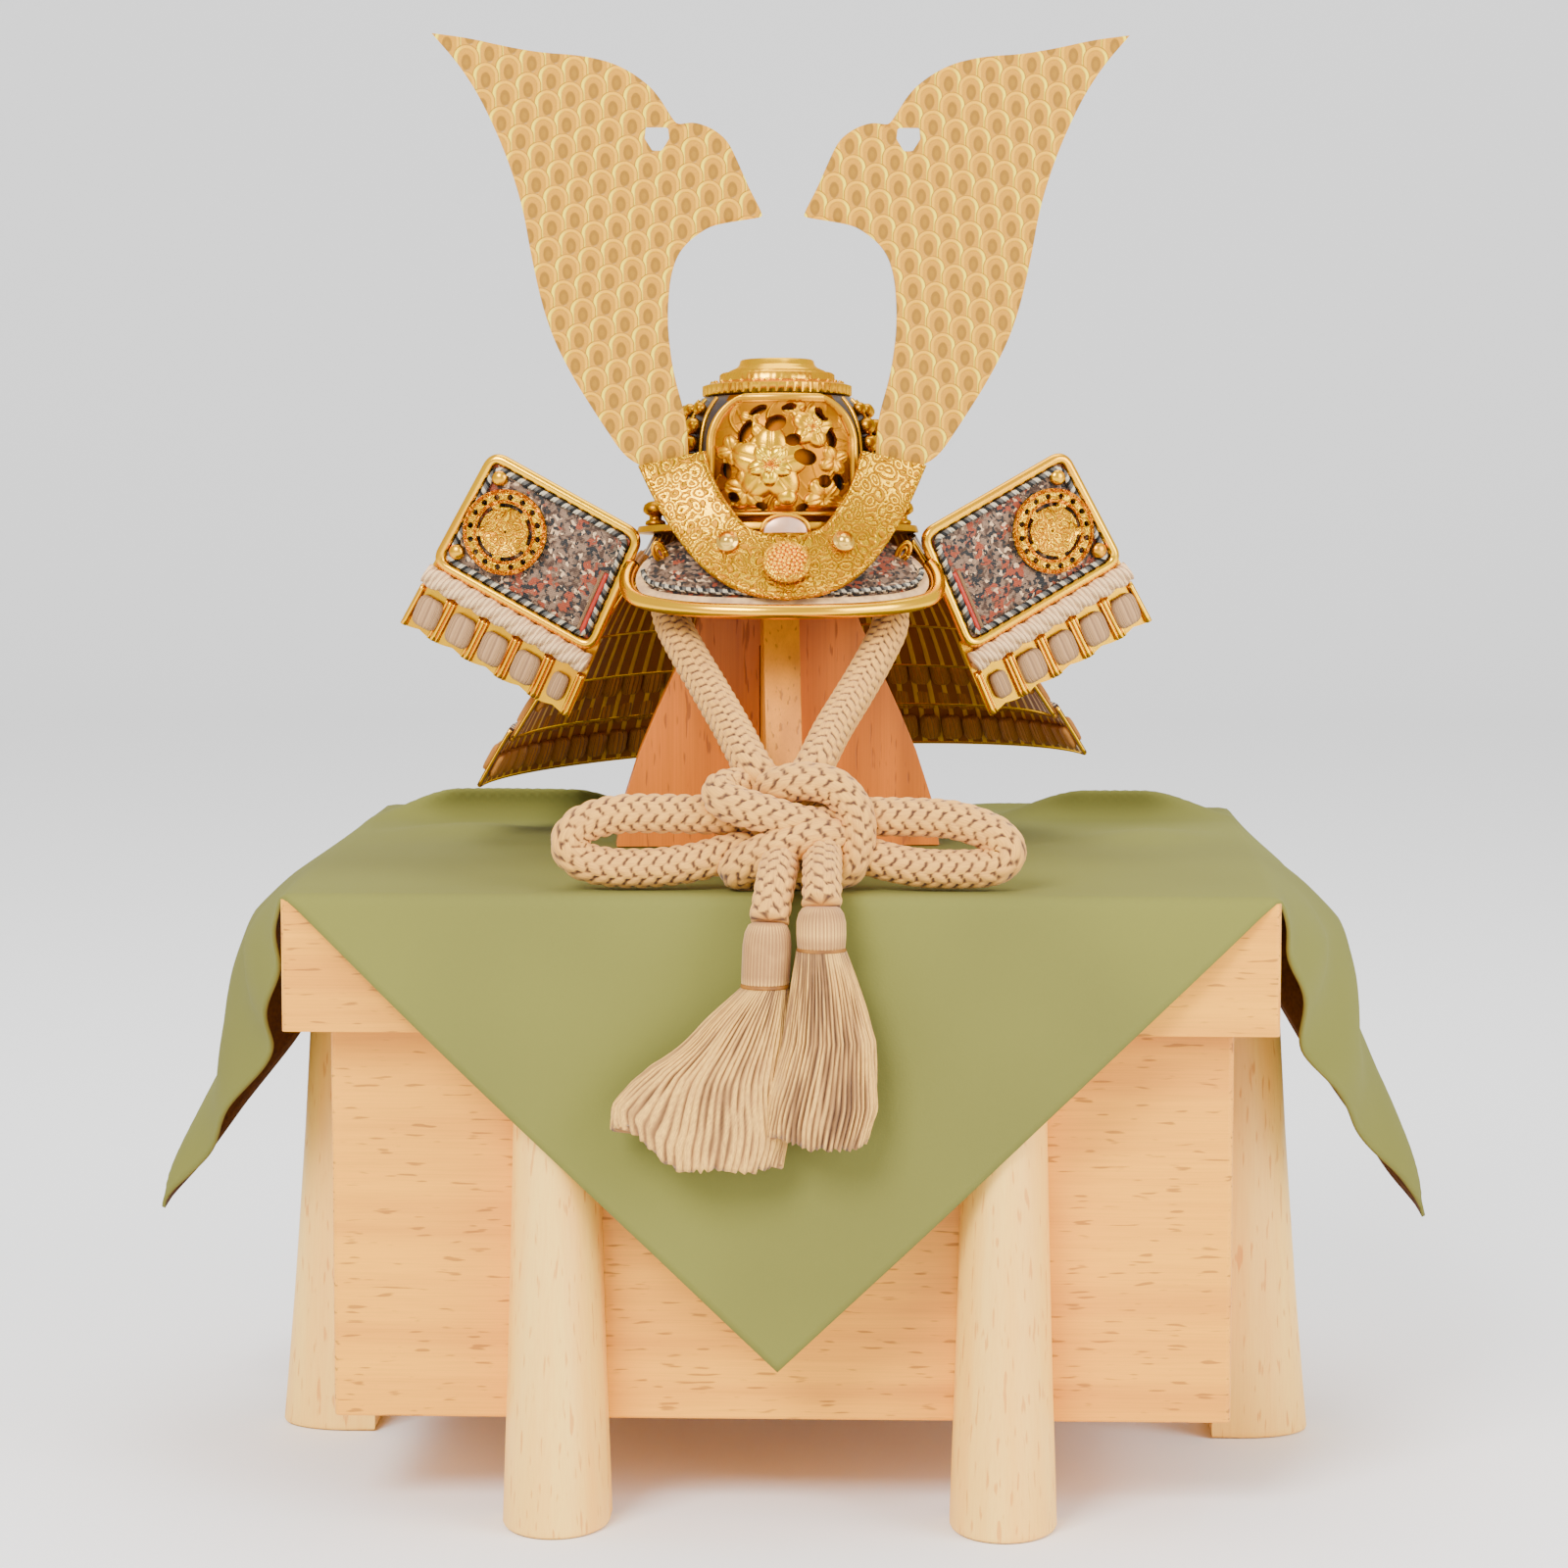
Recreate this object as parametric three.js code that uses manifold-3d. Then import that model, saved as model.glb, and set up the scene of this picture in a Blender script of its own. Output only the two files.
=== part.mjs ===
// A small display helmet with two tall horns on a crossed-board wooden stand,
// over a cloth laid cornerwise on a six-legged storage chest with a lift-off lid.
// Millimetres, +Z up. The front faces -Y. The origin is on the floor under the chest's middle.

import * as THREE from 'three';
import { mergeVertices } from 'three/addons/utils/BufferGeometryUtils.js';
import Module from 'manifold-3d';

const wasm = await Module();
wasm.setup();

// Fits
const GAP = 0.3;

// Storage chest
const LID_SIDE_OVERHANG = 10.5;
const LID_END_OVERHANG = 11.5;
const LID_HEIGHT = 33;
const LID_WALL = 6;
const LID_TOP_WALL = 6.5;
const BODY_WIDTH = 224;
const BODY_DEPTH = 190;
const BODY_WALL = 7;
const BODY_FLOOR = 7;
const BODY_LIFT = 24;

// Legs: a D section that flares towards the foot
const LEG_HEIGHT = 122;
const LEG_TOP_WIDTH = 20;
const LEG_TOP_REACH = 17.4;
const LEG_FOOT_WIDTH = 26.7;
const LEG_FOOT_REACH = 26.3;
const LEG_STRAIGHT_SHARE = 0.3;
const FRONT_LEG_SPACING = 111;
const LEG_ARC_STEPS = 6;
const LEG_SECTIONS = [
  { up: 0, flare: 1 },
  { up: 0.3, flare: 0.62 },
  { up: 0.65, flare: 0.28 },
  { up: 1, flare: 0 },
];

// Cloth: a square laid cornerwise, with a flap hanging on each side
const CLOTH_WALL = 1;
const CLOTH_LEG_CLEARANCE = 1.2;
const CLOTH_LEG_MEETING = 0.62;
const FLAP_POWER = 3;
const FRONT_DROP = 116;
const BACK_DROP = 120;
const SIDE_DROP = 99.5;
const SIDE_REACH = 48.5;
const FLAP_TIP_SHARE = 0.02;
const FLAP_STEPS = 5;
const CLOTH_COLUMNS = 6;
// How far a side flap stands out, on its middle ridge and at its hem, as shares of SIDE_REACH
const SIDE_FLAP = [
  { down: 0, ridge: 0, hem: 0 },
  { down: 0.09, ridge: 0.27, hem: 0.05 },
  { down: 0.18, ridge: 0.44, hem: 0.09 },
  { down: 0.32, ridge: 0.53, hem: 0.14 },
  { down: 0.46, ridge: 0.59, hem: 0.21 },
  { down: 0.6, ridge: 0.68, hem: 0.38 },
  { down: 0.75, ridge: 0.8, hem: 0.61 },
  { down: 0.9, ridge: 0.93, hem: 0.8 },
  { down: 1, ridge: 1, hem: 1 },
];

// Stand: two boards that interlock into a cross
const STAND_X = -4.5;
const STAND_Y = 3;
const STAND_TURN = 5;
const BOARD_THICKNESS = 9.4;
const BOARD_HALF_BASE = 43.2;
const BOARD_HEIGHT = 116.4;
const BOARD_SLOT_SHARE = 0.46;
const BOARD_OUTLINE = [
  { up: 0, half: 1 },
  { up: 0.1, half: 0.958 },
  { up: 0.22, half: 0.853 },
  { up: 0.31, half: 0.752 },
  { up: 0.39, half: 0.653 },
  { up: 0.51, half: 0.508 },
  { up: 0.65, half: 0.375 },
  { up: 0.8, half: 0.28 },
  { up: 0.92, half: 0.215 },
  { up: 0.985, half: 0.15 },
  { up: 1, half: 0.11 },
];

// Helmet bowl, measured up from its lower edge
const BROW_HEIGHT = 85.4;
const BOWL_TILT = 4.5;
const BOWL_TILT_PIVOT = 19;
const BOWL_RADIUS = 26.2;
const BOWL_HEIGHT = 33.6;
const BOWL_WALL = 1.5;
const BOWL_STRETCH = 1.12;
const BOWL_RIB = 0.7;
const BOWL_RIBS = 16;
const BOWL_PROFILE = [
  { up: 0, out: 0.95 },
  { up: 0.28, out: 0.985 },
  { up: 0.56, out: 1 },
  { up: 0.75, out: 0.97 },
  { up: 0.9, out: 0.89 },
  { up: 1, out: 0.76 },
];
const RIVET_RADIUS = 2;
const RIVET_ROWS = [0.3, 0.66];
const FINIAL_RADIUS = 20;
const FINIAL_HEIGHT = 10;
const FINIAL_SIDES = 15;
const FINIAL_PROFILE = [
  { up: 0, out: 0 },
  { up: 0, out: 0.95 },
  { up: 0.08, out: 1 },
  { up: 0.3, out: 1 },
  { up: 0.45, out: 0.8 },
  { up: 0.52, out: 0.76 },
  { up: 0.64, out: 0.75 },
  { up: 0.7, out: 0.63 },
  { up: 0.86, out: 0.5 },
  { up: 1, out: 0.48 },
  { up: 1, out: 0.38 },
  { up: 0.8, out: 0.34 },
  { up: 0.8, out: 0 },
];
const FLANGE_RADIUS = 37.5;
const FLANGE_DEPTH_RADIUS = 33.5;
const FLANGE_WALL = 1.7;
const FLANGE_SIDES = 24;
const FLANGE_RIVET_RADIUS = 3.3;
const FLANGE_RIVET_HEIGHT = 6.4;
const FLANGE_RIVET_OUT = 32.6;
const FLANGE_RIVET_FORWARD = 5;
const FLANGE_RIVET_SIDES = 8;
const FLANGE_RIVET_PROFILE = [
  { up: 0, out: 0 },
  { up: 0, out: 0.8 },
  { up: 0.18, out: 0.8 },
  { up: 0.24, out: 0.5 },
  { up: 0.38, out: 0.5 },
  { up: 0.5, out: 1 },
  { up: 0.8, out: 1 },
  { up: 1, out: 0.6 },
  { up: 1, out: 0 },
];
const DOME_SIDES = 9;
const DOME_PROFILE = [
  { up: 0, out: 0 },
  { up: 0, out: 0.9 },
  { up: 0.3, out: 1 },
  { up: 0.8, out: 0.72 },
  { up: 1, out: 0 },
];

// Openwork panel on the front of the bowl
const PANEL_WALL = 1.3;
const PANEL_STANDOFF = 1.2;
const PANEL_HALF_WIDTH = 19.5;
const PANEL_SHOULDER = 20;
const PANEL_TOP_SHARE = 0.34;
const PANEL_HEIGHT = 33.2;
const PANEL_COLUMNS = 8;
const PANEL_ROWS = [0.036, 0.28, 0.56, 0.75, 0.9, 0.98];
const PANEL_GAP_RADIUS = 1.9;
const PANEL_GAP_SIDES = 5;
const PANEL_GAP_TAPER = 0.8;
const PANEL_DRILL = 12;
const PANEL_RINGS = [
  { reach: 0.8, gaps: 9, start: -22, turn: 28 },
  { reach: 0.55, gaps: 7, start: 13, turn: 51.4 },
];
const PEONY_PETALS = 6;
const PEONY_RING = 3.5;
const PEONY_PETAL_RADIUS = 2.35;
const PEONY_HEART_RADIUS = 2.5;

// Visor
const VISOR_WALL = 1.4;
const VISOR_INNER = 29.5;
const VISOR_INNER_DEPTH = 32;
const VISOR_REACH = 44;
const VISOR_DEPTH = 50;
const VISOR_FALL = 18.5;
const VISOR_END_FALL = 13;
const VISOR_ANGLE = 66;
const VISOR_SPREAD = 1.06;
const VISOR_END_WIDENING = 0.04;
const VISOR_END_PULL = 0.1;
const VISOR_FRONT_POWER = 0.72;
const VISOR_ROUND_FROM = 0.7;
const VISOR_ROUND_KEEP = 0.3;
const VISOR_ROUND_POWER = 2.4;
const VISOR_BULGE = 0.5;
const VISOR_COLUMNS = 16;
const VISOR_ROWS = 3;
const VISOR_RIM_RADIUS = 1.9;
const VISOR_RIM_END = 0.95;
const VISOR_RIM_CENTRE = 0.7;
const VISOR_RIM_STEPS = 16;
const VISOR_RIM_SIDES = 6;

// Horn plate: a crescent that stands on the visor
const PLATE_WALL = 1.5;
const PLATE_HALF_WIDTH = 37.6;
const PLATE_LOW = -16;
const PLATE_HEIGHT = 36.7;
const PLATE_TOP_DEPTH = 34.5;
const PLATE_FOOT_DEPTH = 18;
const PLATE_CURVE_POWER = 1.8;
const PLATE_BEND = 170;
const PLATE_OUTER = [
  { across: 0, up: 0 },
  { across: 0.21, up: 0.02 },
  { across: 0.36, up: 0.07 },
  { across: 0.505, up: 0.149 },
  { across: 0.65, up: 0.279 },
  { across: 0.793, up: 0.474 },
  { across: 0.894, up: 0.656 },
  { across: 1, up: 0.89 },
];
const PLATE_INNER = [
  { across: 0, up: 0.453 },
  { across: 0.13, up: 0.43 },
  { across: 0.25, up: 0.461 },
  { across: 0.33, up: 0.552 },
  { across: 0.42, up: 0.68 },
  { across: 0.48, up: 0.8 },
  { across: 0.52, up: 0.9 },
  { across: 0.545, up: 1 },
];
const PLATE_RIVET_ACROSS = 15;
const PLATE_RIVET_UP = -2.8;
const PLATE_RIVET_RADIUS = 3;
const PLATE_RIVET_HEIGHT = 2.4;
const PLATE_SEAT = 0.45;
const PLATE_BOSS_UP = -8;
const PLATE_BOSS_RADIUS = 6.3;
const PLATE_BOSS_HEIGHT = 2.8;

// Horns
const HORN_WALL = 0.9;
const HORN_REACH = 90;
const HORN_RISE = 112;
const HORN_FOOT = 16;
const HORN_SWEEP = 6;
const HORN_LEAN = 3;
const HORN_PIVOT = 32;
const HORN_SETBACK = 2.3;
const HORN_HOLE = 3.1;
const HORN_HOLE_PLACE = { across: 0.356, up: 0.759 };
const HORN_HOLE_OUTLINE = [
  { across: 0, up: -1 },
  { across: 0.85, up: -0.1 },
  { across: 1, up: 0.75 },
  { across: 0, up: 0.95 },
  { across: -1, up: 0.75 },
  { across: -0.85, up: -0.1 },
];
const HORN_CROWN = [
  { across: 1, up: 1 },
  { across: 0.896, up: 0.989 },
  { across: 0.793, up: 0.97 },
  { across: 0.689, up: 0.955 },
  { across: 0.576, up: 0.949 },
  { across: 0.486, up: 0.933 },
  { across: 0.416, up: 0.904 },
  { across: 0.359, up: 0.866 },
  { across: 0.311, up: 0.803 },
];
const HORN_LOBE = [
  { across: 0.25, up: 0.797 },
  { across: 0.197, up: 0.782 },
  { across: 0.153, up: 0.754 },
  { across: 0.122, up: 0.701 },
  { across: 0.093, up: 0.646 },
  { across: 0.056, up: 0.59 },
  { across: 0.056, up: 0.577 },
];
const HORN_INNER = [
  { across: 0.132, up: 0.574 },
  { across: 0.202, up: 0.56 },
  { across: 0.263, up: 0.528 },
  { across: 0.3, up: 0.492 },
  { across: 0.32, up: 0.442 },
  { across: 0.328, up: 0.377 },
  { across: 0.328, up: 0.311 },
  { across: 0.313, up: 0.218 },
  { across: 0.277, up: 0.114 },
  { across: 0.27, up: 0.03 },
  { across: 0.275, up: -0.06 },
];
const HORN_OUTER = [
  { across: 0.37, up: -0.06 },
  { across: 0.395, up: 0 },
  { across: 0.456, up: 0.027 },
  { across: 0.514, up: 0.096 },
  { across: 0.592, up: 0.194 },
  { across: 0.654, up: 0.289 },
  { across: 0.691, up: 0.377 },
  { across: 0.722, up: 0.496 },
  { across: 0.741, up: 0.59 },
  { across: 0.769, up: 0.673 },
  { across: 0.809, up: 0.761 },
  { across: 0.866, up: 0.858 },
  { across: 0.924, up: 0.93 },
];

// Turned-back wings, each a slanted panel in a rim with stepped lames under it
const WING_SWEEP = 15;
const WING_FRONT = -20.6;
const WING_INNER = 35.8;
const WING_TOP = -1.3;
const WING_LENGTH = 46.5;
const WING_HEIGHT = 34.6;
const WING_RISE_ANGLE = 28;
const WING_LEAN_ANGLE = 24;
const WING_OUTER_SPREAD = 3.4;
const WING_WALL = 1.6;
const WING_CORNER = 3.8;
const WING_RIM = 2.2;
const WING_RIM_DEPTH = 3.4;
const CREST_RADIUS = 11.3;
const CREST_WALL = 1.6;
const CREST_HOLES = 10;
const CREST_HOLE_RADIUS = 1.25;
const CREST_RING = 8.9;
const CREST_SIDES = 24;
const CREST_SCALLOP = 0.965;
const CREST_STANDOFF = 2.3;
const CREST_HEART_RADIUS = 2.2;
const CREST_PETALS = 6;
const CREST_PETAL_RADIUS = 1.9;
const CREST_PETAL_RING = 4;
const CREST_ALONG = 0.71;
const CREST_DOWN = 0.5;
const STUD_RADIUS = 2.2;
const STUD_HEIGHT = 1.8;
const STUD_PLACES = [
  { name: 'upper', along: 0.88, down: 0.16 },
  { name: 'lower', along: 0.9, down: 0.82 },
];
const BAND_WIDTH = 5.6;
const BAND_DEPTH = 3.6;
const BAND_TWISTS = 9;
const BAND_PINCH = 0.12;
const BAND_STEPS = 10;
const BAND_SIDES = 6;
const BAND_END = 0.01;
const WING_LAME_WALL = 1.2;
const WING_LAME_HEIGHT = 18.6;
const WING_LAME_RIBS = 5;
const WING_LAME_OVERLAP = 3;
const WING_LAME_SCALLOP = 0.8;
const WING_LAME_SETBACK = 1;
const WING_RIB_WIDTH = 1;
const WING_RIB_DEPTH = 1.6;
const WING_RIB_IN = 0.9;
const TUFT_COUNT = 5;
const TUFT_RADIUS = 3.7;
const TUFT_FLATNESS = 0.5;
const TUFT_SQUEEZE = 0.92;
const TUFT_DOWN = 0.63;
const TUFT_START = 0.62;
const TUFT_SPACES = 5.1;
const LACING_WIDTH = 2.4;
const LACING_WALL = 0.8;

// Neck guard: overlapping lames that flare out round the back and sides
const GUARD_LAMES = 5;
const GUARD_TOP_RADIUS = 34;
const GUARD_SPREAD = 42;
const GUARD_TOP = -5;
const GUARD_FALL = 65.5;
const GUARD_DEPTH_SHARE = 0.95;
const LAME_WALL = 1.2;
const LAME_OVERLAP = 0.03;
const LAME_COLUMNS = 12;
const GUARD_SHIFT = 2;
const GUARD_TOP_ANGLE = 109;
const GUARD_HEM_ANGLE = 83;
const GUARD_SAG = 3.7;

// Cord and tassels
const CORD_DIAMETER = 9.5;
const CORD_SIDES = 8;
const KNOT_STEPS = 2;
const STRAP_STEPS = 20;
const LOOP_STEPS = 12;
const TAIL_STEPS = 5;
const TASSEL_HEAD_RADIUS = 6.1;
const TASSEL_HEAD_FLATNESS = 0.92;
const TASSEL_HEAD_PROFILE = [
  { down: 0, share: 0.78 },
  { down: 0.3, share: 1 },
  { down: 0.75, share: 1 },
];
const TASSEL_LOCKS = 9;
const TASSEL_LOCK_DEPTH = 0.1;
const TASSEL_POINTS = 27;

// Sizes and heights that follow
const lidWidth = BODY_WIDTH + 2 * LID_SIDE_OVERHANG;
const lidDepth = BODY_DEPTH + 2 * LID_END_OVERHANG;
const lidBottom = LEG_HEIGHT + 1;
const lidTop = lidBottom + LID_HEIGHT;
const bodyTop = lidTop - LID_TOP_WALL - GAP;
const clothUnder = lidTop + GAP;
const clothTop = clothUnder + CLOTH_WALL;
const standFoot = clothTop + GAP;
const browUp = standFoot + BROW_HEIGHT;
const lameStep = LAME_WALL + 2 * GAP;

// The cord's route as chosen points: x and y from the middle of the chest, z above the cloth
const STRAP_ROUTE = [
  [-5.6, -87, 27.6],
  [-13.2, -69, 37.8],
  [-20.4, -50, 47],
  [-26.6, -35, 55],
  [-31.6, -19, 62.4],
  [-32.9, -6, 69.4],
  [-31.2, 4, 74],
  [-28, 14.5, 75.2],
  [-20, 25.5, 75.2],
  [-7, 30.4, 75.2],
  [6, 28.6, 75.2],
  [16, 20.4, 75.2],
  [21, 9, 75.2],
  [22.4, -1, 74],
  [24.6, -9.5, 69.4],
  [26, -21, 61.6],
  [22.6, -35, 54],
  [17.6, -50, 45.8],
  [12, -69, 37.4],
  [7.2, -87, 28.8],
];
const LEFT_LOOP_ROUTE = [
  [-10, -91, 17.8],
  [-18, -92.5, 18],
  [-30, -93, 18.6],
  [-41, -94, 18.6],
  [-49.3, -95.5, 15.6],
  [-52.2, -97, 10.6],
  [-48.4, -98, 6.8],
  [-38, -98.4, 5.1],
  [-24, -98.2, 6.2],
  [-12, -97, 9.4],
];
const RIGHT_LOOP_ROUTE = [
  [16, -91, 17.2],
  [24, -92.5, 17.6],
  [34, -93, 18],
  [43, -94, 17.4],
  [52.4, -95.5, 13.8],
  [55.8, -97, 9.4],
  [52.6, -98, 5.9],
  [44, -98.4, 5.1],
  [33, -98.2, 5.7],
  [20, -97, 8],
];
const LEFT_TAIL_ROUTE = [
  [0, -99.5, 8.8],
  [-0.2, -107, 6.4],
  [-0.9, -113.6, 2.8],
  [-1.6, -118.2, -3.6],
  [-2, -119.2, -9],
];
const RIGHT_TAIL_ROUTE = [
  [10.4, -100, 9.8],
  [10.6, -108, 7.6],
  [10.7, -114.6, 4.6],
  [10.8, -119, -0.6],
  [10.8, -120, -5],
];
const KNOT_ROUTES = [
  [[-12.4, -97, 21.6], [-3.6, -98.6, 19.4], [6.4, -98.4, 16.2]],
  [
    [-2.4, -92.6, 24], [6, -92.6, 26.8], [14.2, -93, 24.8],
    [18.4, -93.6, 17.6], [18.2, -95, 9.8], [15.4, -96, 6.6],
  ],
  [[-9.6, -98.8, 6.4], [-1.2, -100.4, 11], [9.6, -99.4, 14.2]],
  [[-6, -91.4, 13], [4, -91, 13.6], [13, -91.6, 13.6]],
];
const TASSELS = [
  {
    name: 'left', top: [-2.2, -119.6, -4.8],
    skirt: [
      { down: 15.6, x: -2.6, half: 5.9, deep: 5.6, y: -120.6 },
      { down: 24, x: -7.9, half: 10.2, deep: 6.6, y: -122 },
      { down: 38, x: -14.9, half: 15.9, deep: 7.2, y: -123.8 },
      { down: 53, x: -19.8, half: 20.2, deep: 7.2, y: -125 },
      { down: 59, x: -20.4, half: 20, deep: 6.4, y: -125.2 },
    ],
  },
  {
    name: 'right', top: [10.7, -120.2, -0.8],
    skirt: [
      { down: 10.6, x: 10.8, half: 6.4, deep: 5.8, y: -121 },
      { down: 18, x: 12, half: 7.8, deep: 6.4, y: -122 },
      { down: 32, x: 13.9, half: 10.3, deep: 6.8, y: -123.8 },
      { down: 48, x: 13.8, half: 10.9, deep: 6.6, y: -124.8 },
      { down: 57.4, x: 12.4, half: 9.8, deep: 6, y: -125 },
    ],
  },
];

// Finishes
const finish = (color, roughness, metalness = 0) =>
  new THREE.MeshStandardMaterial({ color, roughness, metalness });
const beech = finish(0xeccda4, 0.6);
const standWood = finish(0xdb9a62, 0.6);
const clothGreen = finish(0xa6a86a, 0.75);
const gold = finish(0xe8b63c, 0.3, 1);
const goldDeep = finish(0xd08a1c, 0.35, 1);
const paleGold = finish(0xe2c184, 0.4, 1);
const brocade = finish(0xa08f84, 0.7);
const whiteCord = finish(0xe9e2d8, 0.8);
const beigeCord = finish(0xdcbfa0, 0.8);
const tuftBeige = finish(0xbfa28a, 0.85);

const radians = THREE.MathUtils.degToRad;

// Makes a closed solid from points and triangles, turned so that its faces point out
function solidMesh(points, faces) {
  let volume = 0;
  for (const [a, b, c] of faces) {
    volume += points[a].dot(points[b].clone().cross(points[c]));
  }
  const index = faces.flatMap(([a, b, c]) => (volume < 0 ? [a, c, b] : [a, b, c]));
  const geometry = new THREE.BufferGeometry();
  const places = points.flatMap((p) => [p.x, p.y, p.z]);
  geometry.setAttribute('position', new THREE.Float32BufferAttribute(places, 3));
  geometry.setIndex(index);
  return geometry;
}

// Removes all but the positions and merges the corners that meet
function welded(geometry, near = 1e-4) {
  const bare = new THREE.BufferGeometry();
  bare.setAttribute('position', geometry.getAttribute('position'));
  if (geometry.index) bare.setIndex(geometry.index);
  return mergeVertices(bare, near);
}

function toManifold(geometry) {
  const bare = welded(geometry);
  return new wasm.Manifold(new wasm.Mesh({
    numProp: 3,
    vertProperties: new Float32Array(bare.attributes.position.array),
    triVerts: new Uint32Array(bare.index.array),
  }));
}

function fromManifold(solid) {
  const mesh = solid.getMesh();
  const geometry = new THREE.BufferGeometry();
  geometry.setAttribute('position', new THREE.BufferAttribute(mesh.vertProperties, 3));
  geometry.setIndex(new THREE.BufferAttribute(mesh.triVerts, 1));
  return geometry;
}

function joined(first, ...others) {
  let solid = toManifold(first);
  for (const other of others) solid = solid.add(toManifold(other));
  return fromManifold(solid);
}

function cut(first, ...others) {
  let solid = toManifold(first);
  for (const other of others) solid = solid.subtract(toManifold(other));
  return fromManifold(solid);
}

function block(width, depth, height, x, y, z) {
  return new THREE.BoxGeometry(width, depth, height).translate(x, y, z + height / 2);
}

// An open grid of points, place(across, along) for both from 0 to 1
function patch(place, columns, rows) {
  const points = [];
  const faces = [];
  for (let j = 0; j <= rows; j++) {
    for (let i = 0; i <= columns; i++) points.push(place(i / columns, j / rows));
  }
  for (let j = 0; j < rows; j++) {
    for (let i = 0; i < columns; i++) {
      const a = j * (columns + 1) + i;
      faces.push([a, a + 1, a + columns + 2], [a, a + columns + 2, a + columns + 1]);
    }
  }
  return { points, faces };
}

// Gives an open surface a wall on the side that its normals point to, or the other side if negative
function thickened(patches, wall) {
  const points = [];
  const faces = [];
  const known = new Map();
  for (const surface of patches) {
    const place = surface.points.map((p) => {
      const key = `${p.x.toFixed(3)},${p.y.toFixed(3)},${p.z.toFixed(3)}`;
      if (!known.has(key)) {
        known.set(key, points.length);
        points.push(p);
      }
      return known.get(key);
    });
    for (const face of surface.faces) {
      const [a, b, c] = face.map((k) => place[k]);
      if (a !== b && b !== c && a !== c) faces.push([a, b, c]);
    }
  }
  const normals = points.map(() => new THREE.Vector3());
  const edges = new Map();
  for (const [a, b, c] of faces) {
    const n = points[b].clone().sub(points[a]).cross(points[c].clone().sub(points[a]));
    for (const k of [a, b, c]) normals[k].add(n);
    for (const [p, q] of [[a, b], [b, c], [c, a]]) edges.set(`${p},${q}`, [p, q]);
  }
  const count = points.length;
  const outer = points.map((p, k) => p.clone().addScaledVector(normals[k].normalize(), wall));
  const all = [...faces.map(([a, b, c]) => [a, c, b])];
  for (const [a, b, c] of faces) all.push([a + count, b + count, c + count]);
  for (const [p, q] of edges.values()) {
    if (!edges.has(`${q},${p}`)) all.push([p, q, q + count], [p, q + count, p + count]);
  }
  return solidMesh([...points, ...outer], all);
}

// Joins a row of rings of equally many points into a closed solid
function lofted(rings) {
  const size = rings[0].length;
  const points = rings.flat();
  const faces = [];
  for (let j = 0; j < rings.length - 1; j++) {
    for (let i = 0; i < size; i++) {
      const a = j * size + i;
      const b = j * size + ((i + 1) % size);
      faces.push([a, b, b + size], [a, b + size, a + size]);
    }
  }
  const last = (rings.length - 1) * size;
  for (let i = 1; i < size - 1; i++) {
    faces.push([0, i + 1, i], [last, last + i, last + i + 1]);
  }
  return solidMesh(points, faces);
}

// Turns a profile of height and radius round the upright axis
function turned(profile, sides, stretch = 1) {
  const points = profile.map(({ out, up }) => new THREE.Vector2(out, up));
  const geometry = new THREE.LatheGeometry(points, sides);
  geometry.rotateX(Math.PI / 2);
  geometry.scale(1, stretch, 1);
  return welded(geometry);
}

function stud(radius, x, y, z) {
  return new THREE.OctahedronGeometry(radius, 0).translate(x, y, z);
}

function tube(route, diameter, sides, steps) {
  const section = new THREE.Shape();
  for (let k = 0; k < sides; k++) {
    const turn = (2 * Math.PI * k) / sides;
    const point = [(diameter / 2) * Math.cos(turn), (diameter / 2) * Math.sin(turn)];
    if (k === 0) section.moveTo(...point);
    else section.lineTo(...point);
  }
  const curve = new THREE.CatmullRomCurve3(route, false, 'centripetal');
  return new THREE.ExtrudeGeometry(section, { steps, extrudePath: curve, bevelEnabled: false });
}

// Extrudes an outline drawn in x and z, with its front at y 0 and its wall behind
function upright(shape, wall, curveSegments = 3) {
  const geometry = new THREE.ExtrudeGeometry(shape, { depth: wall, bevelEnabled: false, curveSegments });
  return geometry.rotateX(Math.PI / 2).translate(0, wall, 0);
}

// Reads a table of one growing column and gives another column at any place in it
function between(rows, key, value, at) {
  const last = rows.length - 1;
  for (let k = 0; k < last; k++) {
    const from = rows[k];
    const to = rows[k + 1];
    if (at <= to[key] || k === last - 1) {
      const share = THREE.MathUtils.clamp((at - from[key]) / (to[key] - from[key]), 0, 1);
      return from[value] + (to[value] - from[value]) * share;
    }
  }
  return rows[last][value];
}

const root = new THREE.Group();
const stand = new THREE.Group();
stand.position.set(STAND_X, STAND_Y, standFoot);
stand.rotation.z = radians(STAND_TURN);
const helmet = new THREE.Group();
helmet.position.z = BROW_HEIGHT;
const bowlGroup = new THREE.Group();
bowlGroup.rotation.x = -radians(BOWL_TILT);
bowlGroup.position.set(
  0,
  -BOWL_TILT_PIVOT * Math.sin(radians(BOWL_TILT)),
  BOWL_TILT_PIVOT * (1 - Math.cos(radians(BOWL_TILT))),
);
root.add(stand);
stand.add(helmet);
helmet.add(bowlGroup);

function put(group, name, geometry, material) {
  const mesh = new THREE.Mesh(geometry, material);
  mesh.name = name;
  group.add(mesh);
  return mesh;
}

// Chest
function chestBody() {
  const outer = block(BODY_WIDTH, BODY_DEPTH, bodyTop - BODY_LIFT, 0, 0, BODY_LIFT);
  const inside = block(
    BODY_WIDTH - 2 * BODY_WALL, BODY_DEPTH - 2 * BODY_WALL, bodyTop, 0, 0, BODY_LIFT + BODY_FLOOR,
  );
  return cut(outer, inside);
}

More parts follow.
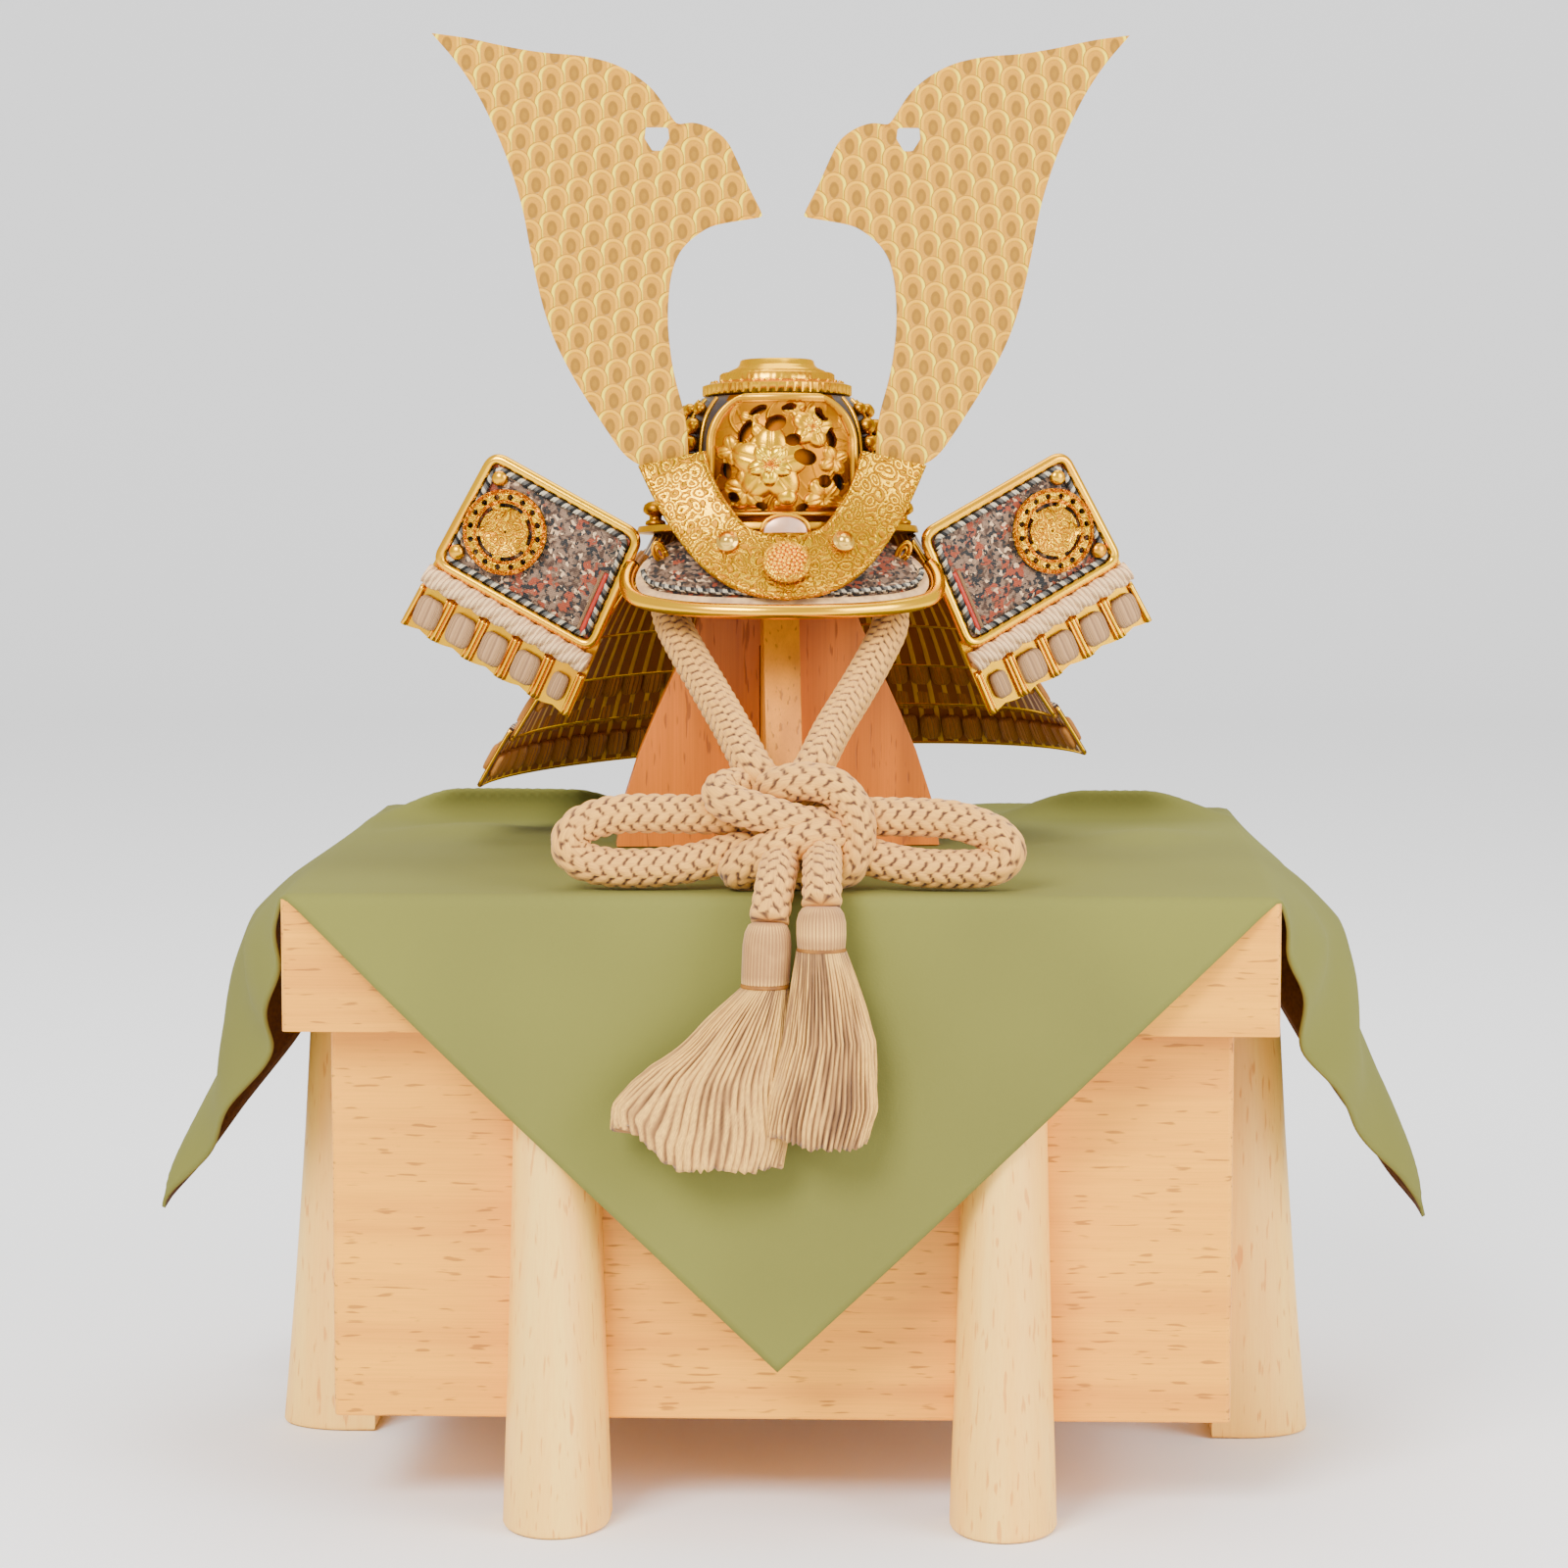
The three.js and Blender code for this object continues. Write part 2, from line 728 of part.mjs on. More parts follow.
function chestLid() {
  const outer = block(lidWidth, lidDepth, LID_HEIGHT, 0, 0, lidBottom);
  const inside = block(
    lidWidth - 2 * LID_WALL, lidDepth - 2 * LID_WALL, LID_HEIGHT, 0, 0, lidBottom - LID_TOP_WALL,
  );
  return cut(outer, inside);
}

// A leg whose flat back stands against a wall of the chest and whose round side faces -Y
function legSolid() {
  const rings = LEG_SECTIONS.map(({ up, flare }) => {
    const width = LEG_TOP_WIDTH + (LEG_FOOT_WIDTH - LEG_TOP_WIDTH) * flare;
    const reach = LEG_TOP_REACH + (LEG_FOOT_REACH - LEG_TOP_REACH) * flare;
    const straight = reach * LEG_STRAIGHT_SHARE;
    const ring = [new THREE.Vector3(width / 2, 0, up * LEG_HEIGHT)];
    for (let k = 0; k <= LEG_ARC_STEPS; k++) {
      const turn = (Math.PI * k) / LEG_ARC_STEPS;
      const out = straight + (reach - straight) * Math.sin(turn);
      ring.push(new THREE.Vector3((width / 2) * Math.cos(turn), -out, up * LEG_HEIGHT));
    }
    ring.push(new THREE.Vector3(-width / 2, 0, up * LEG_HEIGHT));
    return ring;
  });
  return lofted(rings);
}

function addChest() {
  put(root, 'chest_body', chestBody(), beech);
  put(root, 'chest_lid', chestLid(), beech);
  const places = [
    { name: 'front_left', x: -FRONT_LEG_SPACING / 2, y: -BODY_DEPTH / 2 - GAP, turn: 0 },
    { name: 'front_right', x: FRONT_LEG_SPACING / 2, y: -BODY_DEPTH / 2 - GAP, turn: 0 },
    { name: 'right', x: BODY_WIDTH / 2 + GAP, y: 0, turn: 90 },
    { name: 'back_right', x: FRONT_LEG_SPACING / 2, y: BODY_DEPTH / 2 + GAP, turn: 180 },
    { name: 'back_left', x: -FRONT_LEG_SPACING / 2, y: BODY_DEPTH / 2 + GAP, turn: 180 },
    { name: 'left', x: -BODY_WIDTH / 2 - GAP, y: 0, turn: 270 },
  ];
  for (const { name, x, y, turn } of places) {
    const leg = put(root, `chest_leg_${name}`, legSolid(), beech);
    leg.position.set(x, y, 0);
    leg.rotation.z = radians(turn);
  }
}

// Cloth: its under side lies on the lid, and each flap starts at an edge of the lid
function clothSolid() {
  const halfWidth = lidWidth / 2 + GAP;
  const halfDepth = lidDepth / 2 + GAP;
  const legFlare = between(LEG_SECTIONS, 'up', 'flare', CLOTH_LEG_MEETING);
  const legReach = LEG_TOP_REACH + (LEG_FOOT_REACH - LEG_TOP_REACH) * legFlare;
  const lean = BODY_DEPTH / 2 + legReach + CLOTH_LEG_CLEARANCE - lidDepth / 2;
  const narrowed = (t) => Math.max(1 - t, FLAP_TIP_SHARE);
  const top = patch(
    (s, t) => new THREE.Vector3(halfWidth * (2 * s - 1), halfDepth * (2 * t - 1), clothUnder),
    CLOTH_COLUMNS, CLOTH_COLUMNS,
  );
  const endFlap = (side, drop) => patch((s, t) => {
    const across = side * (2 * s - 1);
    const out = lean * (1 - (1 - t) ** FLAP_POWER);
    return new THREE.Vector3(
      halfWidth * across * narrowed(t), side * (halfDepth + out), clothUnder - drop * t,
    );
  }, CLOTH_COLUMNS, FLAP_STEPS);
  const sideFlap = (side) => patch((s, k) => {
    const row = SIDE_FLAP[Math.round(k * (SIDE_FLAP.length - 1))];
    const across = 2 * s - 1;
    const out = SIDE_REACH * (row.hem + (row.ridge - row.hem) * (1 - across * across));
    return new THREE.Vector3(
      side * (halfWidth + out), -side * halfDepth * across * narrowed(row.down),
      clothUnder - SIDE_DROP * row.down,
    );
  }, CLOTH_COLUMNS, SIDE_FLAP.length - 1);
  const flaps = [endFlap(-1, FRONT_DROP), endFlap(1, BACK_DROP), sideFlap(-1), sideFlap(1)];
  return thickened([top, ...flaps], CLOTH_WALL);
}

// Stand: each board has its slot from the foot or from the top
function boardShape(slotFromFoot) {
  const slot = BOARD_THICKNESS / 2 + GAP;
  const meet = BOARD_HEIGHT * BOARD_SLOT_SHARE;
  const right = BOARD_OUTLINE.map(({ up, half }) => [half * BOARD_HALF_BASE, up * BOARD_HEIGHT]);
  const left = [...right].reverse().map(([x, z]) => [-x, z]);
  const foot = [[-slot, 0], [-slot, meet + GAP / 2], [slot, meet + GAP / 2], [slot, 0]];
  const inside = right.filter(([x]) => x > slot);
  const prong = inside.at(-1)[1];
  const head = [[slot, prong], [slot, meet - GAP / 2], [-slot, meet - GAP / 2], [-slot, prong]];
  const narrow = inside.map(([x, z]) => [-x, z]).reverse();
  const points = slotFromFoot ? [...right, ...left, ...foot] : [...inside, ...head, ...narrow];
  const shape = new THREE.Shape();
  points.forEach(([x, z], k) => (k === 0 ? shape.moveTo(x, z) : shape.lineTo(x, z)));
  return shape;
}

function addStand() {
  const cross = upright(boardShape(true), BOARD_THICKNESS).translate(0, -BOARD_THICKNESS / 2, 0);
  put(stand, 'stand_cross_board', welded(cross), standWood);
  const front = upright(boardShape(false), BOARD_THICKNESS).translate(0, -BOARD_THICKNESS / 2, 0);
  put(stand, 'stand_front_board', welded(front.rotateZ(Math.PI / 2)), standWood);
}

// Bowl
function bowlRadius(up) {
  return BOWL_RADIUS * between(BOWL_PROFILE, 'up', 'out', up / BOWL_HEIGHT);
}

function bowlSolid() {
  const ring = (radius, up, rib, sides = BOWL_RIBS * 2) => {
    const points = [];
    for (let k = 0; k < sides; k++) {
      const turn = (2 * Math.PI * (k + 0.5)) / sides;
      const out = radius + (k % 2 ? 0 : rib);
      points.push(new THREE.Vector3(out * Math.sin(turn), -BOWL_STRETCH * out * Math.cos(turn), up));
    }
    return points;
  };
  const outside = BOWL_PROFILE.map(({ up, out }) => ring(BOWL_RADIUS * out, BOWL_HEIGHT * up, BOWL_RIB));
  const hollow = BOWL_PROFILE.map(({ up, out }) => (
    ring(BOWL_RADIUS * out - BOWL_WALL, (BOWL_HEIGHT - BOWL_WALL) * up, 0, BOWL_RIBS)
  ));
  const below = ring(BOWL_RADIUS * BOWL_PROFILE[0].out - BOWL_WALL, -BOWL_WALL, 0, BOWL_RIBS);
  const shell = cut(lofted(outside), lofted([below, ...hollow]));
  const rivets = [];
  for (let k = 0; k < BOWL_RIBS; k++) {
    const turn = (2 * Math.PI * k) / BOWL_RIBS;
    if (Math.cos(turn) > Math.cos(radians(60))) continue;
    for (const share of RIVET_ROWS) {
      const out = bowlRadius(share * BOWL_HEIGHT);
      rivets.push(stud(
        RIVET_RADIUS, out * Math.sin(turn), -BOWL_STRETCH * out * Math.cos(turn), share * BOWL_HEIGHT,
      ));
    }
  }
  return joined(shell, ...rivets);
}

function flangeSolid() {
  const ring = (across, deep, up) => {
    const points = [];
    for (let k = 0; k < FLANGE_SIDES; k++) {
      const turn = (2 * Math.PI * k) / FLANGE_SIDES;
      points.push(new THREE.Vector3(across * Math.sin(turn), -deep * Math.cos(turn), up));
    }
    return points;
  };
  const holeRadius = BOWL_RADIUS * BOWL_PROFILE[0].out - BOWL_WALL;
  const low = -GAP - FLANGE_WALL;
  const disc = lofted([
    ring(FLANGE_RADIUS, FLANGE_DEPTH_RADIUS, low), ring(FLANGE_RADIUS, FLANGE_DEPTH_RADIUS, -GAP),
  ]);
  const hole = lofted([
    ring(holeRadius, holeRadius * BOWL_STRETCH, low - 1), ring(holeRadius, holeRadius * BOWL_STRETCH, 1),
  ]);
  return cut(disc, hole);
}

// A point on the front of the bowl, off its surface
function bowlFront(across, up, off) {
  const radius = bowlRadius(up) + BOWL_RIB + off;
  const depth = Math.sqrt(Math.max(radius * radius - across * across, 0));
  return new THREE.Vector3(across, -BOWL_STRETCH * depth, up);
}

function panelHalfWidth(up) {
  const rise = Math.max(up - PANEL_SHOULDER, 0) / (PANEL_HEIGHT - PANEL_SHOULDER);
  return PANEL_HALF_WIDTH * (PANEL_TOP_SHARE + (1 - PANEL_TOP_SHARE) * Math.sqrt(1 - rise * rise));
}

function panelSolid() {
  const rows = PANEL_ROWS.length - 1;
  const surface = patch((s, t) => {
    const up = PANEL_ROWS[Math.round(t * rows)] * BOWL_HEIGHT;
    return bowlFront(panelHalfWidth(up) * (2 * s - 1), up, PANEL_STANDOFF);
  }, PANEL_COLUMNS, rows);
  let panel = toManifold(thickened([surface], PANEL_WALL));
  const middle = (PANEL_ROWS[0] * BOWL_HEIGHT + PANEL_HEIGHT) / 2;
  const drill = (across, up) => {
    const place = bowlFront(across, up, 0);
    const hole = new THREE.CylinderGeometry(
      PANEL_GAP_RADIUS, PANEL_GAP_RADIUS * PANEL_GAP_TAPER, PANEL_DRILL, PANEL_GAP_SIDES,
    );
    const aim = new THREE.Vector3(place.x, place.y / BOWL_STRETCH, 0).normalize();
    hole.applyQuaternion(new THREE.Quaternion().setFromUnitVectors(new THREE.Vector3(0, 1, 0), aim));
    return hole.translate(place.x, place.y, place.z);
  };
  for (const { reach, gaps, start, turn } of PANEL_RINGS) {
    for (let k = 0; k < gaps; k++) {
      const angle = radians(start + turn * k);
      const across = reach * PANEL_HALF_WIDTH * Math.cos(angle);
      const up = middle + reach * (PANEL_HEIGHT - middle) * Math.sin(angle);
      panel = panel.subtract(toManifold(drill(across, up)));
    }
  }
  const petals = [];
  for (let k = 0; k < PEONY_PETALS; k++) {
    const angle = (2 * Math.PI * k) / PEONY_PETALS;
    const place = bowlFront(
      PEONY_RING * Math.cos(angle), middle + PEONY_RING * Math.sin(angle), PANEL_STANDOFF + PANEL_WALL,
    );
    petals.push(stud(PEONY_PETAL_RADIUS, place.x, place.y, place.z));
  }
  const heart = bowlFront(0, middle, PANEL_STANDOFF + PANEL_WALL + GAP);
  petals.push(stud(PEONY_HEART_RADIUS, heart.x, heart.y, heart.z));
  for (const petal of petals) panel = panel.add(toManifold(petal));
  return fromManifold(panel);
}

// A turned profile at a real radius and height
function turnedHead(profile, radius, height, sides) {
  return turned(profile.map(({ up, out }) => ({ up: up * height, out: out * radius })), sides);
}

function domeRivet(radius, height) {
  return turnedHead(DOME_PROFILE, radius, height, DOME_SIDES);
}

function addBowl() {
  put(bowlGroup, 'bowl', bowlSolid(), gold);
  put(bowlGroup, 'bowl_flange', flangeSolid(), goldDeep);
  const finial = turnedHead(FINIAL_PROFILE, FINIAL_RADIUS, FINIAL_HEIGHT, FINIAL_SIDES);
  put(bowlGroup, 'crown_finial', finial.translate(0, 0, BOWL_HEIGHT + GAP), gold);
  put(bowlGroup, 'bowl_front_panel', panelSolid(), gold);
  for (const [name, side] of [['left', -1], ['right', 1]]) {
    const head = turnedHead(
      FLANGE_RIVET_PROFILE, FLANGE_RIVET_RADIUS, FLANGE_RIVET_HEIGHT, FLANGE_RIVET_SIDES,
    );
    head.translate(side * FLANGE_RIVET_OUT, -FLANGE_RIVET_FORWARD, 0);
    put(bowlGroup, `flange_rivet_${name}`, head, goldDeep);
  }
}

// The level of the tilted flange's under side, at a depth in the helmet's frame
function flangeUnder(depth) {
  return -FLANGE_WALL - 2 * GAP - Math.tan(radians(BOWL_TILT)) * (depth - bowlGroup.position.y);
}

// Visor: spreads from under the flange to its rim, with round front corners
function visorPoint(a, b) {
  const angle = radians(VISOR_ANGLE * a);
  const inner = new THREE.Vector3(VISOR_INNER * Math.sin(angle), -VISOR_INNER_DEPTH * Math.cos(angle), 0);
  inner.z = flangeUnder(inner.y) - VISOR_WALL;
  const side = a * a;
  const outer = new THREE.Vector3(
    VISOR_REACH * Math.sin(angle * VISOR_SPREAD) * (1 + VISOR_END_WIDENING * side),
    -VISOR_DEPTH * Math.cos(angle) ** VISOR_FRONT_POWER * (1 - VISOR_END_PULL * side),
    -VISOR_FALL + (VISOR_FALL - VISOR_END_FALL) * side * side,
  );
  const corner = Math.max((Math.abs(a) - VISOR_ROUND_FROM) / (1 - VISOR_ROUND_FROM), 0);
  const reach = 1 - (1 - VISOR_ROUND_KEEP) * (1 - Math.sqrt(Math.max(1 - corner ** VISOR_ROUND_POWER, 0)));
  const point = inner.clone().lerp(outer, b * reach);
  point.z += VISOR_BULGE * Math.sin(Math.PI * b * reach);
  return point;
}

function visorSolid() {
  return thickened([patch((s, t) => visorPoint(2 * s - 1, t), VISOR_COLUMNS, VISOR_ROWS)], -VISOR_WALL);
}

function visorRim() {
  const middle = new THREE.Vector3(0, -VISOR_DEPTH * VISOR_RIM_CENTRE, -VISOR_FALL / 2);
  const edge = [];
  for (let k = 0; k <= VISOR_RIM_STEPS; k++) {
    edge.push(visorPoint(VISOR_RIM_END * ((2 * k) / VISOR_RIM_STEPS - 1), 1));
  }
  const route = edge.map((p, k) => {
    const along = edge[Math.min(k + 1, edge.length - 1)].clone().sub(edge[Math.max(k - 1, 0)]).normalize();
    const out = p.clone().sub(middle);
    out.addScaledVector(along, -out.dot(along)).normalize();
    const clear = VISOR_RIM_RADIUS + GAP + VISOR_WALL / 2;
    return p.clone().addScaledVector(out, clear);
  });
  return tube(route, 2 * VISOR_RIM_RADIUS, VISOR_RIM_SIDES, VISOR_RIM_STEPS);
}

// Horn plate
function curvePlace(rows, share) {
  const place = share * (rows.length - 1);
  const k = Math.min(Math.floor(place), rows.length - 2);
  const rest = place - k;
  return {
    across: THREE.MathUtils.lerp(rows[k].across, rows[k + 1].across, rest),
    up: THREE.MathUtils.lerp(rows[k].up, rows[k + 1].up, rest),
  };
}

function plateDepth(across, up) {
  const low = THREE.MathUtils.clamp((PLATE_LOW + PLATE_HEIGHT - up) / PLATE_HEIGHT, 0, 1);
  return -PLATE_TOP_DEPTH - PLATE_FOOT_DEPTH * low ** PLATE_CURVE_POWER + (across * across) / PLATE_BEND;
}

function platePoint(a, b) {
  const share = Math.abs(a);
  const outer = curvePlace(PLATE_OUTER, share);
  const inner = curvePlace(PLATE_INNER, share);
  const across = Math.sign(a) * PLATE_HALF_WIDTH * THREE.MathUtils.lerp(outer.across, inner.across, b);
  const up = PLATE_LOW + PLATE_HEIGHT * THREE.MathUtils.lerp(outer.up, inner.up, b);
  return new THREE.Vector3(across, plateDepth(across, up), up);
}

function addPlate() {
  const steps = 2 * (PLATE_OUTER.length - 1);
  const surface = patch((s, t) => platePoint(2 * s - 1, t), steps, 3);
  put(helmet, 'horn_plate', thickened([surface], -PLATE_WALL), gold);
  const onPlate = (mesh, across, up) => {
    const slope = (plateDepth(across, up + 1) - plateDepth(across, up - 1)) / 2;
    const bend = (2 * across) / PLATE_BEND;
    const normal = new THREE.Vector3(bend, -1, slope).normalize();
    const place = new THREE.Vector3(across, plateDepth(across, up), up).addScaledVector(normal, PLATE_SEAT);
    mesh.position.copy(place);
    mesh.quaternion.setFromUnitVectors(new THREE.Vector3(0, 0, 1), normal);
  };
  for (const [name, side] of [['left', -1], ['right', 1]]) {
    const rivet = put(helmet, `plate_rivet_${name}`, domeRivet(PLATE_RIVET_RADIUS, PLATE_RIVET_HEIGHT), gold);
    onPlate(rivet, side * PLATE_RIVET_ACROSS, PLATE_RIVET_UP);
  }
  onPlate(put(helmet, 'plate_boss', domeRivet(PLATE_BOSS_RADIUS, PLATE_BOSS_HEIGHT), gold), 0, PLATE_BOSS_UP);
}

// Horns: flat sheets, each swept back and leaning forward
function hornShape() {
  const shape = new THREE.Shape();
  const place = ({ across, up }) => (
    new THREE.Vector2(across * HORN_REACH - HORN_PIVOT, HORN_FOOT + up * HORN_RISE)
  );
  const all = [...HORN_CROWN, ...HORN_LOBE, ...HORN_INNER, ...HORN_OUTER];
  all.map(place).forEach((p, k) => (k === 0 ? shape.moveTo(p.x, p.y) : shape.lineTo(p.x, p.y)));
  const middle = place(HORN_HOLE_PLACE);
  const hole = new THREE.Path();
  HORN_HOLE_OUTLINE.forEach(({ across, up }, k) => {
    const point = [middle.x + HORN_HOLE * across, middle.y + HORN_HOLE * up];
    if (k === 0) hole.moveTo(...point);
    else hole.lineTo(...point);
  });
  shape.holes.push(hole);
  return shape;
}

function addHorns() {
  const depth = plateDepth(HORN_PIVOT, HORN_FOOT) + PLATE_WALL + GAP + HORN_SETBACK;
  for (const [name, side] of [['left', -1], ['right', 1]]) {
    const sheet = welded(upright(hornShape(), HORN_WALL));
    sheet.translate(0, 0, -HORN_FOOT);
    const holder = new THREE.Group();
    holder.position.set(side * HORN_PIVOT, depth, HORN_FOOT);
    holder.rotation.set(radians(HORN_LEAN), 0, side * radians(HORN_SWEEP));
    if (side < 0) {
      sheet.scale(-1, 1, 1);
      sheet.setIndex([...sheet.index.array].reverse());
    }
    put(holder, `horn_${name}`, sheet, paleGold);
    helmet.add(holder);
  }
}

// Wings: drawn in the plane of the panel, with x out from its inner upper corner and z up
const wingAcross = new THREE.Vector2(Math.cos(radians(WING_RISE_ANGLE)), Math.sin(radians(WING_RISE_ANGLE)));
const wingDown = new THREE.Vector2(Math.sin(radians(WING_LEAN_ANGLE)), -Math.cos(radians(WING_LEAN_ANGLE)));

function wingPlace(along, down) {
  const length = along * (WING_LENGTH + WING_OUTER_SPREAD * (down / WING_HEIGHT));
  return wingAcross.clone().multiplyScalar(length).addScaledVector(wingDown, down);
}

function wingOutline(inset, corner) {
  const far = 1 - inset / WING_LENGTH;
  const near = inset / WING_LENGTH;
  const corners = [
    wingPlace(near, inset), wingPlace(near, WING_HEIGHT - inset),
    wingPlace(far, WING_HEIGHT - inset), wingPlace(far, inset),
  ];
  const shape = new THREE.Shape();
  corners.forEach((p, k) => {
    const before = corners[(k + 3) % 4];
    const after = corners[(k + 1) % 4];
    const from = p.clone().addScaledVector(before.clone().sub(p).normalize(), corner);
    const to = p.clone().addScaledVector(after.clone().sub(p).normalize(), corner);
    if (k === 0) shape.moveTo(from.x, from.y);
    else shape.lineTo(from.x, from.y);
    shape.quadraticCurveTo(p.x, p.y, to.x, to.y);
  });
  return shape;
}

function wingRim() {
  const shape = wingOutline(0, WING_CORNER);
  shape.holes.push(wingOutline(WING_RIM, WING_CORNER - WING_RIM / 2));
  return upright(shape, WING_RIM_DEPTH, 3).translate(0, -WING_RIM_DEPTH + WING_WALL, 0);
}

function crestSolid() {
  const shape = new THREE.Shape();
  for (let k = 0; k < CREST_SIDES; k++) {
    const turn = (2 * Math.PI * k) / CREST_SIDES;
    const radius = CREST_RADIUS * (k % 2 ? 1 : CREST_SCALLOP);
    const point = [radius * Math.cos(turn), radius * Math.sin(turn)];
    if (k === 0) shape.moveTo(...point);
    else shape.lineTo(...point);
  }
  for (let k = 0; k < CREST_HOLES; k++) {
    const turn = (2 * Math.PI * (k + 0.5)) / CREST_HOLES;
    const hole = new THREE.Path();
    for (let corner = 0; corner < 4; corner++) {
      const angle = turn + (Math.PI * corner) / 2;
      const x = CREST_RING * Math.cos(turn) + CREST_HOLE_RADIUS * Math.cos(angle);
      const z = CREST_RING * Math.sin(turn) + CREST_HOLE_RADIUS * Math.sin(angle);
      if (corner === 0) hole.moveTo(x, z);
      else hole.lineTo(x, z);
    }
    shape.holes.push(hole);
  }
  const disc = upright(shape, CREST_WALL);
  const petals = [stud(CREST_HEART_RADIUS, 0, 0, 0)];
  for (let k = 0; k < CREST_PETALS; k++) {
    const turn = (2 * Math.PI * k) / CREST_PETALS;
    petals.push(stud(
      CREST_PETAL_RADIUS, CREST_PETAL_RING * Math.cos(turn), GAP, CREST_PETAL_RING * Math.sin(turn),
    ));
  }
  return joined(disc, ...petals);
}

// A twisted band of flattened round section along a straight line
function bandSolid(from, to) {
  const rings = [];
  const along = to.clone().sub(from);
  const up = new THREE.Vector2(-along.y, along.x).normalize();
  for (let j = 0; j <= BAND_STEPS; j++) {
    const share = j / BAND_STEPS;
    const middle = from.clone().addScaledVector(along, share);
    const swell = 1 - BAND_PINCH * Math.abs(Math.cos(Math.PI * BAND_TWISTS * share));
    const ring = [];
    for (let k = 0; k < BAND_SIDES; k++) {
      const turn = (2 * Math.PI * (k + 0.5)) / BAND_SIDES;
      const side = (BAND_WIDTH / 2) * swell * Math.cos(turn);
      const depth = (BAND_DEPTH / 2) * swell * Math.sin(turn);
      ring.push(new THREE.Vector3(middle.x + up.x * side, depth, middle.y + up.y * side));
    }
    rings.push(ring);
  }
  return lofted(rings);
}

function wingLame() {
  const low = WING_HEIGHT + WING_LAME_HEIGHT;
  const shape = new THREE.Shape();
  const top = [wingPlace(0, WING_HEIGHT - WING_LAME_OVERLAP), wingPlace(1, WING_HEIGHT - WING_LAME_OVERLAP)];
  const points = [top[0]];
  for (let k = 0; k <= WING_LAME_RIBS; k++) {
    const middle = k / WING_LAME_RIBS;
    points.push(wingPlace(middle, low));
    if (k < WING_LAME_RIBS) points.push(wingPlace(middle + 0.5 / WING_LAME_RIBS, low - WING_LAME_SCALLOP));
  }
  points.push(top[1]);
  points.forEach((p, k) => (k === 0 ? shape.moveTo(p.x, p.y) : shape.lineTo(p.x, p.y)));
  const plate = upright(shape, WING_LAME_WALL);
  const ribs = [];
  for (let k = 0; k < WING_LAME_RIBS; k++) {
    const share = k / WING_LAME_RIBS;
    const from = wingPlace(share, WING_HEIGHT + BAND_WIDTH + WING_RIB_WIDTH);
    const to = wingPlace(share, low);
    const middle = from.clone().add(to).multiplyScalar(0.5);
    const rib = new THREE.BoxGeometry(WING_RIB_WIDTH, WING_RIB_DEPTH, from.distanceTo(to) - WING_RIB_WIDTH);
    rib.rotateY(Math.atan2(to.x - from.x, to.y - from.y));
    ribs.push(rib.translate(middle.x + WING_RIB_IN, 0, middle.y));
  }
  return joined(plate, ...ribs);
}

function lacingSolid() {
  const places = [];
  for (let k = 0; k < TUFT_COUNT; k++) {
    places.push(wingPlace((k + TUFT_START) / TUFT_SPACES, WING_HEIGHT + WING_LAME_HEIGHT * TUFT_DOWN));
  }
  const lumps = places.map((place) => (
    stud(TUFT_RADIUS, 0, 0, 0).scale(TUFT_SQUEEZE, TUFT_FLATNESS, 1).translate(place.x, 0, place.y)
  ));
  const from = places[0];
  const to = places.at(-1);
  const middle = from.clone().add(to).multiplyScalar(0.5);
  const ribbon = new THREE.BoxGeometry(from.distanceTo(to), LACING_WALL, LACING_WIDTH);
  ribbon.rotateY(-Math.atan2(to.y - from.y, to.x - from.x));
  return joined(ribbon.translate(middle.x, 0, middle.y), ...lumps);
}

function mirrored(geometry) {
  const bare = welded(geometry);
  bare.scale(-1, 1, 1);
  bare.setIndex([...bare.index.array].reverse());
  return bare;
}

function addWings() {
  for (const [name, side] of [['left', -1], ['right', 1]]) {
    const wing = new THREE.Group();
    wing.position.set(side * WING_INNER, WING_FRONT, WING_TOP);
    wing.rotation.z = side * radians(WING_SWEEP);
    helmet.add(wing);
    const sided = (geometry) => (side < 0 ? mirrored(geometry) : welded(geometry));
    const panelInset = WING_RIM + GAP;
    const panel = upright(wingOutline(panelInset, WING_CORNER - WING_RIM / 2), WING_WALL);
    put(wing, `wing_panel_${name}`, sided(panel), brocade);
    put(wing, `wing_rim_${name}`, sided(wingRim()), gold);
    const crest = wingPlace(CREST_ALONG, WING_HEIGHT * CREST_DOWN);
    const crestMesh = crestSolid().translate(crest.x, -CREST_WALL - CREST_STANDOFF, crest.y);
    put(wing, `wing_crest_${name}`, sided(crestMesh), gold);
    for (const stud of STUD_PLACES) {
      const place = wingPlace(stud.along, WING_HEIGHT * stud.down);
      const head = domeRivet(STUD_RADIUS, STUD_HEIGHT).rotateX(Math.PI / 2).translate(place.x, -GAP, place.y);
      put(wing, `wing_stud_${stud.name}_${name}`, sided(head), gold);
    }
    const bandDown = WING_HEIGHT + GAP + BAND_WIDTH / 2;
    const band = bandSolid(wingPlace(BAND_END, bandDown), wingPlace(1 - BAND_END, bandDown));
    band.translate(0, WING_WALL - BAND_DEPTH / 2, 0);
    put(wing, `wing_band_${name}`, sided(band), whiteCord);
    const lameFront = WING_WALL + WING_LAME_SETBACK;
    put(wing, `wing_lame_${name}`, sided(wingLame().translate(0, lameFront, 0)), gold);
    const lacing = lacingSolid().translate(0, lameFront - TUFT_RADIUS * TUFT_FLATNESS - GAP, 0);
    put(wing, `wing_lacing_${name}`, sided(lacing), tuftBeige);
  }
}

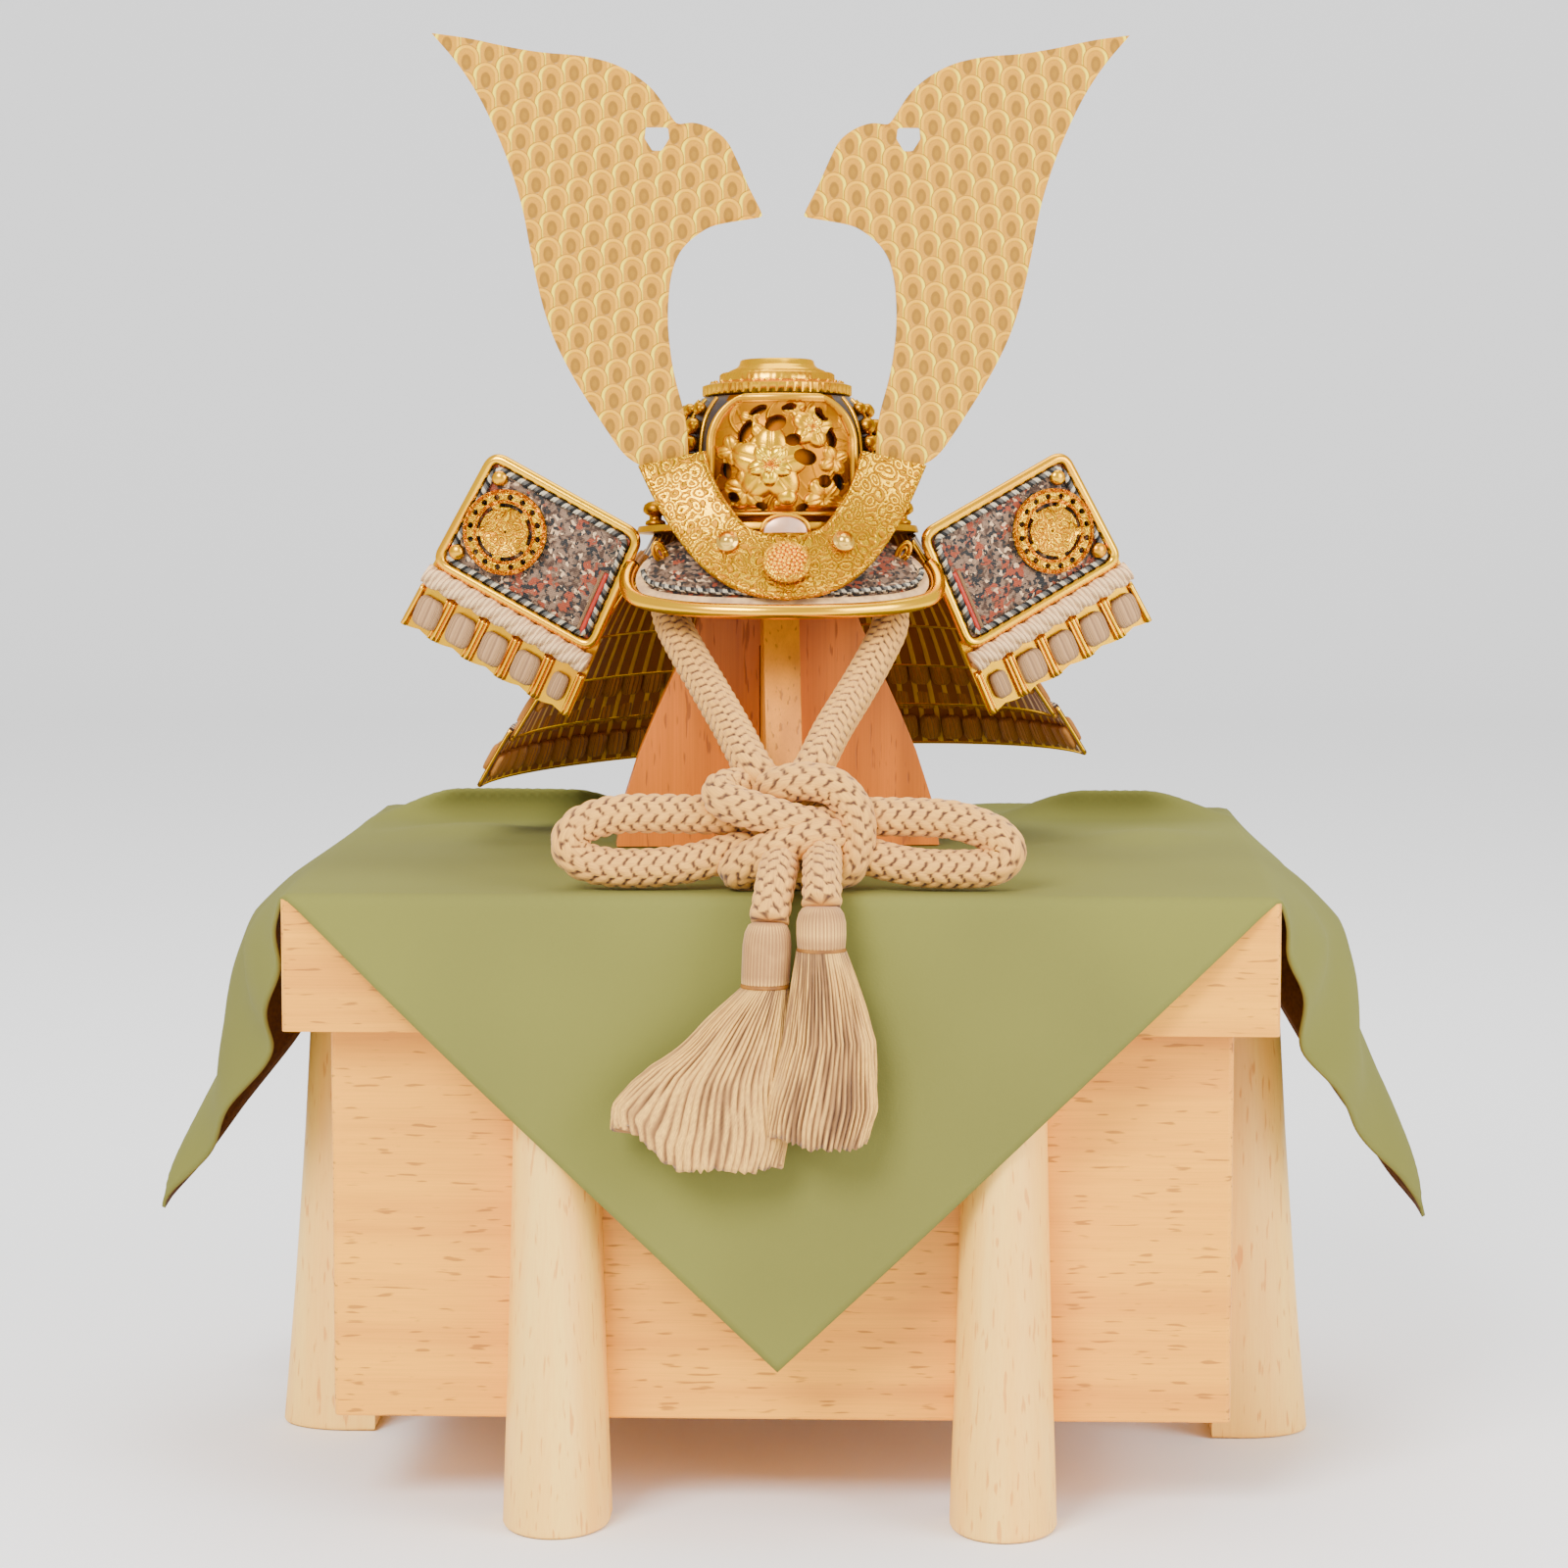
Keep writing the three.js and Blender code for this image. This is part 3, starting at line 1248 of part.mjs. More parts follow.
// Neck guard
function lamePoint(row, a, t) {
  const share = Math.max((row + t) / GUARD_LAMES - (row > 0 ? LAME_OVERLAP * (1 - t) : 0), 0);
  const halfAngle = GUARD_TOP_ANGLE + (GUARD_HEM_ANGLE - GUARD_TOP_ANGLE) * share;
  const angle = radians(halfAngle * a);
  const slope = Math.atan2(GUARD_SPREAD, GUARD_FALL);
  const radius = GUARD_TOP_RADIUS + GUARD_SPREAD * share + row * lameStep * Math.cos(slope);
  const x = radius * Math.sin(angle);
  const y = radius * Math.cos(angle) * (1 - (1 - GUARD_DEPTH_SHARE) * share);
  const sag = (GUARD_SAG * x * share) / (GUARD_TOP_RADIUS + GUARD_SPREAD);
  return new THREE.Vector3(x, y, GUARD_TOP - GUARD_FALL * share + row * lameStep * Math.sin(slope) + sag);
}

function addGuard() {
  const guard = new THREE.Group();
  guard.position.x = GUARD_SHIFT;
  helmet.add(guard);
  for (let row = 0; row < GUARD_LAMES; row++) {
    const surface = patch((s, t) => lamePoint(row, 2 * s - 1, t), LAME_COLUMNS, 2);
    put(guard, `neck_lame_${row + 1}`, thickened([surface], LAME_WALL), goldDeep);
  }
}

// Cord: its height is counted from the cloth
function cordPoints(route) {
  return route.map(([x, y, z]) => new THREE.Vector3(x, y, clothTop + z));
}

function addCord() {
  const knotTube = (points, diameter) => tube(points, diameter, CORD_SIDES, KNOT_STEPS * (points.length - 1));
  const knot = joined(...KNOT_ROUTES.map((route) => knotTube(cordPoints(route), CORD_DIAMETER)));
  const grown = joined(...KNOT_ROUTES.map((route) => {
    const points = cordPoints(route);
    const beyond = (end, inside) => end.clone().addScaledVector(end.clone().sub(inside).normalize(), GAP);
    const start = beyond(points[0], points[1]);
    const end = beyond(points.at(-1), points.at(-2));
    return knotTube([start, ...points.slice(1, -1), end], CORD_DIAMETER + 3 * GAP);
  }));
  put(root, 'chin_cord_knot', knot, beigeCord);
  const largest = (geometry) => {
    const pieces = toManifold(geometry).decompose();
    return fromManifold(pieces.reduce((best, next) => (next.volume() > best.volume() ? next : best)));
  };
  const clear = (route, steps, ...more) => (
    largest(cut(tube(cordPoints(route), CORD_DIAMETER, CORD_SIDES, steps), grown, ...more))
  );
  const below = ({ top: [x, y, z] }) => {
    const level = clothTop + z + GAP - CORD_DIAMETER;
    return block(2 * TASSEL_HEAD_RADIUS, 4 * TASSEL_HEAD_RADIUS, CORD_DIAMETER, x, y, level);
  };
  put(root, 'chin_cord_strap', clear(STRAP_ROUTE, STRAP_STEPS), beigeCord);
  put(root, 'chin_cord_loop_left', clear(LEFT_LOOP_ROUTE, LOOP_STEPS), beigeCord);
  put(root, 'chin_cord_loop_right', clear(RIGHT_LOOP_ROUTE, LOOP_STEPS), beigeCord);
  put(root, 'chin_cord_tail_left', clear(LEFT_TAIL_ROUTE, TAIL_STEPS, below(TASSELS[0])), beigeCord);
  put(root, 'chin_cord_tail_right', clear(RIGHT_TAIL_ROUTE, TAIL_STEPS, below(TASSELS[1])), beigeCord);
}

// Tassel: a round head, then a flattened skirt in locks
function tasselSolid({ top, skirt }) {
  const [x, y, z] = top;
  const ring = (section, locks) => {
    const points = [];
    for (let k = 0; k < TASSEL_POINTS; k++) {
      const turn = (2 * Math.PI * k) / TASSEL_POINTS;
      const lock = 1 - locks * (0.5 - 0.5 * Math.cos(turn * TASSEL_LOCKS));
      points.push(new THREE.Vector3(
        section.x + section.half * lock * Math.cos(turn), section.y + section.deep * lock * Math.sin(turn),
        clothTop + z - section.down,
      ));
    }
    return points;
  };
  const head = ({ down, share }) => {
    const half = TASSEL_HEAD_RADIUS * share;
    return ring({ x, y, down: down * skirt[0].down, half, deep: half * TASSEL_HEAD_FLATNESS }, 0);
  };
  const rings = [
    ...TASSEL_HEAD_PROFILE.map(head),
    ...skirt.map((section, k) => ring(section, k === 0 ? 0 : TASSEL_LOCK_DEPTH)),
  ];
  return lofted(rings);
}

addChest();
put(root, 'cloth', clothSolid(), clothGreen);
addStand();
addBowl();
put(helmet, 'visor', visorSolid(), brocade);
put(helmet, 'visor_rim', welded(visorRim()), gold);
addPlate();
addHorns();
addWings();
addGuard();
addCord();
for (const tassel of TASSELS) put(root, `tassel_${tassel.name}`, tasselSolid(tassel), beigeCord);

export default root;
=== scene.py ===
import math

import bpy
import numpy as np
from bpy.props import FloatProperty, FloatVectorProperty, IntProperty, PointerProperty
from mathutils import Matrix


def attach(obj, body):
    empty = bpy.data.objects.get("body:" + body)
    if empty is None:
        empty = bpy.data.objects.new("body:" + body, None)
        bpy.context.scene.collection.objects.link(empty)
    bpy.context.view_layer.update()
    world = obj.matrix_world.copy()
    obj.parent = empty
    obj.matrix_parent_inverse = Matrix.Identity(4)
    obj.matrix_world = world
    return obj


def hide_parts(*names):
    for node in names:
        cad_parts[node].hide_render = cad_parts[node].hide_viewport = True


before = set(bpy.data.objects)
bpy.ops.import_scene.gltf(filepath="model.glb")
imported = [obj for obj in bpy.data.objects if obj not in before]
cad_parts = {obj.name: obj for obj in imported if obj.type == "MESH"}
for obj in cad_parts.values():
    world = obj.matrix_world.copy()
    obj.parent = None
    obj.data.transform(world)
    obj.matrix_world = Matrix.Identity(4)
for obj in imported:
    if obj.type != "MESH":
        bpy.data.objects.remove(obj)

bl_info = {
    "name": "Display Helmet on a Storage Chest",
    "version": (1, 0, 0),
    "blender": (4, 5, 0),
    "location": "View3D > Sidebar > Helmet",
    "description": "Builds a small gold display helmet with its cord, cloth, stand and chest",
    "category": "Add Mesh",
}

MM = 0.001

# Sizes shared with the solids, in millimetres

LID = (245.0, 213.0)
CLOTH_UNDER = 156.3
CLOTH_TOP = 157.3
CLOTH_HALF_DIAGONAL = 229.0
# The cloth's hanging corners at the sides and ends: length of cloth, fall, and how far out they stand
SIDE_FLAP, SIDE_FALL, SIDE_OUT = 106.7, 99.5, 48.5
END_FLAP, FRONT_FALL, BACK_FALL, END_OUT = 122.2, 116.0, 120.0, 10.63
STAND_PLACE = (-4.5, 3.0)
STAND_TURN = math.radians(5)
BROW = 243.0
BOWL_TILT = math.radians(4.5)
TILT_PIVOT = 19.0
BOWL_RADIUS, BOWL_HEIGHT, BOWL_STRETCH, BOWL_RIB, BOWL_WALL = 26.2, 33.6, 1.12, 0.7, 1.5
# The brow flange's half width and half depth
FLANGE_HALF = (37.5, 33.5)
BOWL_UP = np.array([0, 0.28, 0.56, 0.75, 0.9, 1.0])
BOWL_OUT = np.array([0.95, 0.985, 1, 0.97, 0.89, 0.76])
PLATE_LOW, PLATE_HEIGHT, PLATE_HALF = -16.0, 36.7, 37.6
WING_SWEEP = math.radians(15)
WING_RISE = math.radians(28)
WING_LEAN = math.radians(24)
WING_LENGTH, WING_HEIGHT, WING_SPREAD = 46.5, 34.6, 3.4
# Where a wing's inner upper corner lies, then its crest's middle as shares of the length and height
WING_CORNER = (35.8, -20.6, -1.3)
CREST_ALONG, CREST_DOWN = 0.71, 0.5
LEG_HEIGHT = 122.0
# How far the four long-side legs stand across and deep, and how far the two end legs stand across
LEG_PLACES = (55.5, 95.3, 112.3)

SIDE_DOWN = np.array([0, 0.09, 0.18, 0.32, 0.46, 0.6, 0.75, 0.9, 1])
SIDE_RIDGE = np.array([0, 0.27, 0.44, 0.53, 0.59, 0.68, 0.8, 0.93, 1])
SIDE_HEM = np.array([0, 0.05, 0.09, 0.14, 0.21, 0.38, 0.61, 0.8, 1])

PLATE_OUTER = np.array([
    (0, 0), (0.21, 0.02), (0.36, 0.07), (0.505, 0.149), (0.65, 0.279), (0.793, 0.474), (0.894, 0.656),
    (1, 0.89),
])
PLATE_INNER = np.array([
    (0, 0.453), (0.13, 0.43), (0.25, 0.461), (0.33, 0.552), (0.42, 0.68), (0.48, 0.8), (0.52, 0.9),
    (0.545, 1),
])
HORN_INNER = np.array([
    (0.275, -0.06), (0.27, 0.03), (0.277, 0.114), (0.313, 0.218), (0.328, 0.311), (0.328, 0.377),
    (0.32, 0.442), (0.3, 0.492), (0.263, 0.528), (0.202, 0.56), (0.132, 0.574), (0.056, 0.577),
    (0.056, 0.59), (0.093, 0.646), (0.122, 0.701), (0.153, 0.754), (0.197, 0.782), (0.25, 0.797),
    (0.295, 0.79), (0.311, 0.803), (0.359, 0.866), (0.416, 0.904), (0.486, 0.933), (0.576, 0.949),
    (0.689, 0.955), (0.793, 0.97), (0.896, 0.989), (1, 1),
])
HORN_OUTER = np.array([
    (0.37, -0.06), (0.395, 0), (0.456, 0.027), (0.514, 0.096), (0.592, 0.194), (0.654, 0.289),
    (0.691, 0.377), (0.722, 0.496), (0.741, 0.59), (0.769, 0.673), (0.809, 0.761), (0.866, 0.858),
    (0.924, 0.93), (1, 1),
])
HORN_MATCH = np.array([(0, 0), (0.2, 0.26), (0.36, 0.5), (0.47, 0.62), (0.62, 0.73), (0.68, 0.78), (1, 1)])

# The cord's route, from the left tassel to the right one: x and y, and z above the cloth
CORD_ROUTE = [
    (-2.0, -119.4, -4.4), (-1.5, -117.6, -1.6), (-0.8, -113.4, 3.0), (-0.2, -107, 6.6),
    (0.2, -101.4, 8.4), (0.2, -95.5, 9.4), (-5, -93.5, 10.2), (-12, -94, 9.2), (-24, -95.6, 6.4),
    (-38, -95.8, 5.4), (-48.4, -95.6, 7.0), (-52.2, -95, 11.2), (-49.3, -94, 15.8), (-41, -93, 18.4),
    (-30, -92, 18.6), (-18, -90.4, 18.2), (-9, -88.6, 18), (-5.5, -86, 20.4), (-9.5, -87, 24.6),
    (-14.6, -92.4, 24.4), (-13.2, -97, 22.2), (-4.6, -99, 19.6), (5, -98.4, 16.8), (10.6, -94.2, 16),
    (8.5, -88.8, 17.6), (1.5, -86.8, 21.2), (-3.6, -87, 25.4), (-7.6, -84, 30), (-13.2, -69, 37.8),
    (-20.4, -50, 47), (-26.6, -35, 55), (-31.6, -19, 62.4), (-32.9, -6, 69.4), (-31.2, 4, 74),
    (-28, 14.5, 75.2), (-20, 25.5, 75.2), (-7, 30.4, 75.2), (6, 28.6, 75.2), (16, 20.4, 75.2),
    (21, 9, 75.2), (22.4, -1, 74), (24.6, -9.5, 69.4), (26, -21, 61.6), (22.6, -35, 54),
    (17.6, -50, 45.8), (12, -69, 37.4), (8, -84, 30), (4.6, -88, 25.2), (3, -88.2, 20),
    (7.4, -87.6, 15.4), (14.5, -89.6, 11.4), (22, -93, 8.2), (33, -95, 5.9), (44, -95.4, 5.5),
    (52.6, -95.2, 6.3), (55.8, -94.6, 9.8), (52.4, -93.4, 14), (43, -92, 17.2), (33, -90.8, 17.8),
    (23, -89.4, 17.8), (14.5, -87.4, 18.4), (5.4, -85.8, 21.6), (-2.6, -87.6, 23.8), (0, -92.6, 25.8),
    (6.4, -94.6, 27), (13.4, -95, 25.4), (18, -95.4, 20), (18.8, -95.8, 13.4), (17.2, -96, 6.8),
    (11.4, -95.2, 4.4), (3, -93.4, 4.4), (-5.6, -93.8, 4.4), (-10.6, -97.6, 5.4), (-6.4, -100.4, 8.6),
    (1.4, -101.4, 12), (9.4, -99.4, 14), (13.8, -94.8, 12.6), (11.6, -94, 9.2), (10.5, -99.6, 9.6),
    (10.6, -107, 7.6), (10.7, -113.6, 4.8), (10.8, -117.6, 1.4), (10.8, -119.6, -0.6),
]
TASSELS = {
    "left": ((-2.2, -119.6, -4.8), 15.6, [
        (15.6, -2.8, 6.1, 5.6, -120.6), (24, -7.2, 10.6, 6.6, -122), (38, -13.7, 16.9, 7.2, -123.4),
        (53, -18.6, 21.2, 7.2, -124.4), (59, -19.3, 21, 6.4, -124.6)]),
    "right": ((10.7, -120.2, -0.8), 10.6, [
        (10.6, 10.8, 6.4, 5.8, -121.4), (18, 11.6, 8.2, 6.6, -122.8), (32, 12.6, 11.6, 7, -124.8),
        (48, 10.9, 13.6, 6.8, -125.8), (57.4, 9.3, 13.0, 6.2, -126)]),
}


# Numbers

def ease(x):
    """A smooth step from 0 to 1."""
    x = np.clip(x, 0, 1)
    return x * x * (3 - 2 * x)


def scatter01(a, b=0.0, seed=0):
    """A repeatable number from 0 to 1 for each pair of lattice numbers."""
    return np.modf(np.abs(np.sin(a * 127.1 + b * 311.7 + seed * 74.7) * 43758.5453))[0]


def value_noise(x, y, seed=0):
    """Smooth noise from 0 to 1: the lattice's random numbers, blended along x and y."""
    xi, yi = np.floor(x), np.floor(y)
    xf, yf = ease(x - xi), ease(y - yi)
    low = scatter01(xi, yi, seed) * (1 - xf) + scatter01(xi + 1, yi, seed) * xf
    high = scatter01(xi, yi + 1, seed) * (1 - xf) + scatter01(xi + 1, yi + 1, seed) * xf
    return low * (1 - yf) + high * yf


def stack(*parts):
    return np.stack(np.broadcast_arrays(*parts), -1)


def spline(points, step):
    """A smooth line through the points, with its own points a step apart along it."""
    p = np.array(points, float)
    p = np.vstack([2 * p[0] - p[1], p, 2 * p[-1] - p[-2]])
    t = np.linspace(0, 1, 24, endpoint=False)[:, None]
    a, b, c, d = p[:-3, None], p[1:-2, None], p[2:-1, None], p[3:, None]
    line = 0.5 * (
        2 * b + (c - a) * t + (2 * a - 5 * b + 4 * c - d) * t ** 2 + (3 * b - a - 3 * c + d) * t ** 3
    )
    line = np.vstack([line.reshape(-1, p.shape[1]), p[-2:-1]])
    return resampled(line, step)


def resampled(line, step):
    reach = np.concatenate([[0], np.cumsum(np.linalg.norm(np.diff(line, axis=0), axis=1))])
    at = np.linspace(0, reach[-1], max(int(round(reach[-1] / step)), 2) + 1)
    return np.stack([np.interp(at, reach, line[:, k]) for k in range(line.shape[1])], -1)


def helmet(p):
    """From the helmet's own frame, level with the brow, to the row's frame."""
    c, s = math.cos(STAND_TURN), math.sin(STAND_TURN)
    x, y, z = p[..., 0], p[..., 1], p[..., 2]
    return stack(c * x - s * y + STAND_PLACE[0], s * x + c * y + STAND_PLACE[1], z + BROW)


def tilted(p):
    """From the bowl's tilted frame to the row's frame."""
    c, s = math.cos(BOWL_TILT), math.sin(BOWL_TILT)
    x, y, z = p[..., 0], p[..., 1], p[..., 2]
    return helmet(stack(x, y * c + z * s - TILT_PIVOT * s, -y * s + z * c + TILT_PIVOT * (1 - c)))


def winged(side):
    """The frame of a wing: x out from its inner upper corner, y back, z up."""
    c, s = math.cos(WING_SWEEP), math.sin(WING_SWEEP) * side

    def move(p):
        x, y, z = p[..., 0] * side, p[..., 1], p[..., 2]
        out, back, up = WING_CORNER
        return helmet(stack(c * x - s * y + side * out, s * x + c * y + back, z + up))

    return move


def wing_place(along, down):
    """A place on a wing's panel: a share of its length and millimetres down."""
    length = along * (WING_LENGTH + WING_SPREAD * down / WING_HEIGHT)
    x = math.cos(WING_RISE) * length + math.sin(WING_LEAN) * down
    z = math.sin(WING_RISE) * length - math.cos(WING_LEAN) * down
    return x, z


# Shapes

class Shape:
    """Points and faces, with a place on the pattern for each face corner and a height for each point."""

    def __init__(self, points, faces, uv, relief=None, part=0):
        self.points = points.reshape(-1, 3)
        self.faces = faces
        self.uv = uv
        self.relief = np.zeros(len(self.points)) if relief is None else np.asarray(relief, float).reshape(-1)
        self.part = [np.full(len(f), part) for f in faces]

    def moved(self, move):
        self.points = move(self.points)
        return self

    def mirrored(self):
        """Turns the faces over, for a shape whose move has mirrored it."""
        self.faces = [f[:, ::-1] for f in self.faces]
        self.uv = [u[:, ::-1] for u in self.uv]
        return self


def merged(shapes):
    points, faces, uv, relief, part, base = [], [], [], [], [], 0
    for s in shapes:
        points.append(s.points)
        relief.append(s.relief)
        faces += [f + base for f in s.faces]
        uv += s.uv
        part += s.part
        base += len(s.points)
    out = Shape(np.vstack(points), faces, uv, np.concatenate(relief))
    out.part = part
    return out


def grid_faces(rows, cols, wrap_rows=False, wrap_cols=False):
    """The quads of a grid, and each corner's row and column before any wrap."""
    r, c = np.meshgrid(np.arange(rows - (not wrap_rows)), np.arange(cols - (not wrap_cols)), indexing="ij")
    rr = np.stack([r, r, r + 1, r + 1], -1).reshape(-1, 4)
    cc = np.stack([c, c + 1, c + 1, c], -1).reshape(-1, 4)
    return (rr % rows) * cols + cc % cols, rr, cc


def grid(points, size=(1, 1), wrap_rows=False, wrap_cols=False, relief=None, part=0):
    """A surface over a grid of points; its pattern place is size times the share across and along."""
    rows, cols = points.shape[:2]
    faces, rr, cc = grid_faces(rows, cols, wrap_rows, wrap_cols)
    uv = stack(cc / (cols - (not wrap_cols)) * size[0], rr / (rows - (not wrap_rows)) * size[1])
    return Shape(points, [faces], [uv], relief, part)


def capped(points, size=(1, 1), relief=None, part=0):
    """A stack of closed rings with a pole at each end."""
    rows, cols = points.shape[:2]
    shape = grid(points, size, wrap_cols=True, relief=relief, part=part)
    poles = stack(*points[[0, -1]].mean(1).T)
    n = rows * cols
    k = np.arange(cols)
    low = stack((k + 1) % cols, k, np.full(cols, n))
    high = stack((rows - 1) * cols + k, (rows - 1) * cols + (k + 1) % cols, np.full(cols, n + 1))
    edge = shape.relief.reshape(rows, cols)[[0, -1]].mean(1)
    shape.points = np.vstack([shape.points, poles])
    shape.relief = np.concatenate([shape.relief, edge])
    shape.faces += [low, high]
    u = stack(k + 1, k, k + 0.5) / cols * size[0]
    shape.uv += [stack(u, np.zeros_like(u)), stack(u[:, [1, 0, 2]], np.full_like(u, size[1]))]
    shape.part += [np.full(cols, part)] * 2
    return shape


def tube(line, radius, sides=12, lift=None, up=(0, 0, 1), part=0):
    """A tube along a line: the rings turn with the line and don't twist; lift adds to the radius."""
    along = np.gradient(line, axis=0)
    along /= np.linalg.norm(along, axis=1, keepdims=True)
    side = np.zeros_like(line)
    start = np.cross(along[0], up)
    if np.linalg.norm(start) < 0.1:
        start = np.cross(along[0], (0, 1, 0))
    side[0] = start / np.linalg.norm(start)
    for k in range(1, len(line)):
        turned = side[k - 1] - along[k] * (side[k - 1] @ along[k])
        side[k] = turned / np.linalg.norm(turned)
    over = np.cross(side, along)
    reach = np.concatenate([[0], np.cumsum(np.linalg.norm(np.diff(line, axis=0), axis=1))])
    angle = np.arange(sides) * 2 * math.pi / sides
    r = np.broadcast_to(np.asarray(radius, float).reshape(-1, 1), (len(line), sides)).copy()
    relief = np.zeros_like(r)
    if lift is not None:
        relief = lift(reach[:, None], angle[None, :])
        r += relief
    points = (
        line[:, None] + side[:, None] * (r * np.cos(angle))[..., None]
        + over[:, None] * (r * np.sin(angle))[..., None]
    )
    mean = float(np.mean(np.asarray(radius)))
    return capped(points, (2 * math.pi * mean, reach[-1]), relief, part)


def lathe(profile, sides, lift=None, part=0):
    """A profile of radius and height turned round Z; both its ends close to a pole."""
    profile = np.array(profile, float)
    angle = np.arange(sides) * 2 * math.pi / sides
    r = np.broadcast_to(profile[:, :1], (len(profile), sides)).copy()
    relief = np.zeros_like(r)
    if lift is not None:
        relief = lift(profile[:, 1:2], angle[None, :])
        r = r + relief
    points = stack(r * np.sin(angle), -r * np.cos(angle), np.broadcast_to(profile[:, 1:2], r.shape))
    size = 2 * math.pi * float(profile[:, 0].max())
    return capped(points, (size, float(np.ptp(profile[:, 1])) + 1), relief, part)


def ball(radius=1.0, rows=8, cols=12, squareness=1.0, part=0):
    """A ball, or a rounded block as squareness falls below 1."""
    t = np.linspace(-math.pi / 2, math.pi / 2, rows + 2)[1:-1, None]
    a = (np.arange(cols) * 2 * math.pi / cols)[None]

    def power(v):
        return np.sign(v) * np.abs(v) ** squareness

    ring = power(np.cos(t))
    points = stack(ring * power(np.cos(a)), ring * power(np.sin(a)), power(np.sin(t)) + 0 * a)
    return capped(radius * points, part=part)


def copies(base, places, axes=None, scales=None):
    """The base shape at each place, turned by the place's three axes and scaled along them."""
    n = len(places)
    m = len(base.points)
    p = np.broadcast_to(base.points, (n, m, 3))
    if scales is not None:
        p = p * np.asarray(scales, float).reshape(n, 1, -1)
    if axes is not None:
        p = np.einsum("nmk,nkj->nmj", p, axes)
    p = p + np.asarray(places, float)[:, None]
    step = (np.arange(n) * m)[:, None, None]
    out = Shape(
        p, [(f[None] + step).reshape(-1, f.shape[1]) for f in base.faces],
        [np.tile(u, (n, 1, 1)) for u in base.uv], np.tile(base.relief, n),
    )
    out.part = [np.tile(k, n) for k in base.part]
    return out


def slab(place, rows, cols, wall, field=None, relief=None, size=(1, 1), uv=None, back_part=None):
    """A sheet with a wall and rims all round. place(u, v) gives its front; its wall goes to the other side.
    Where field(u, v) is under 0 the sheet is cut away, and the cut's corners are moved onto field 0."""
    v, u = np.meshgrid(np.linspace(0, 1, rows), np.linspace(0, 1, cols), indexing="ij")
    faces, _, _ = grid_faces(rows, cols)
    if field is not None:
        f = field(u, v).reshape(-1)
        kept = f[faces].mean(1) > 0
        on_cut = np.zeros(rows * cols, bool)
        inside = np.zeros(rows * cols, bool)
        on_cut[faces[~kept].reshape(-1)] = True
        inside[faces[kept].reshape(-1)] = True
        move = (on_cut & inside).reshape(rows, cols)
        h = 0.5 / max(rows, cols)
        for _ in range(3):
            f = field(u, v)
            du = (field(u + h, v) - field(u - h, v)) / (2 * h)
            dv = (field(u, v + h) - field(u, v - h)) / (2 * h)
            back = f / np.maximum(du * du + dv * dv, 1e-6)
            u = np.where(move, u - np.clip(back * du, -1.2 / cols, 1.2 / cols), u)
            v = np.where(move, v - np.clip(back * dv, -1.2 / rows, 1.2 / rows), v)
        faces = faces[kept]
    front = place(u, v)
    across = np.gradient(front, axis=1)
    along = np.gradient(front, axis=0)
    normal = np.cross(across, along)
    normal /= np.maximum(np.linalg.norm(normal, axis=-1, keepdims=True), 1e-9)
    height = np.zeros_like(u) if relief is None else relief(u, v)
    behind = front - normal * wall
    front = front + normal * height[..., None]
    n = rows * cols
    edges = np.concatenate([faces[:, [0, 1]], faces[:, [1, 2]], faces[:, [2, 3]], faces[:, [3, 0]]])
    code, reverse = edges[:, 0] * n + edges[:, 1], edges[:, 1] * n + edges[:, 0]
    rim = edges[~np.isin(code, reverse)]
    sides = stack(rim[:, 1], rim[:, 0], rim[:, 0] + n, rim[:, 1] + n)
    where = stack(u * size[0], v * size[1]) if uv is None else uv(u, v)
    where = np.vstack([where.reshape(-1, 2)] * 2)
    rest = (faces + n)[:, ::-1]
    used, place_of = np.unique(np.concatenate([faces, rest, sides]).reshape(-1), return_inverse=True)
    all_faces = place_of.reshape(-1, 4)
    points = np.vstack([front.reshape(-1, 3), behind.reshape(-1, 3)])[used]
    heights = np.concatenate([height.reshape(-1), np.zeros(n)])[used]
    shape = Shape(points, [all_faces], [where[used][all_faces]], heights)
    if back_part is not None:
        shape.part[0][len(faces):2 * len(faces)] = back_part
    return shape


def points_of_faces(shape):
    return np.vstack([shape.points[f].mean(1) for f in shape.faces])


def split(shape, part):
    return np.split(part, np.cumsum([len(f) for f in shape.faces])[:-1])


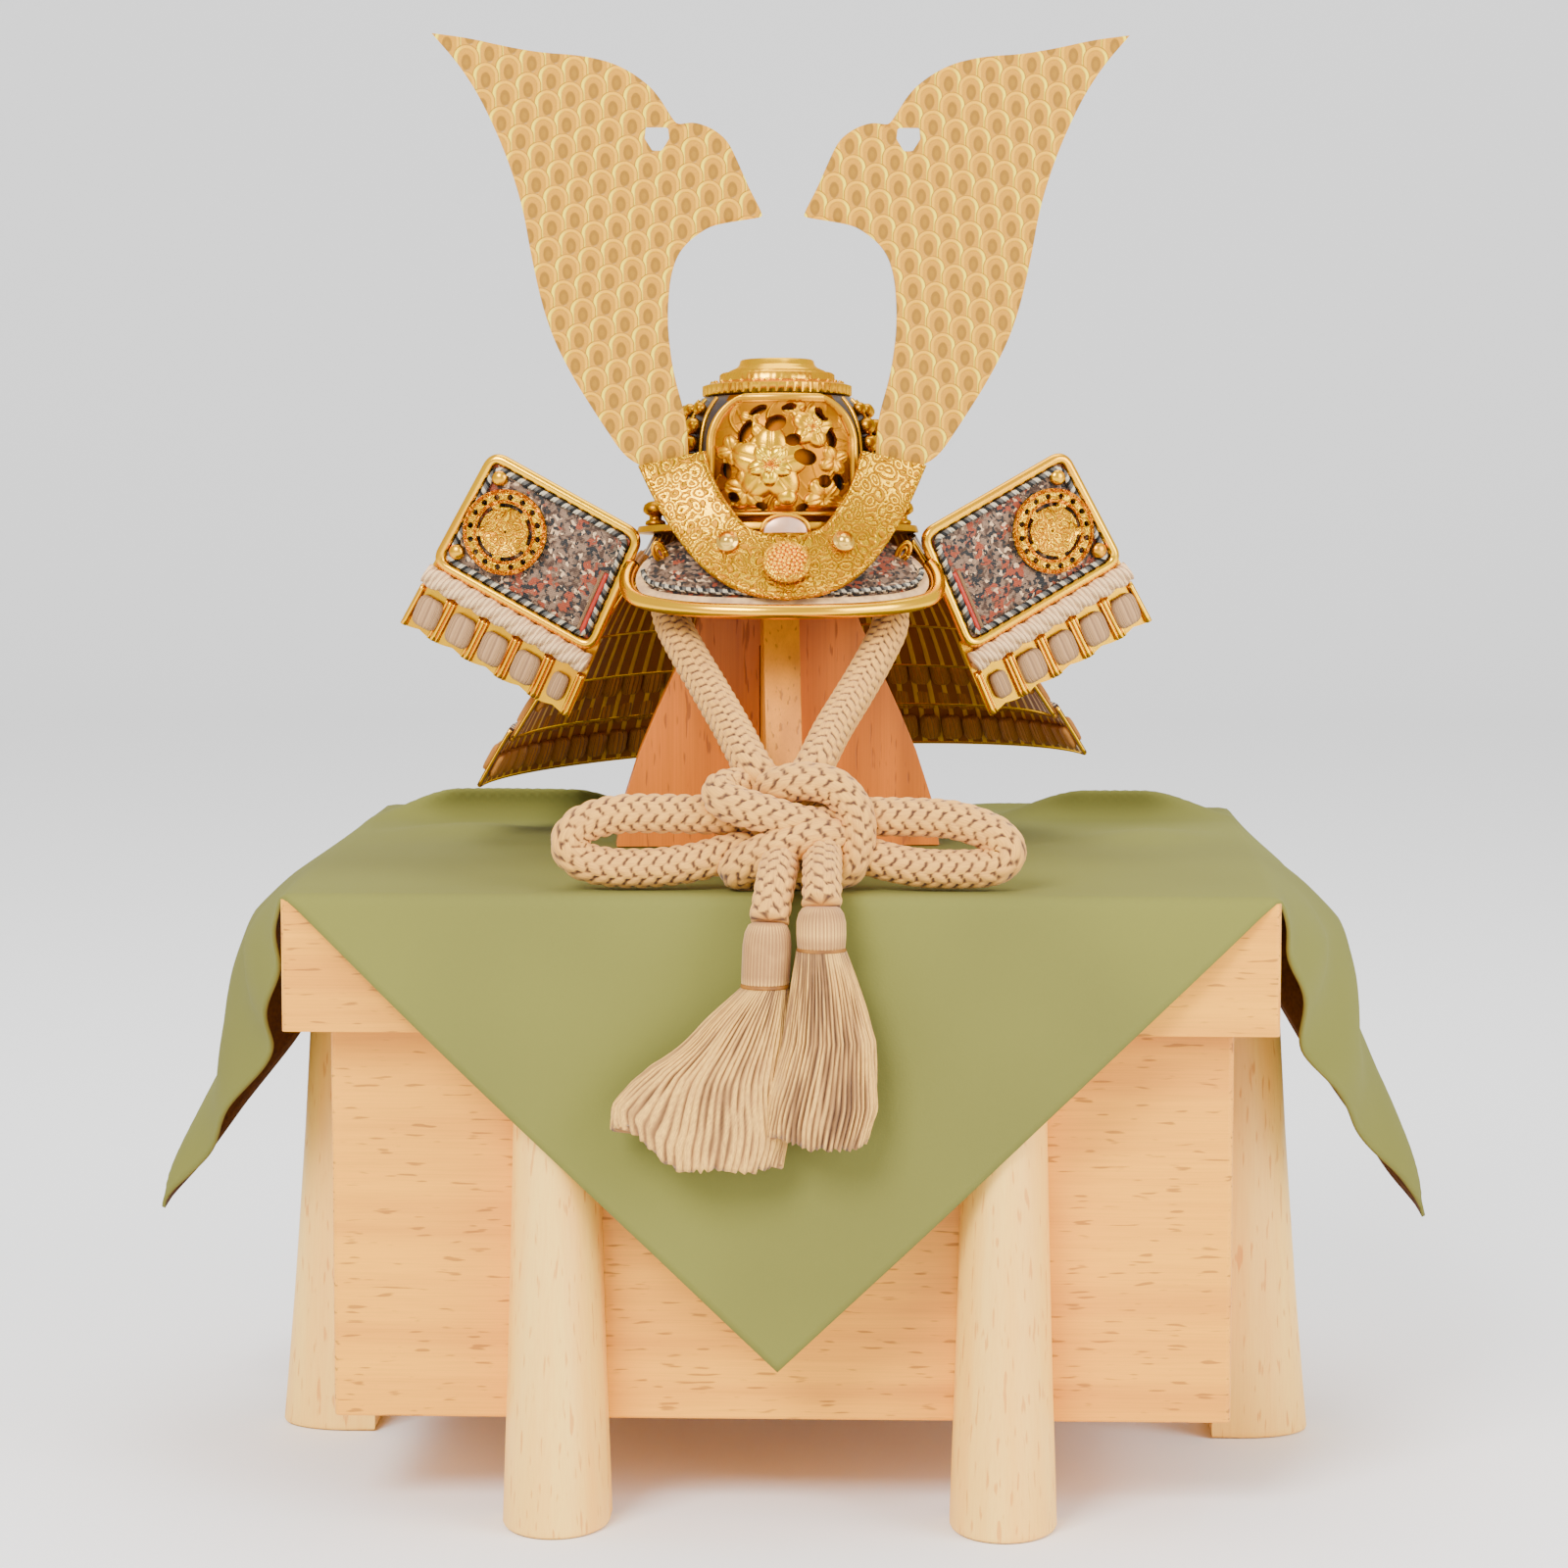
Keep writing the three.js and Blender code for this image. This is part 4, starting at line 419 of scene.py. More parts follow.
def make(name, shape, materials, slot, replaces=(), sharp=None, move=None):
    """A finished object at the origin from a shape in millimetres."""
    if move is not None:
        shape = shape.moved(move)
    mesh = bpy.data.meshes.new(name)
    counts = np.concatenate([np.full(len(f), f.shape[1]) for f in shape.faces])
    loops = np.concatenate([f.reshape(-1) for f in shape.faces])
    mesh.vertices.add(len(shape.points))
    mesh.vertices.foreach_set("co", (shape.points * MM).astype(np.float32).reshape(-1))
    mesh.loops.add(len(loops))
    mesh.loops.foreach_set("vertex_index", loops.astype(np.int32))
    mesh.polygons.add(len(counts))
    mesh.polygons.foreach_set("loop_start", np.concatenate([[0], np.cumsum(counts)[:-1]]).astype(np.int32))
    mesh.polygons.foreach_set("material_index", np.concatenate(shape.part).astype(np.int32))
    mesh.polygons.foreach_set("use_smooth", np.ones(len(counts), bool))
    mesh.update(calc_edges=True)
    layer = mesh.uv_layers.new(name="pattern")
    layer.uv.foreach_set("vector", np.concatenate([u.reshape(-1) for u in shape.uv]).astype(np.float32))
    relief = mesh.attributes.new("relief", "FLOAT", "POINT")
    relief.data.foreach_set("value", shape.relief.astype(np.float32))
    if mesh.validate(verbose=False):
        raise RuntimeError(f"{name} has faces that aren't sound")
    if sharp is not None:
        mesh.set_sharp_from_angle(angle=math.radians(sharp))
    for m in materials:
        mesh.materials.append(MATERIALS[m])
    obj = bpy.data.objects.new(name, mesh)
    bpy.context.scene.collection.objects.link(obj)
    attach(obj, "root")
    if replaces:
        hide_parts(*replaces)
    return obj


# Materials

MATERIALS = {}
# Gold's colour at a glancing angle
EDGE_GOLD = (1.0, 0.72, 0.25, 1.0)


def rgb(r, g, b):
    """A screen colour from 0 to 255 as linear light."""
    def linear(v):
        v /= 255
        return v / 12.92 if v <= 0.04045 else ((v + 0.055) / 1.055) ** 2.4

    return (linear(r), linear(g), linear(b), 1.0)


class Value:
    """A socket's output that can be used in sums."""

    def __init__(self, graph, socket):
        self.graph, self.socket = graph, socket

    def __add__(self, other):
        return self.graph.math("ADD", self, other)

    def __sub__(self, other):
        return self.graph.math("SUBTRACT", self, other)

    def __mul__(self, other):
        return self.graph.math("MULTIPLY", self, other)

    def __truediv__(self, other):
        return self.graph.math("DIVIDE", self, other)

    def __radd__(self, other):
        return self.graph.math("ADD", other, self)

    def __rsub__(self, other):
        return self.graph.math("SUBTRACT", other, self)

    def __rmul__(self, other):
        return self.graph.math("MULTIPLY", other, self)

    def __rtruediv__(self, other):
        return self.graph.math("DIVIDE", other, self)

    def __neg__(self):
        return self.graph.math("MULTIPLY", self, -1.0)


class Graph:
    """A material's nodes."""

    def __init__(self, name):
        self.material = bpy.data.materials.new(name)
        self.material.use_nodes = True
        self.tree = self.material.node_tree
        self.tree.nodes.clear()
        MATERIALS[name] = self.material

    def node(self, kind, inputs=None, out=0, **settings):
        made = self.tree.nodes.new(kind)
        for key, value in settings.items():
            setattr(made, key, value)
        for key, value in (inputs or {}).items():
            if isinstance(value, Value):
                self.tree.links.new(value.socket, made.inputs[key])
            else:
                made.inputs[key].default_value = value
        return Value(self, made.outputs[out]) if made.outputs else None

    def math(self, operation, a, b=0.0):
        return self.node("ShaderNodeMath", {0: a, 1: b}, operation=operation)

    def vector_math(self, operation, a, b):
        return self.node("ShaderNodeVectorMath", {0: a, 1: b}, operation=operation)

    def parts(self, vector):
        """The three numbers of a vector."""
        outputs = self.node("ShaderNodeSeparateXYZ", {0: vector}).socket.node.outputs
        return [Value(self, outputs[k]) for k in range(3)]

    def uv(self):
        return self.parts(self.node("ShaderNodeUVMap", uv_map="pattern"))[:2]

    def place(self):
        return self.node("ShaderNodeTexCoord", out="Object")

    def vector(self, x, y, z=0.0):
        return self.node("ShaderNodeCombineXYZ", {0: x, 1: y, 2: z})

    def relief(self):
        return self.node("ShaderNodeAttribute", out="Fac", attribute_name="relief")

    def noise(self, vector, scale, detail=3.0, rough=0.55):
        inputs = {"Vector": vector, "Scale": scale, "Detail": detail, "Roughness": rough}
        return self.node("ShaderNodeTexNoise", inputs)

    def bent(self, vector, scale, detail, reach):
        """The vector moved about by noise, as far as reach."""
        inputs = {"Vector": vector, "Scale": scale, "Detail": detail}
        bend = self.node("ShaderNodeTexNoise", inputs, out="Color")
        return self.vector_math("ADD", self.vector_math("MULTIPLY", bend, (reach,) * 3), vector)

    def step(self, value, low, high, start=0.0, end=1.0):
        """Goes smoothly from start to end while the value goes from low to high."""
        inputs = {0: value, 1: low, 2: high, 3: start, 4: end}
        return self.node("ShaderNodeMapRange", inputs, interpolation_type="SMOOTHSTEP")

    def mix(self, factor, a, b):
        made = self.tree.nodes.new("ShaderNodeMix")
        made.data_type = "RGBA"
        for key, value in ((0, factor), (6, a), (7, b)):
            if isinstance(value, Value):
                self.tree.links.new(value.socket, made.inputs[key])
            else:
                made.inputs[key].default_value = value
        return Value(self, made.outputs[2])

    def bump(self, height, distance, strength=1.0):
        return self.node("ShaderNodeBump", {"Height": height, "Distance": distance, "Strength": strength})

    def finish(self, **inputs):
        keys = {k.replace("_", " "): v for k, v in inputs.items()}
        shader = self.node("ShaderNodeBsdfPrincipled", keys)
        self.node("ShaderNodeOutputMaterial", {"Surface": shader})
        return self.material


def wood(name, grain, light, mid, dash):
    """Beech: soft growth bands and short dark flecks, both drawn out along the grain axis. A grain along X
    is turned to Y on the faces that look along X, so that it runs along each board."""
    g = Graph(name)
    here = g.place()
    if grain == 0:
        x, y, z = g.parts(here)
        facing = g.parts(g.node("ShaderNodeNewGeometry", out="Normal"))[0]
        side = g.math("GREATER_THAN", g.math("ABSOLUTE", facing), 0.7)
        here = g.vector(x + (y - x) * side, y + (x - y) * side, z)

    def drawn(across, along):
        size = [across] * 3
        size[grain] = along
        return g.vector_math("MULTIPLY", here, tuple(size))

    band = g.noise(drawn(900.0, 30.0), 0.12, 3, 0.6)
    tone = g.noise(drawn(60.0, 4.0), 0.5, 2, 0.5)
    spot = g.step(g.noise(drawn(1150.0, 150.0), 0.85, 1, 0.4), 0.63, 0.72)
    thread = g.noise(drawn(5200.0, 90.0), 0.5, 2, 0.5)
    colour = g.mix(g.step(band * 0.65 + tone * 0.35, 0.36, 0.66), light, mid)
    colour = g.mix(spot * 0.62, colour, dash)
    colour = g.mix(g.step(thread, 0.35, 0.75) * 0.14, colour, dash)
    g.finish(
        Base_Color=colour, Roughness=g.step(spot, 0, 1, 0.45, 0.57),
        Normal=g.bump(thread * 0.5 - spot, 0.0001, 0.35),
    )


def metal(name, colour, deep, rough=0.22, wave=0.00025, scale=120.0):
    """Plated metal: a clear colour that deepens in slow patches, with slight waves in its surface."""
    g = Graph(name)
    patch = g.noise(g.place(), scale * 0.5, 3)
    ripple = g.noise(g.place(), scale, 2)
    g.finish(
        Base_Color=g.mix(g.step(patch, 0.35, 0.75), colour, deep), Metallic=1.0, Specular_Tint=EDGE_GOLD,
        Roughness=g.step(patch, 0.3, 0.7, rough, rough + 0.1), Normal=g.bump(ripple, wave, 0.5),
    )


def engraved(name, colour, deep, cell=480.0):
    """Chased metal: curling ridges from bent cells, dark in the cuts."""
    g = Graph(name)
    where = g.bent(g.place(), cell * 0.45, 1.0, 0.004)
    ring = g.node("ShaderNodeTexVoronoi", {"Vector": where, "Scale": cell}, out="Distance")
    curl = g.math("SINE", ring * 21.0)
    cut = g.step(curl, -0.9, 0.5)
    grain = g.noise(g.place(), cell * 6, 2)
    colour = g.mix(cut, deep, colour)
    g.finish(
        Base_Color=colour, Metallic=1.0, Specular_Tint=EDGE_GOLD, Roughness=g.step(cut, 0, 1, 0.42, 0.2),
        Normal=g.bump(cut + grain * 0.35, 0.0005, 0.8),
    )


def embossed(name):
    """The horns' pressed skin: overlapping round-topped scales, each with a pale arch and a brown oval; the
    arch is brightest on its outward lower side, a painted highlight.
    Four neighbouring scales are laid over one another in turn, each on a slanted lattice of millimetres."""
    g = Graph(name)
    u, v = g.uv()
    fine = g.noise(g.vector(u, v), 2.2, 3)
    across = (6.6 * u + 1.03 * v) / 37.35
    up = (2.06 * u + 5.98 * v) / 37.35
    cell_i, cell_j = g.math("FLOOR", across), g.math("FLOOR", up)
    ground = g.mix(fine, rgb(173, 119, 3), rgb(145, 99, 3))
    colour, height = ground, 0.1
    for i, j in ((0, 1), (1, 1), (0, 0), (1, 0)):
        fi, fj = across - cell_i - float(i), up - cell_j - float(j)
        x, y = 5.98 * fi - 1.03 * fj, 6.6 * fj - 2.06 * fi
        top = g.math("MAXIMUM", y - 1.2, 0.0)
        round_it = g.math("SQRT", x * x + top * top)
        inside = g.step(round_it, 3.3, 3.5, 1.0, 0.0)
        oval = g.math("SQRT", x * x / 1.7 + y * y / 4.4)
        arch = g.step(round_it, 2.1, 2.6) * g.step(round_it, 3.1, 3.35, 1.0, 0.0)
        # Painted highlight: each arch turns pale yellow towards its outward lower side.
        lit = g.mix(g.step(x - y * 0.5, -1.6, 1.6), rgb(227, 162, 3), rgb(247, 214, 28))
        scale = g.mix(fine, rgb(211, 146, 3), rgb(181, 123, 3))
        scale = g.mix(arch, scale, lit)
        scale = g.mix(g.step(oval, 0.85, 1.1, 1.0, 0.0), scale, rgb(146, 100, 3))
        scale = g.mix(g.step(oval, 0.3, 0.6, 1.0, 0.0) * 0.8, scale, rgb(161, 112, 3))
        scale = g.mix(g.step(round_it, 3.2, 3.42) * 0.8, scale, rgb(103, 61, 3))
        rise = 0.35 + arch * 0.6 - g.step(oval, 0.85, 1.1, 0.3, 0.0)
        colour = g.mix(inside, colour, scale)
        height = height * (1.0 - inside) + rise * inside
    g.finish(
        Base_Color=colour, Metallic=0.0, Roughness=0.42, Specular_IOR_Level=0.3,
        Normal=g.bump(height + fine * 0.2, 0.0006, 0.7),
    )


def brocade(name):
    """Printed leather: a beige and brown ground with rust blots, black and white flecks and a fine weave."""
    g = Graph(name)
    u, v = g.uv()
    where = g.bent(g.vector(u, v), 0.5, 2.0, 2.6)
    blot = g.noise(where, 0.2, 1)
    other = g.noise(where, 0.55, 2)
    small = g.node("ShaderNodeTexVoronoi", {"Vector": where, "Scale": 1.05}, out="Color")
    mark = g.node("ShaderNodeSeparateColor", {0: small}, out=0)
    tint = g.node("ShaderNodeSeparateColor", {0: small}, out=1)
    weave = g.math("SINE", u * 9.0) * g.math("SINE", v * 9.0)
    colour = g.mix(g.step(other, 0.42, 0.6), rgb(127, 97, 73), rgb(62, 35, 12))
    colour = g.mix(g.step(blot, 0.53, 0.57) * g.step(tint, 0.2, 0.3), colour, rgb(140, 52, 8))
    colour = g.mix(g.step(mark, 0.7, 0.74), colour, rgb(3, 3, 3))
    colour = g.mix(g.step(tint, 0.9, 0.93), colour, rgb(214, 176, 132))
    colour = g.mix(g.step(weave, 0.2, 0.9) * 0.2, colour, rgb(40, 16, 3))
    g.finish(Base_Color=colour, Roughness=0.62, Normal=g.bump(weave + mark, 0.0001, 0.5))


def twisted(name, pitch, colours, strands, slant=0.145):
    """A twisted cord: stripes of the colours that climb as they go round."""
    g = Graph(name)
    u, v = g.uv()
    climb = v / pitch + u * slant
    turns = g.math("FRACT", climb)
    colour = g.mix(g.step(turns, 0.33, 0.36), colours[0], colours[1])
    colour = g.mix(g.step(turns, 0.62, 0.65), colour, colours[2])
    colour = g.mix(g.step(turns, 0.97, 1.0), colour, colours[0])
    thread = g.math("SINE", climb * (math.tau * strands))
    g.finish(Base_Color=colour, Roughness=0.75, Normal=g.bump(thread, 0.0002, 0.7))


def fibre(name, light, mid, dark, low, high, streak=(2.2, 0.12), tip=0.0):
    """Silk thread: a painted highlight on the high parts and painted shade where the relief is low, with fine
    streaks.
    """
    g = Graph(name)
    u, v = g.uv()
    height = g.step(g.relief(), low, high)
    thread = g.noise(g.vector(u * streak[0], v * streak[1]), 1.6, 3, 0.65)
    patch = g.noise(g.place(), 130.0, 2)
    # Painted shade in the low relief between stitches, and a painted highlight on the high parts along the
    # streaks.
    colour = g.mix(height, dark, mid)
    colour = g.mix(g.step(height, 0.45, 1.0) * g.step(thread, 0.25, 0.7), colour, light)
    colour = g.mix(g.step(patch, 0.5, 0.8) * 0.28, colour, mid)
    if tip:
        colour = g.mix(g.step(v, tip, 0.0) * 0.7, colour, mid)
        colour = g.mix(g.step(v + thread * tip, tip * 0.9, tip * 0.2) * 0.6, colour, dark)
    g.finish(Base_Color=colour, Roughness=0.78, Normal=g.bump(thread, 0.0003, 0.6), Sheen_Weight=0.15)


def plain(name, colour, other, rough, scale=300.0, bump=0.00008, metallic=0.0):
    """A plain surface with a little mottling and grain."""
    g = Graph(name)
    mottle = g.noise(g.place(), scale, 4)
    g.finish(
        Base_Color=g.mix(g.step(mottle, 0.3, 0.7), colour, other), Roughness=rough, Metallic=metallic,
        Normal=g.bump(mottle, bump, 0.6),
    )


def cloth_skin(green):
    """Smooth moss-green cloth on its outer side, brown on the inner one."""
    g = Graph("cloth_green")
    broad = g.noise(g.place(), 9.0, 2)
    grain = g.noise(g.place(), 1500.0, 3)
    colour = g.mix(g.step(broad, 0.3, 0.7), green, rgb(106, 104, 51))
    g.finish(Base_Color=colour, Roughness=0.9, Specular_IOR_Level=0.15, Normal=g.bump(grain, 0.00012, 0.5))
    plain("cloth_brown", rgb(69, 38, 3), rgb(53, 20, 3), 0.8, 900.0)


def lame_skin(name, ground, gilt, gloss):
    """One face of a neck-guard plate: upright gold ribs over lacquer, placed by millimetres."""
    g = Graph(name)
    u, v = g.uv()
    rib = g.math("SINE", u * (math.tau / 4.6))
    lit = g.step(rib, 0.35, 0.75)
    grain = g.noise(g.vector(u, v), 1.4, 3)
    colour = g.mix(lit, ground, gilt)
    colour = g.mix(g.step(grain, 0.55, 0.8) * 0.2, colour, ground)
    g.finish(
        Base_Color=colour, Metallic=g.step(lit, 0, 1, 0.0, gloss), Roughness=g.step(lit, 0, 1, 0.5, 0.28),
        Normal=g.bump(lit, 0.0006, 0.8),
    )


def cast_gold(name, low, high, deep, mid, bright):
    """Cast work whose colour runs from deep to bright with the height of its relief: painted shade in the low
    parts, a painted highlight on the high parts.
    """
    g = Graph(name)
    rise = g.relief()
    grain = g.noise(g.place(), 900.0, 2)
    # Painted shade in the low relief, painted highlight on the high relief.
    colour = g.mix(g.step(rise, low, (low + high) / 2), deep, mid)
    colour = g.mix(g.step(rise, (low + high) / 2, high), colour, bright)
    g.finish(
        Base_Color=colour, Metallic=1.0, Specular_Tint=EDGE_GOLD,
        Roughness=g.step(rise, low, high, 0.4, 0.22), Normal=g.bump(grain, 0.0001, 0.4),
    )


def make_materials(settings):
    """Every finish by name. The main colours come from the settings."""
    wood("beech_level", 0, rgb(249, 169, 3), rgb(225, 144, 3), rgb(132, 73, 4))
    wood("beech_upright", 2, rgb(253, 204, 96), rgb(251, 188, 78), rgb(214, 128, 38))
    wood("beech_stand", 2, rgb(225, 119, 3), rgb(187, 96, 3), rgb(129, 60, 3))
    wood("beech_edge", 2, rgb(247, 154, 2), rgb(215, 129, 10), rgb(144, 80, 3))
    metal("gold", tuple(settings.gold), rgb(212, 138, 0))
    metal("gold_rim", tuple(settings.rim_gold), rgb(236, 162, 2), 0.16, 0.0001, 40.0)
    metal("gold_pale", rgb(236, 192, 90), rgb(222, 168, 46), 0.14, 0.00008, 60.0)
    metal("gold_deep", rgb(206, 148, 0), rgb(160, 106, 0), 0.24)
    # A darkened gold, painted shade for the bowl seen through the openwork's holes.
    metal("gold_painted_shade", rgb(150, 84, 0), rgb(96, 46, 0), 0.5)
    engraved("gold_chased", rgb(214, 162, 0), rgb(176, 116, 0), 330.0)
    engraved("crest_gold", rgb(236, 182, 2), rgb(200, 134, 0), 420.0)
    # The openwork's deep colour is painted shade and its bright colour a painted highlight.
    cast_gold("openwork_gold", -0.2, 2.4, rgb(164, 102, 0), rgb(218, 156, 0), rgb(236, 188, 12))
    embossed("horn_skin")
    brocade("printed_leather")
    twisted("piping", 3.4, (rgb(193, 180, 152), rgb(3, 3, 3), rgb(86, 82, 76)), 4)
    twisted("white_twist", 1.3, (rgb(247, 198, 139), rgb(181, 139, 100), rgb(247, 204, 146)), 2)
    # Each silk's first colour is a painted highlight for the high parts and its third is painted shade for
    # the low parts.
    fibre("silk_cord", tuple(settings.silk), rgb(198, 137, 64), rgb(71, 34, 2), -0.14, 0.36)
    fibre(
        "silk_tassel", tuple(settings.tassel), rgb(189, 134, 69), rgb(78, 42, 3), -0.75, 0.5, (3.4, 0.3),
        7.0,
    )
    fibre("silk_head", rgb(247, 203, 84), rgb(247, 188, 97), rgb(154, 106, 54), -0.1, 0.25, (0.5, 0.5))
    plain("tie", rgb(150, 93, 3), rgb(113, 64, 3), 0.7)
    plain("cream_leather", rgb(249, 201, 131), rgb(187, 147, 105), 0.55)
    plain("lacquer", rgb(30, 15, 5), rgb(42, 22, 8), 0.4)
    twisted("tuft_beige", 6.0, (rgb(182, 138, 92), rgb(142, 105, 68), rgb(170, 127, 83)), 1, 22.0)
    twisted("tuft_brown", 6.0, (rgb(205, 134, 52), rgb(160, 100, 34), rgb(196, 126, 46)), 1, 22.0)
    plain("red_lacquer", tuple(settings.lacquer), rgb(150, 30, 2), 0.45)
    plain("pale_metal", rgb(236, 190, 160), rgb(224, 170, 132), 0.3, 200.0, 0.00004, 0.7)
    cloth_skin(tuple(settings.cloth))
    lame_skin("lame_outside", rgb(58, 30, 12), rgb(236, 172, 20), 0.8)
    lame_skin("lame_inside", rgb(158, 88, 36), rgb(255, 194, 52), 0.2)


# Camera, lights and floor

def add_camera(settings):
    data = bpy.data.cameras.new("photo_camera")
    data.lens = settings.focal_length
    data.sensor_width = 36.0
    data.clip_start = 0.05
    data.clip_end = 20.0
    camera = bpy.data.objects.new("photo_camera", data)
    bpy.context.scene.collection.objects.link(camera)
    camera.location = settings.place
    camera.rotation_euler = (math.pi / 2 - settings.pitch, 0.0, settings.yaw)
    bpy.context.scene.camera = camera


def add_light(name, place, aim, size, power):
    data = bpy.data.lights.new(name, "AREA")
    data.shape = "RECTANGLE"
    data.size, data.size_y = size
    data.energy = power
    lamp = bpy.data.objects.new(name, data)
    bpy.context.scene.collection.objects.link(lamp)
    lamp.location = place
    away = np.array(place, float) - np.array(aim, float)
    lamp.rotation_euler = (
        math.atan2(math.hypot(away[0], away[1]), away[2]), 0.0, math.atan2(away[0], -away[1]),
    )


def add_stage(settings):
    """A pale floor that curves up into a backdrop, and soft lights."""
    turn = np.linspace(0, math.pi / 2, 24)
    line = np.vstack([
        [(-4, 0)], np.stack([2.2 + 0.8 * np.sin(turn), 0.8 - 0.8 * np.cos(turn)], -1), [(3.0, 4.5)],
    ])
    x = np.array([-5.0, 5.0])
    points = stack(x[None, :] + 0 * line[:, :1], line[:, :1] + 0 * x, line[:, 1:] + 0 * x) / MM
    points[..., 2] -= 0.2
    g = Graph("floor_white")
    g.finish(Base_Color=(0.92, 0.92, 0.92, 1), Roughness=0.7)
    floor = grid(points)
    mesh = bpy.data.meshes.new("floor")
    mesh.from_pydata((floor.points * MM).tolist(), [], floor.faces[0].tolist())
    mesh.polygons.foreach_set("use_smooth", np.ones(len(mesh.polygons), bool))
    mesh.materials.append(MATERIALS["floor_white"])
    obj = bpy.data.objects.new("floor", mesh)
    bpy.context.scene.collection.objects.link(obj)
    world = bpy.data.worlds.new("studio")
    world.use_nodes = True
    back = world.node_tree.nodes["Background"]
    back.inputs[0].default_value = (1, 1, 1, 1)
    back.inputs[1].default_value = settings.sky
    bpy.context.scene.world = world
    add_light("key", (-0.7, -1.5, 1.35), (0, 0, 0.2), (0.8, 0.8), settings.key)
    add_light("fill", (1.3, -0.9, 0.7), (0, 0, 0.2), (1.0, 1.0), settings.fill)
    add_light("top", (0.1, 0.3, 1.7), (0, 0, 0.2), (1.2, 1.2), settings.top)


# Chin cord and tassels

# How far the plait's stitches rise over the cord's core
PLAIT_DEPTH = 0.35


def braid(reach, angle):
    """The plait's relief: staggered long stitches that lean one way and then the other, column by column."""
    columns, pitch = 10, 3.7
    best = np.full(np.broadcast(reach, angle).shape, -1.0)
    across = angle / (2 * math.pi) * columns
    for j in (-1, 0, 1):
        col = np.floor(across) + j
        for i in (-1, 0, 1):
            row = np.floor(reach / pitch - 0.5 * np.mod(col, 2)) + i
            x = (across - col - 0.5) * 2.98
            y = reach - (row + 0.5 + 0.5 * np.mod(col, 2)) * pitch
            lean = np.where(np.mod(col, 2) == 0, 0.8, -0.8)
            a, b = x * np.cos(lean) + y * np.sin(lean), y * np.cos(lean) - x * np.sin(lean)
            best = np.maximum(best, 1 - (a / 1.32) ** 2 - (b / 2.5) ** 2)
    uneven = 0.03 * value_noise(reach * 2, angle * 8 + 0 * reach, 3)
    return 0.68 * np.sqrt(np.clip(best, 0, 1)) - 0.14 + uneven


def cord_line(step):
    line = spline(CORD_ROUTE, step)
    line[:, 2] += CLOTH_TOP
    return line


def add_cord(settings):
    """A round plait swept along the route; its centreline is the route's smooth line."""
    line = cord_line(settings.cord_step)
    shape = tube(line, settings.cord_diameter / 2 - PLAIT_DEPTH, settings.cord_sides, lift=braid)
    cord = make("chin_cord", shape, ["silk_cord"], "cord", [
        "chin_cord_strap", "chin_cord_loop_left", "chin_cord_loop_right", "chin_cord_tail_left",
        "chin_cord_tail_right", "chin_cord_knot",
    ])
    tassels = [add_tassel(side) for side in TASSELS]
    path = resampled(line, 3.0) * MM


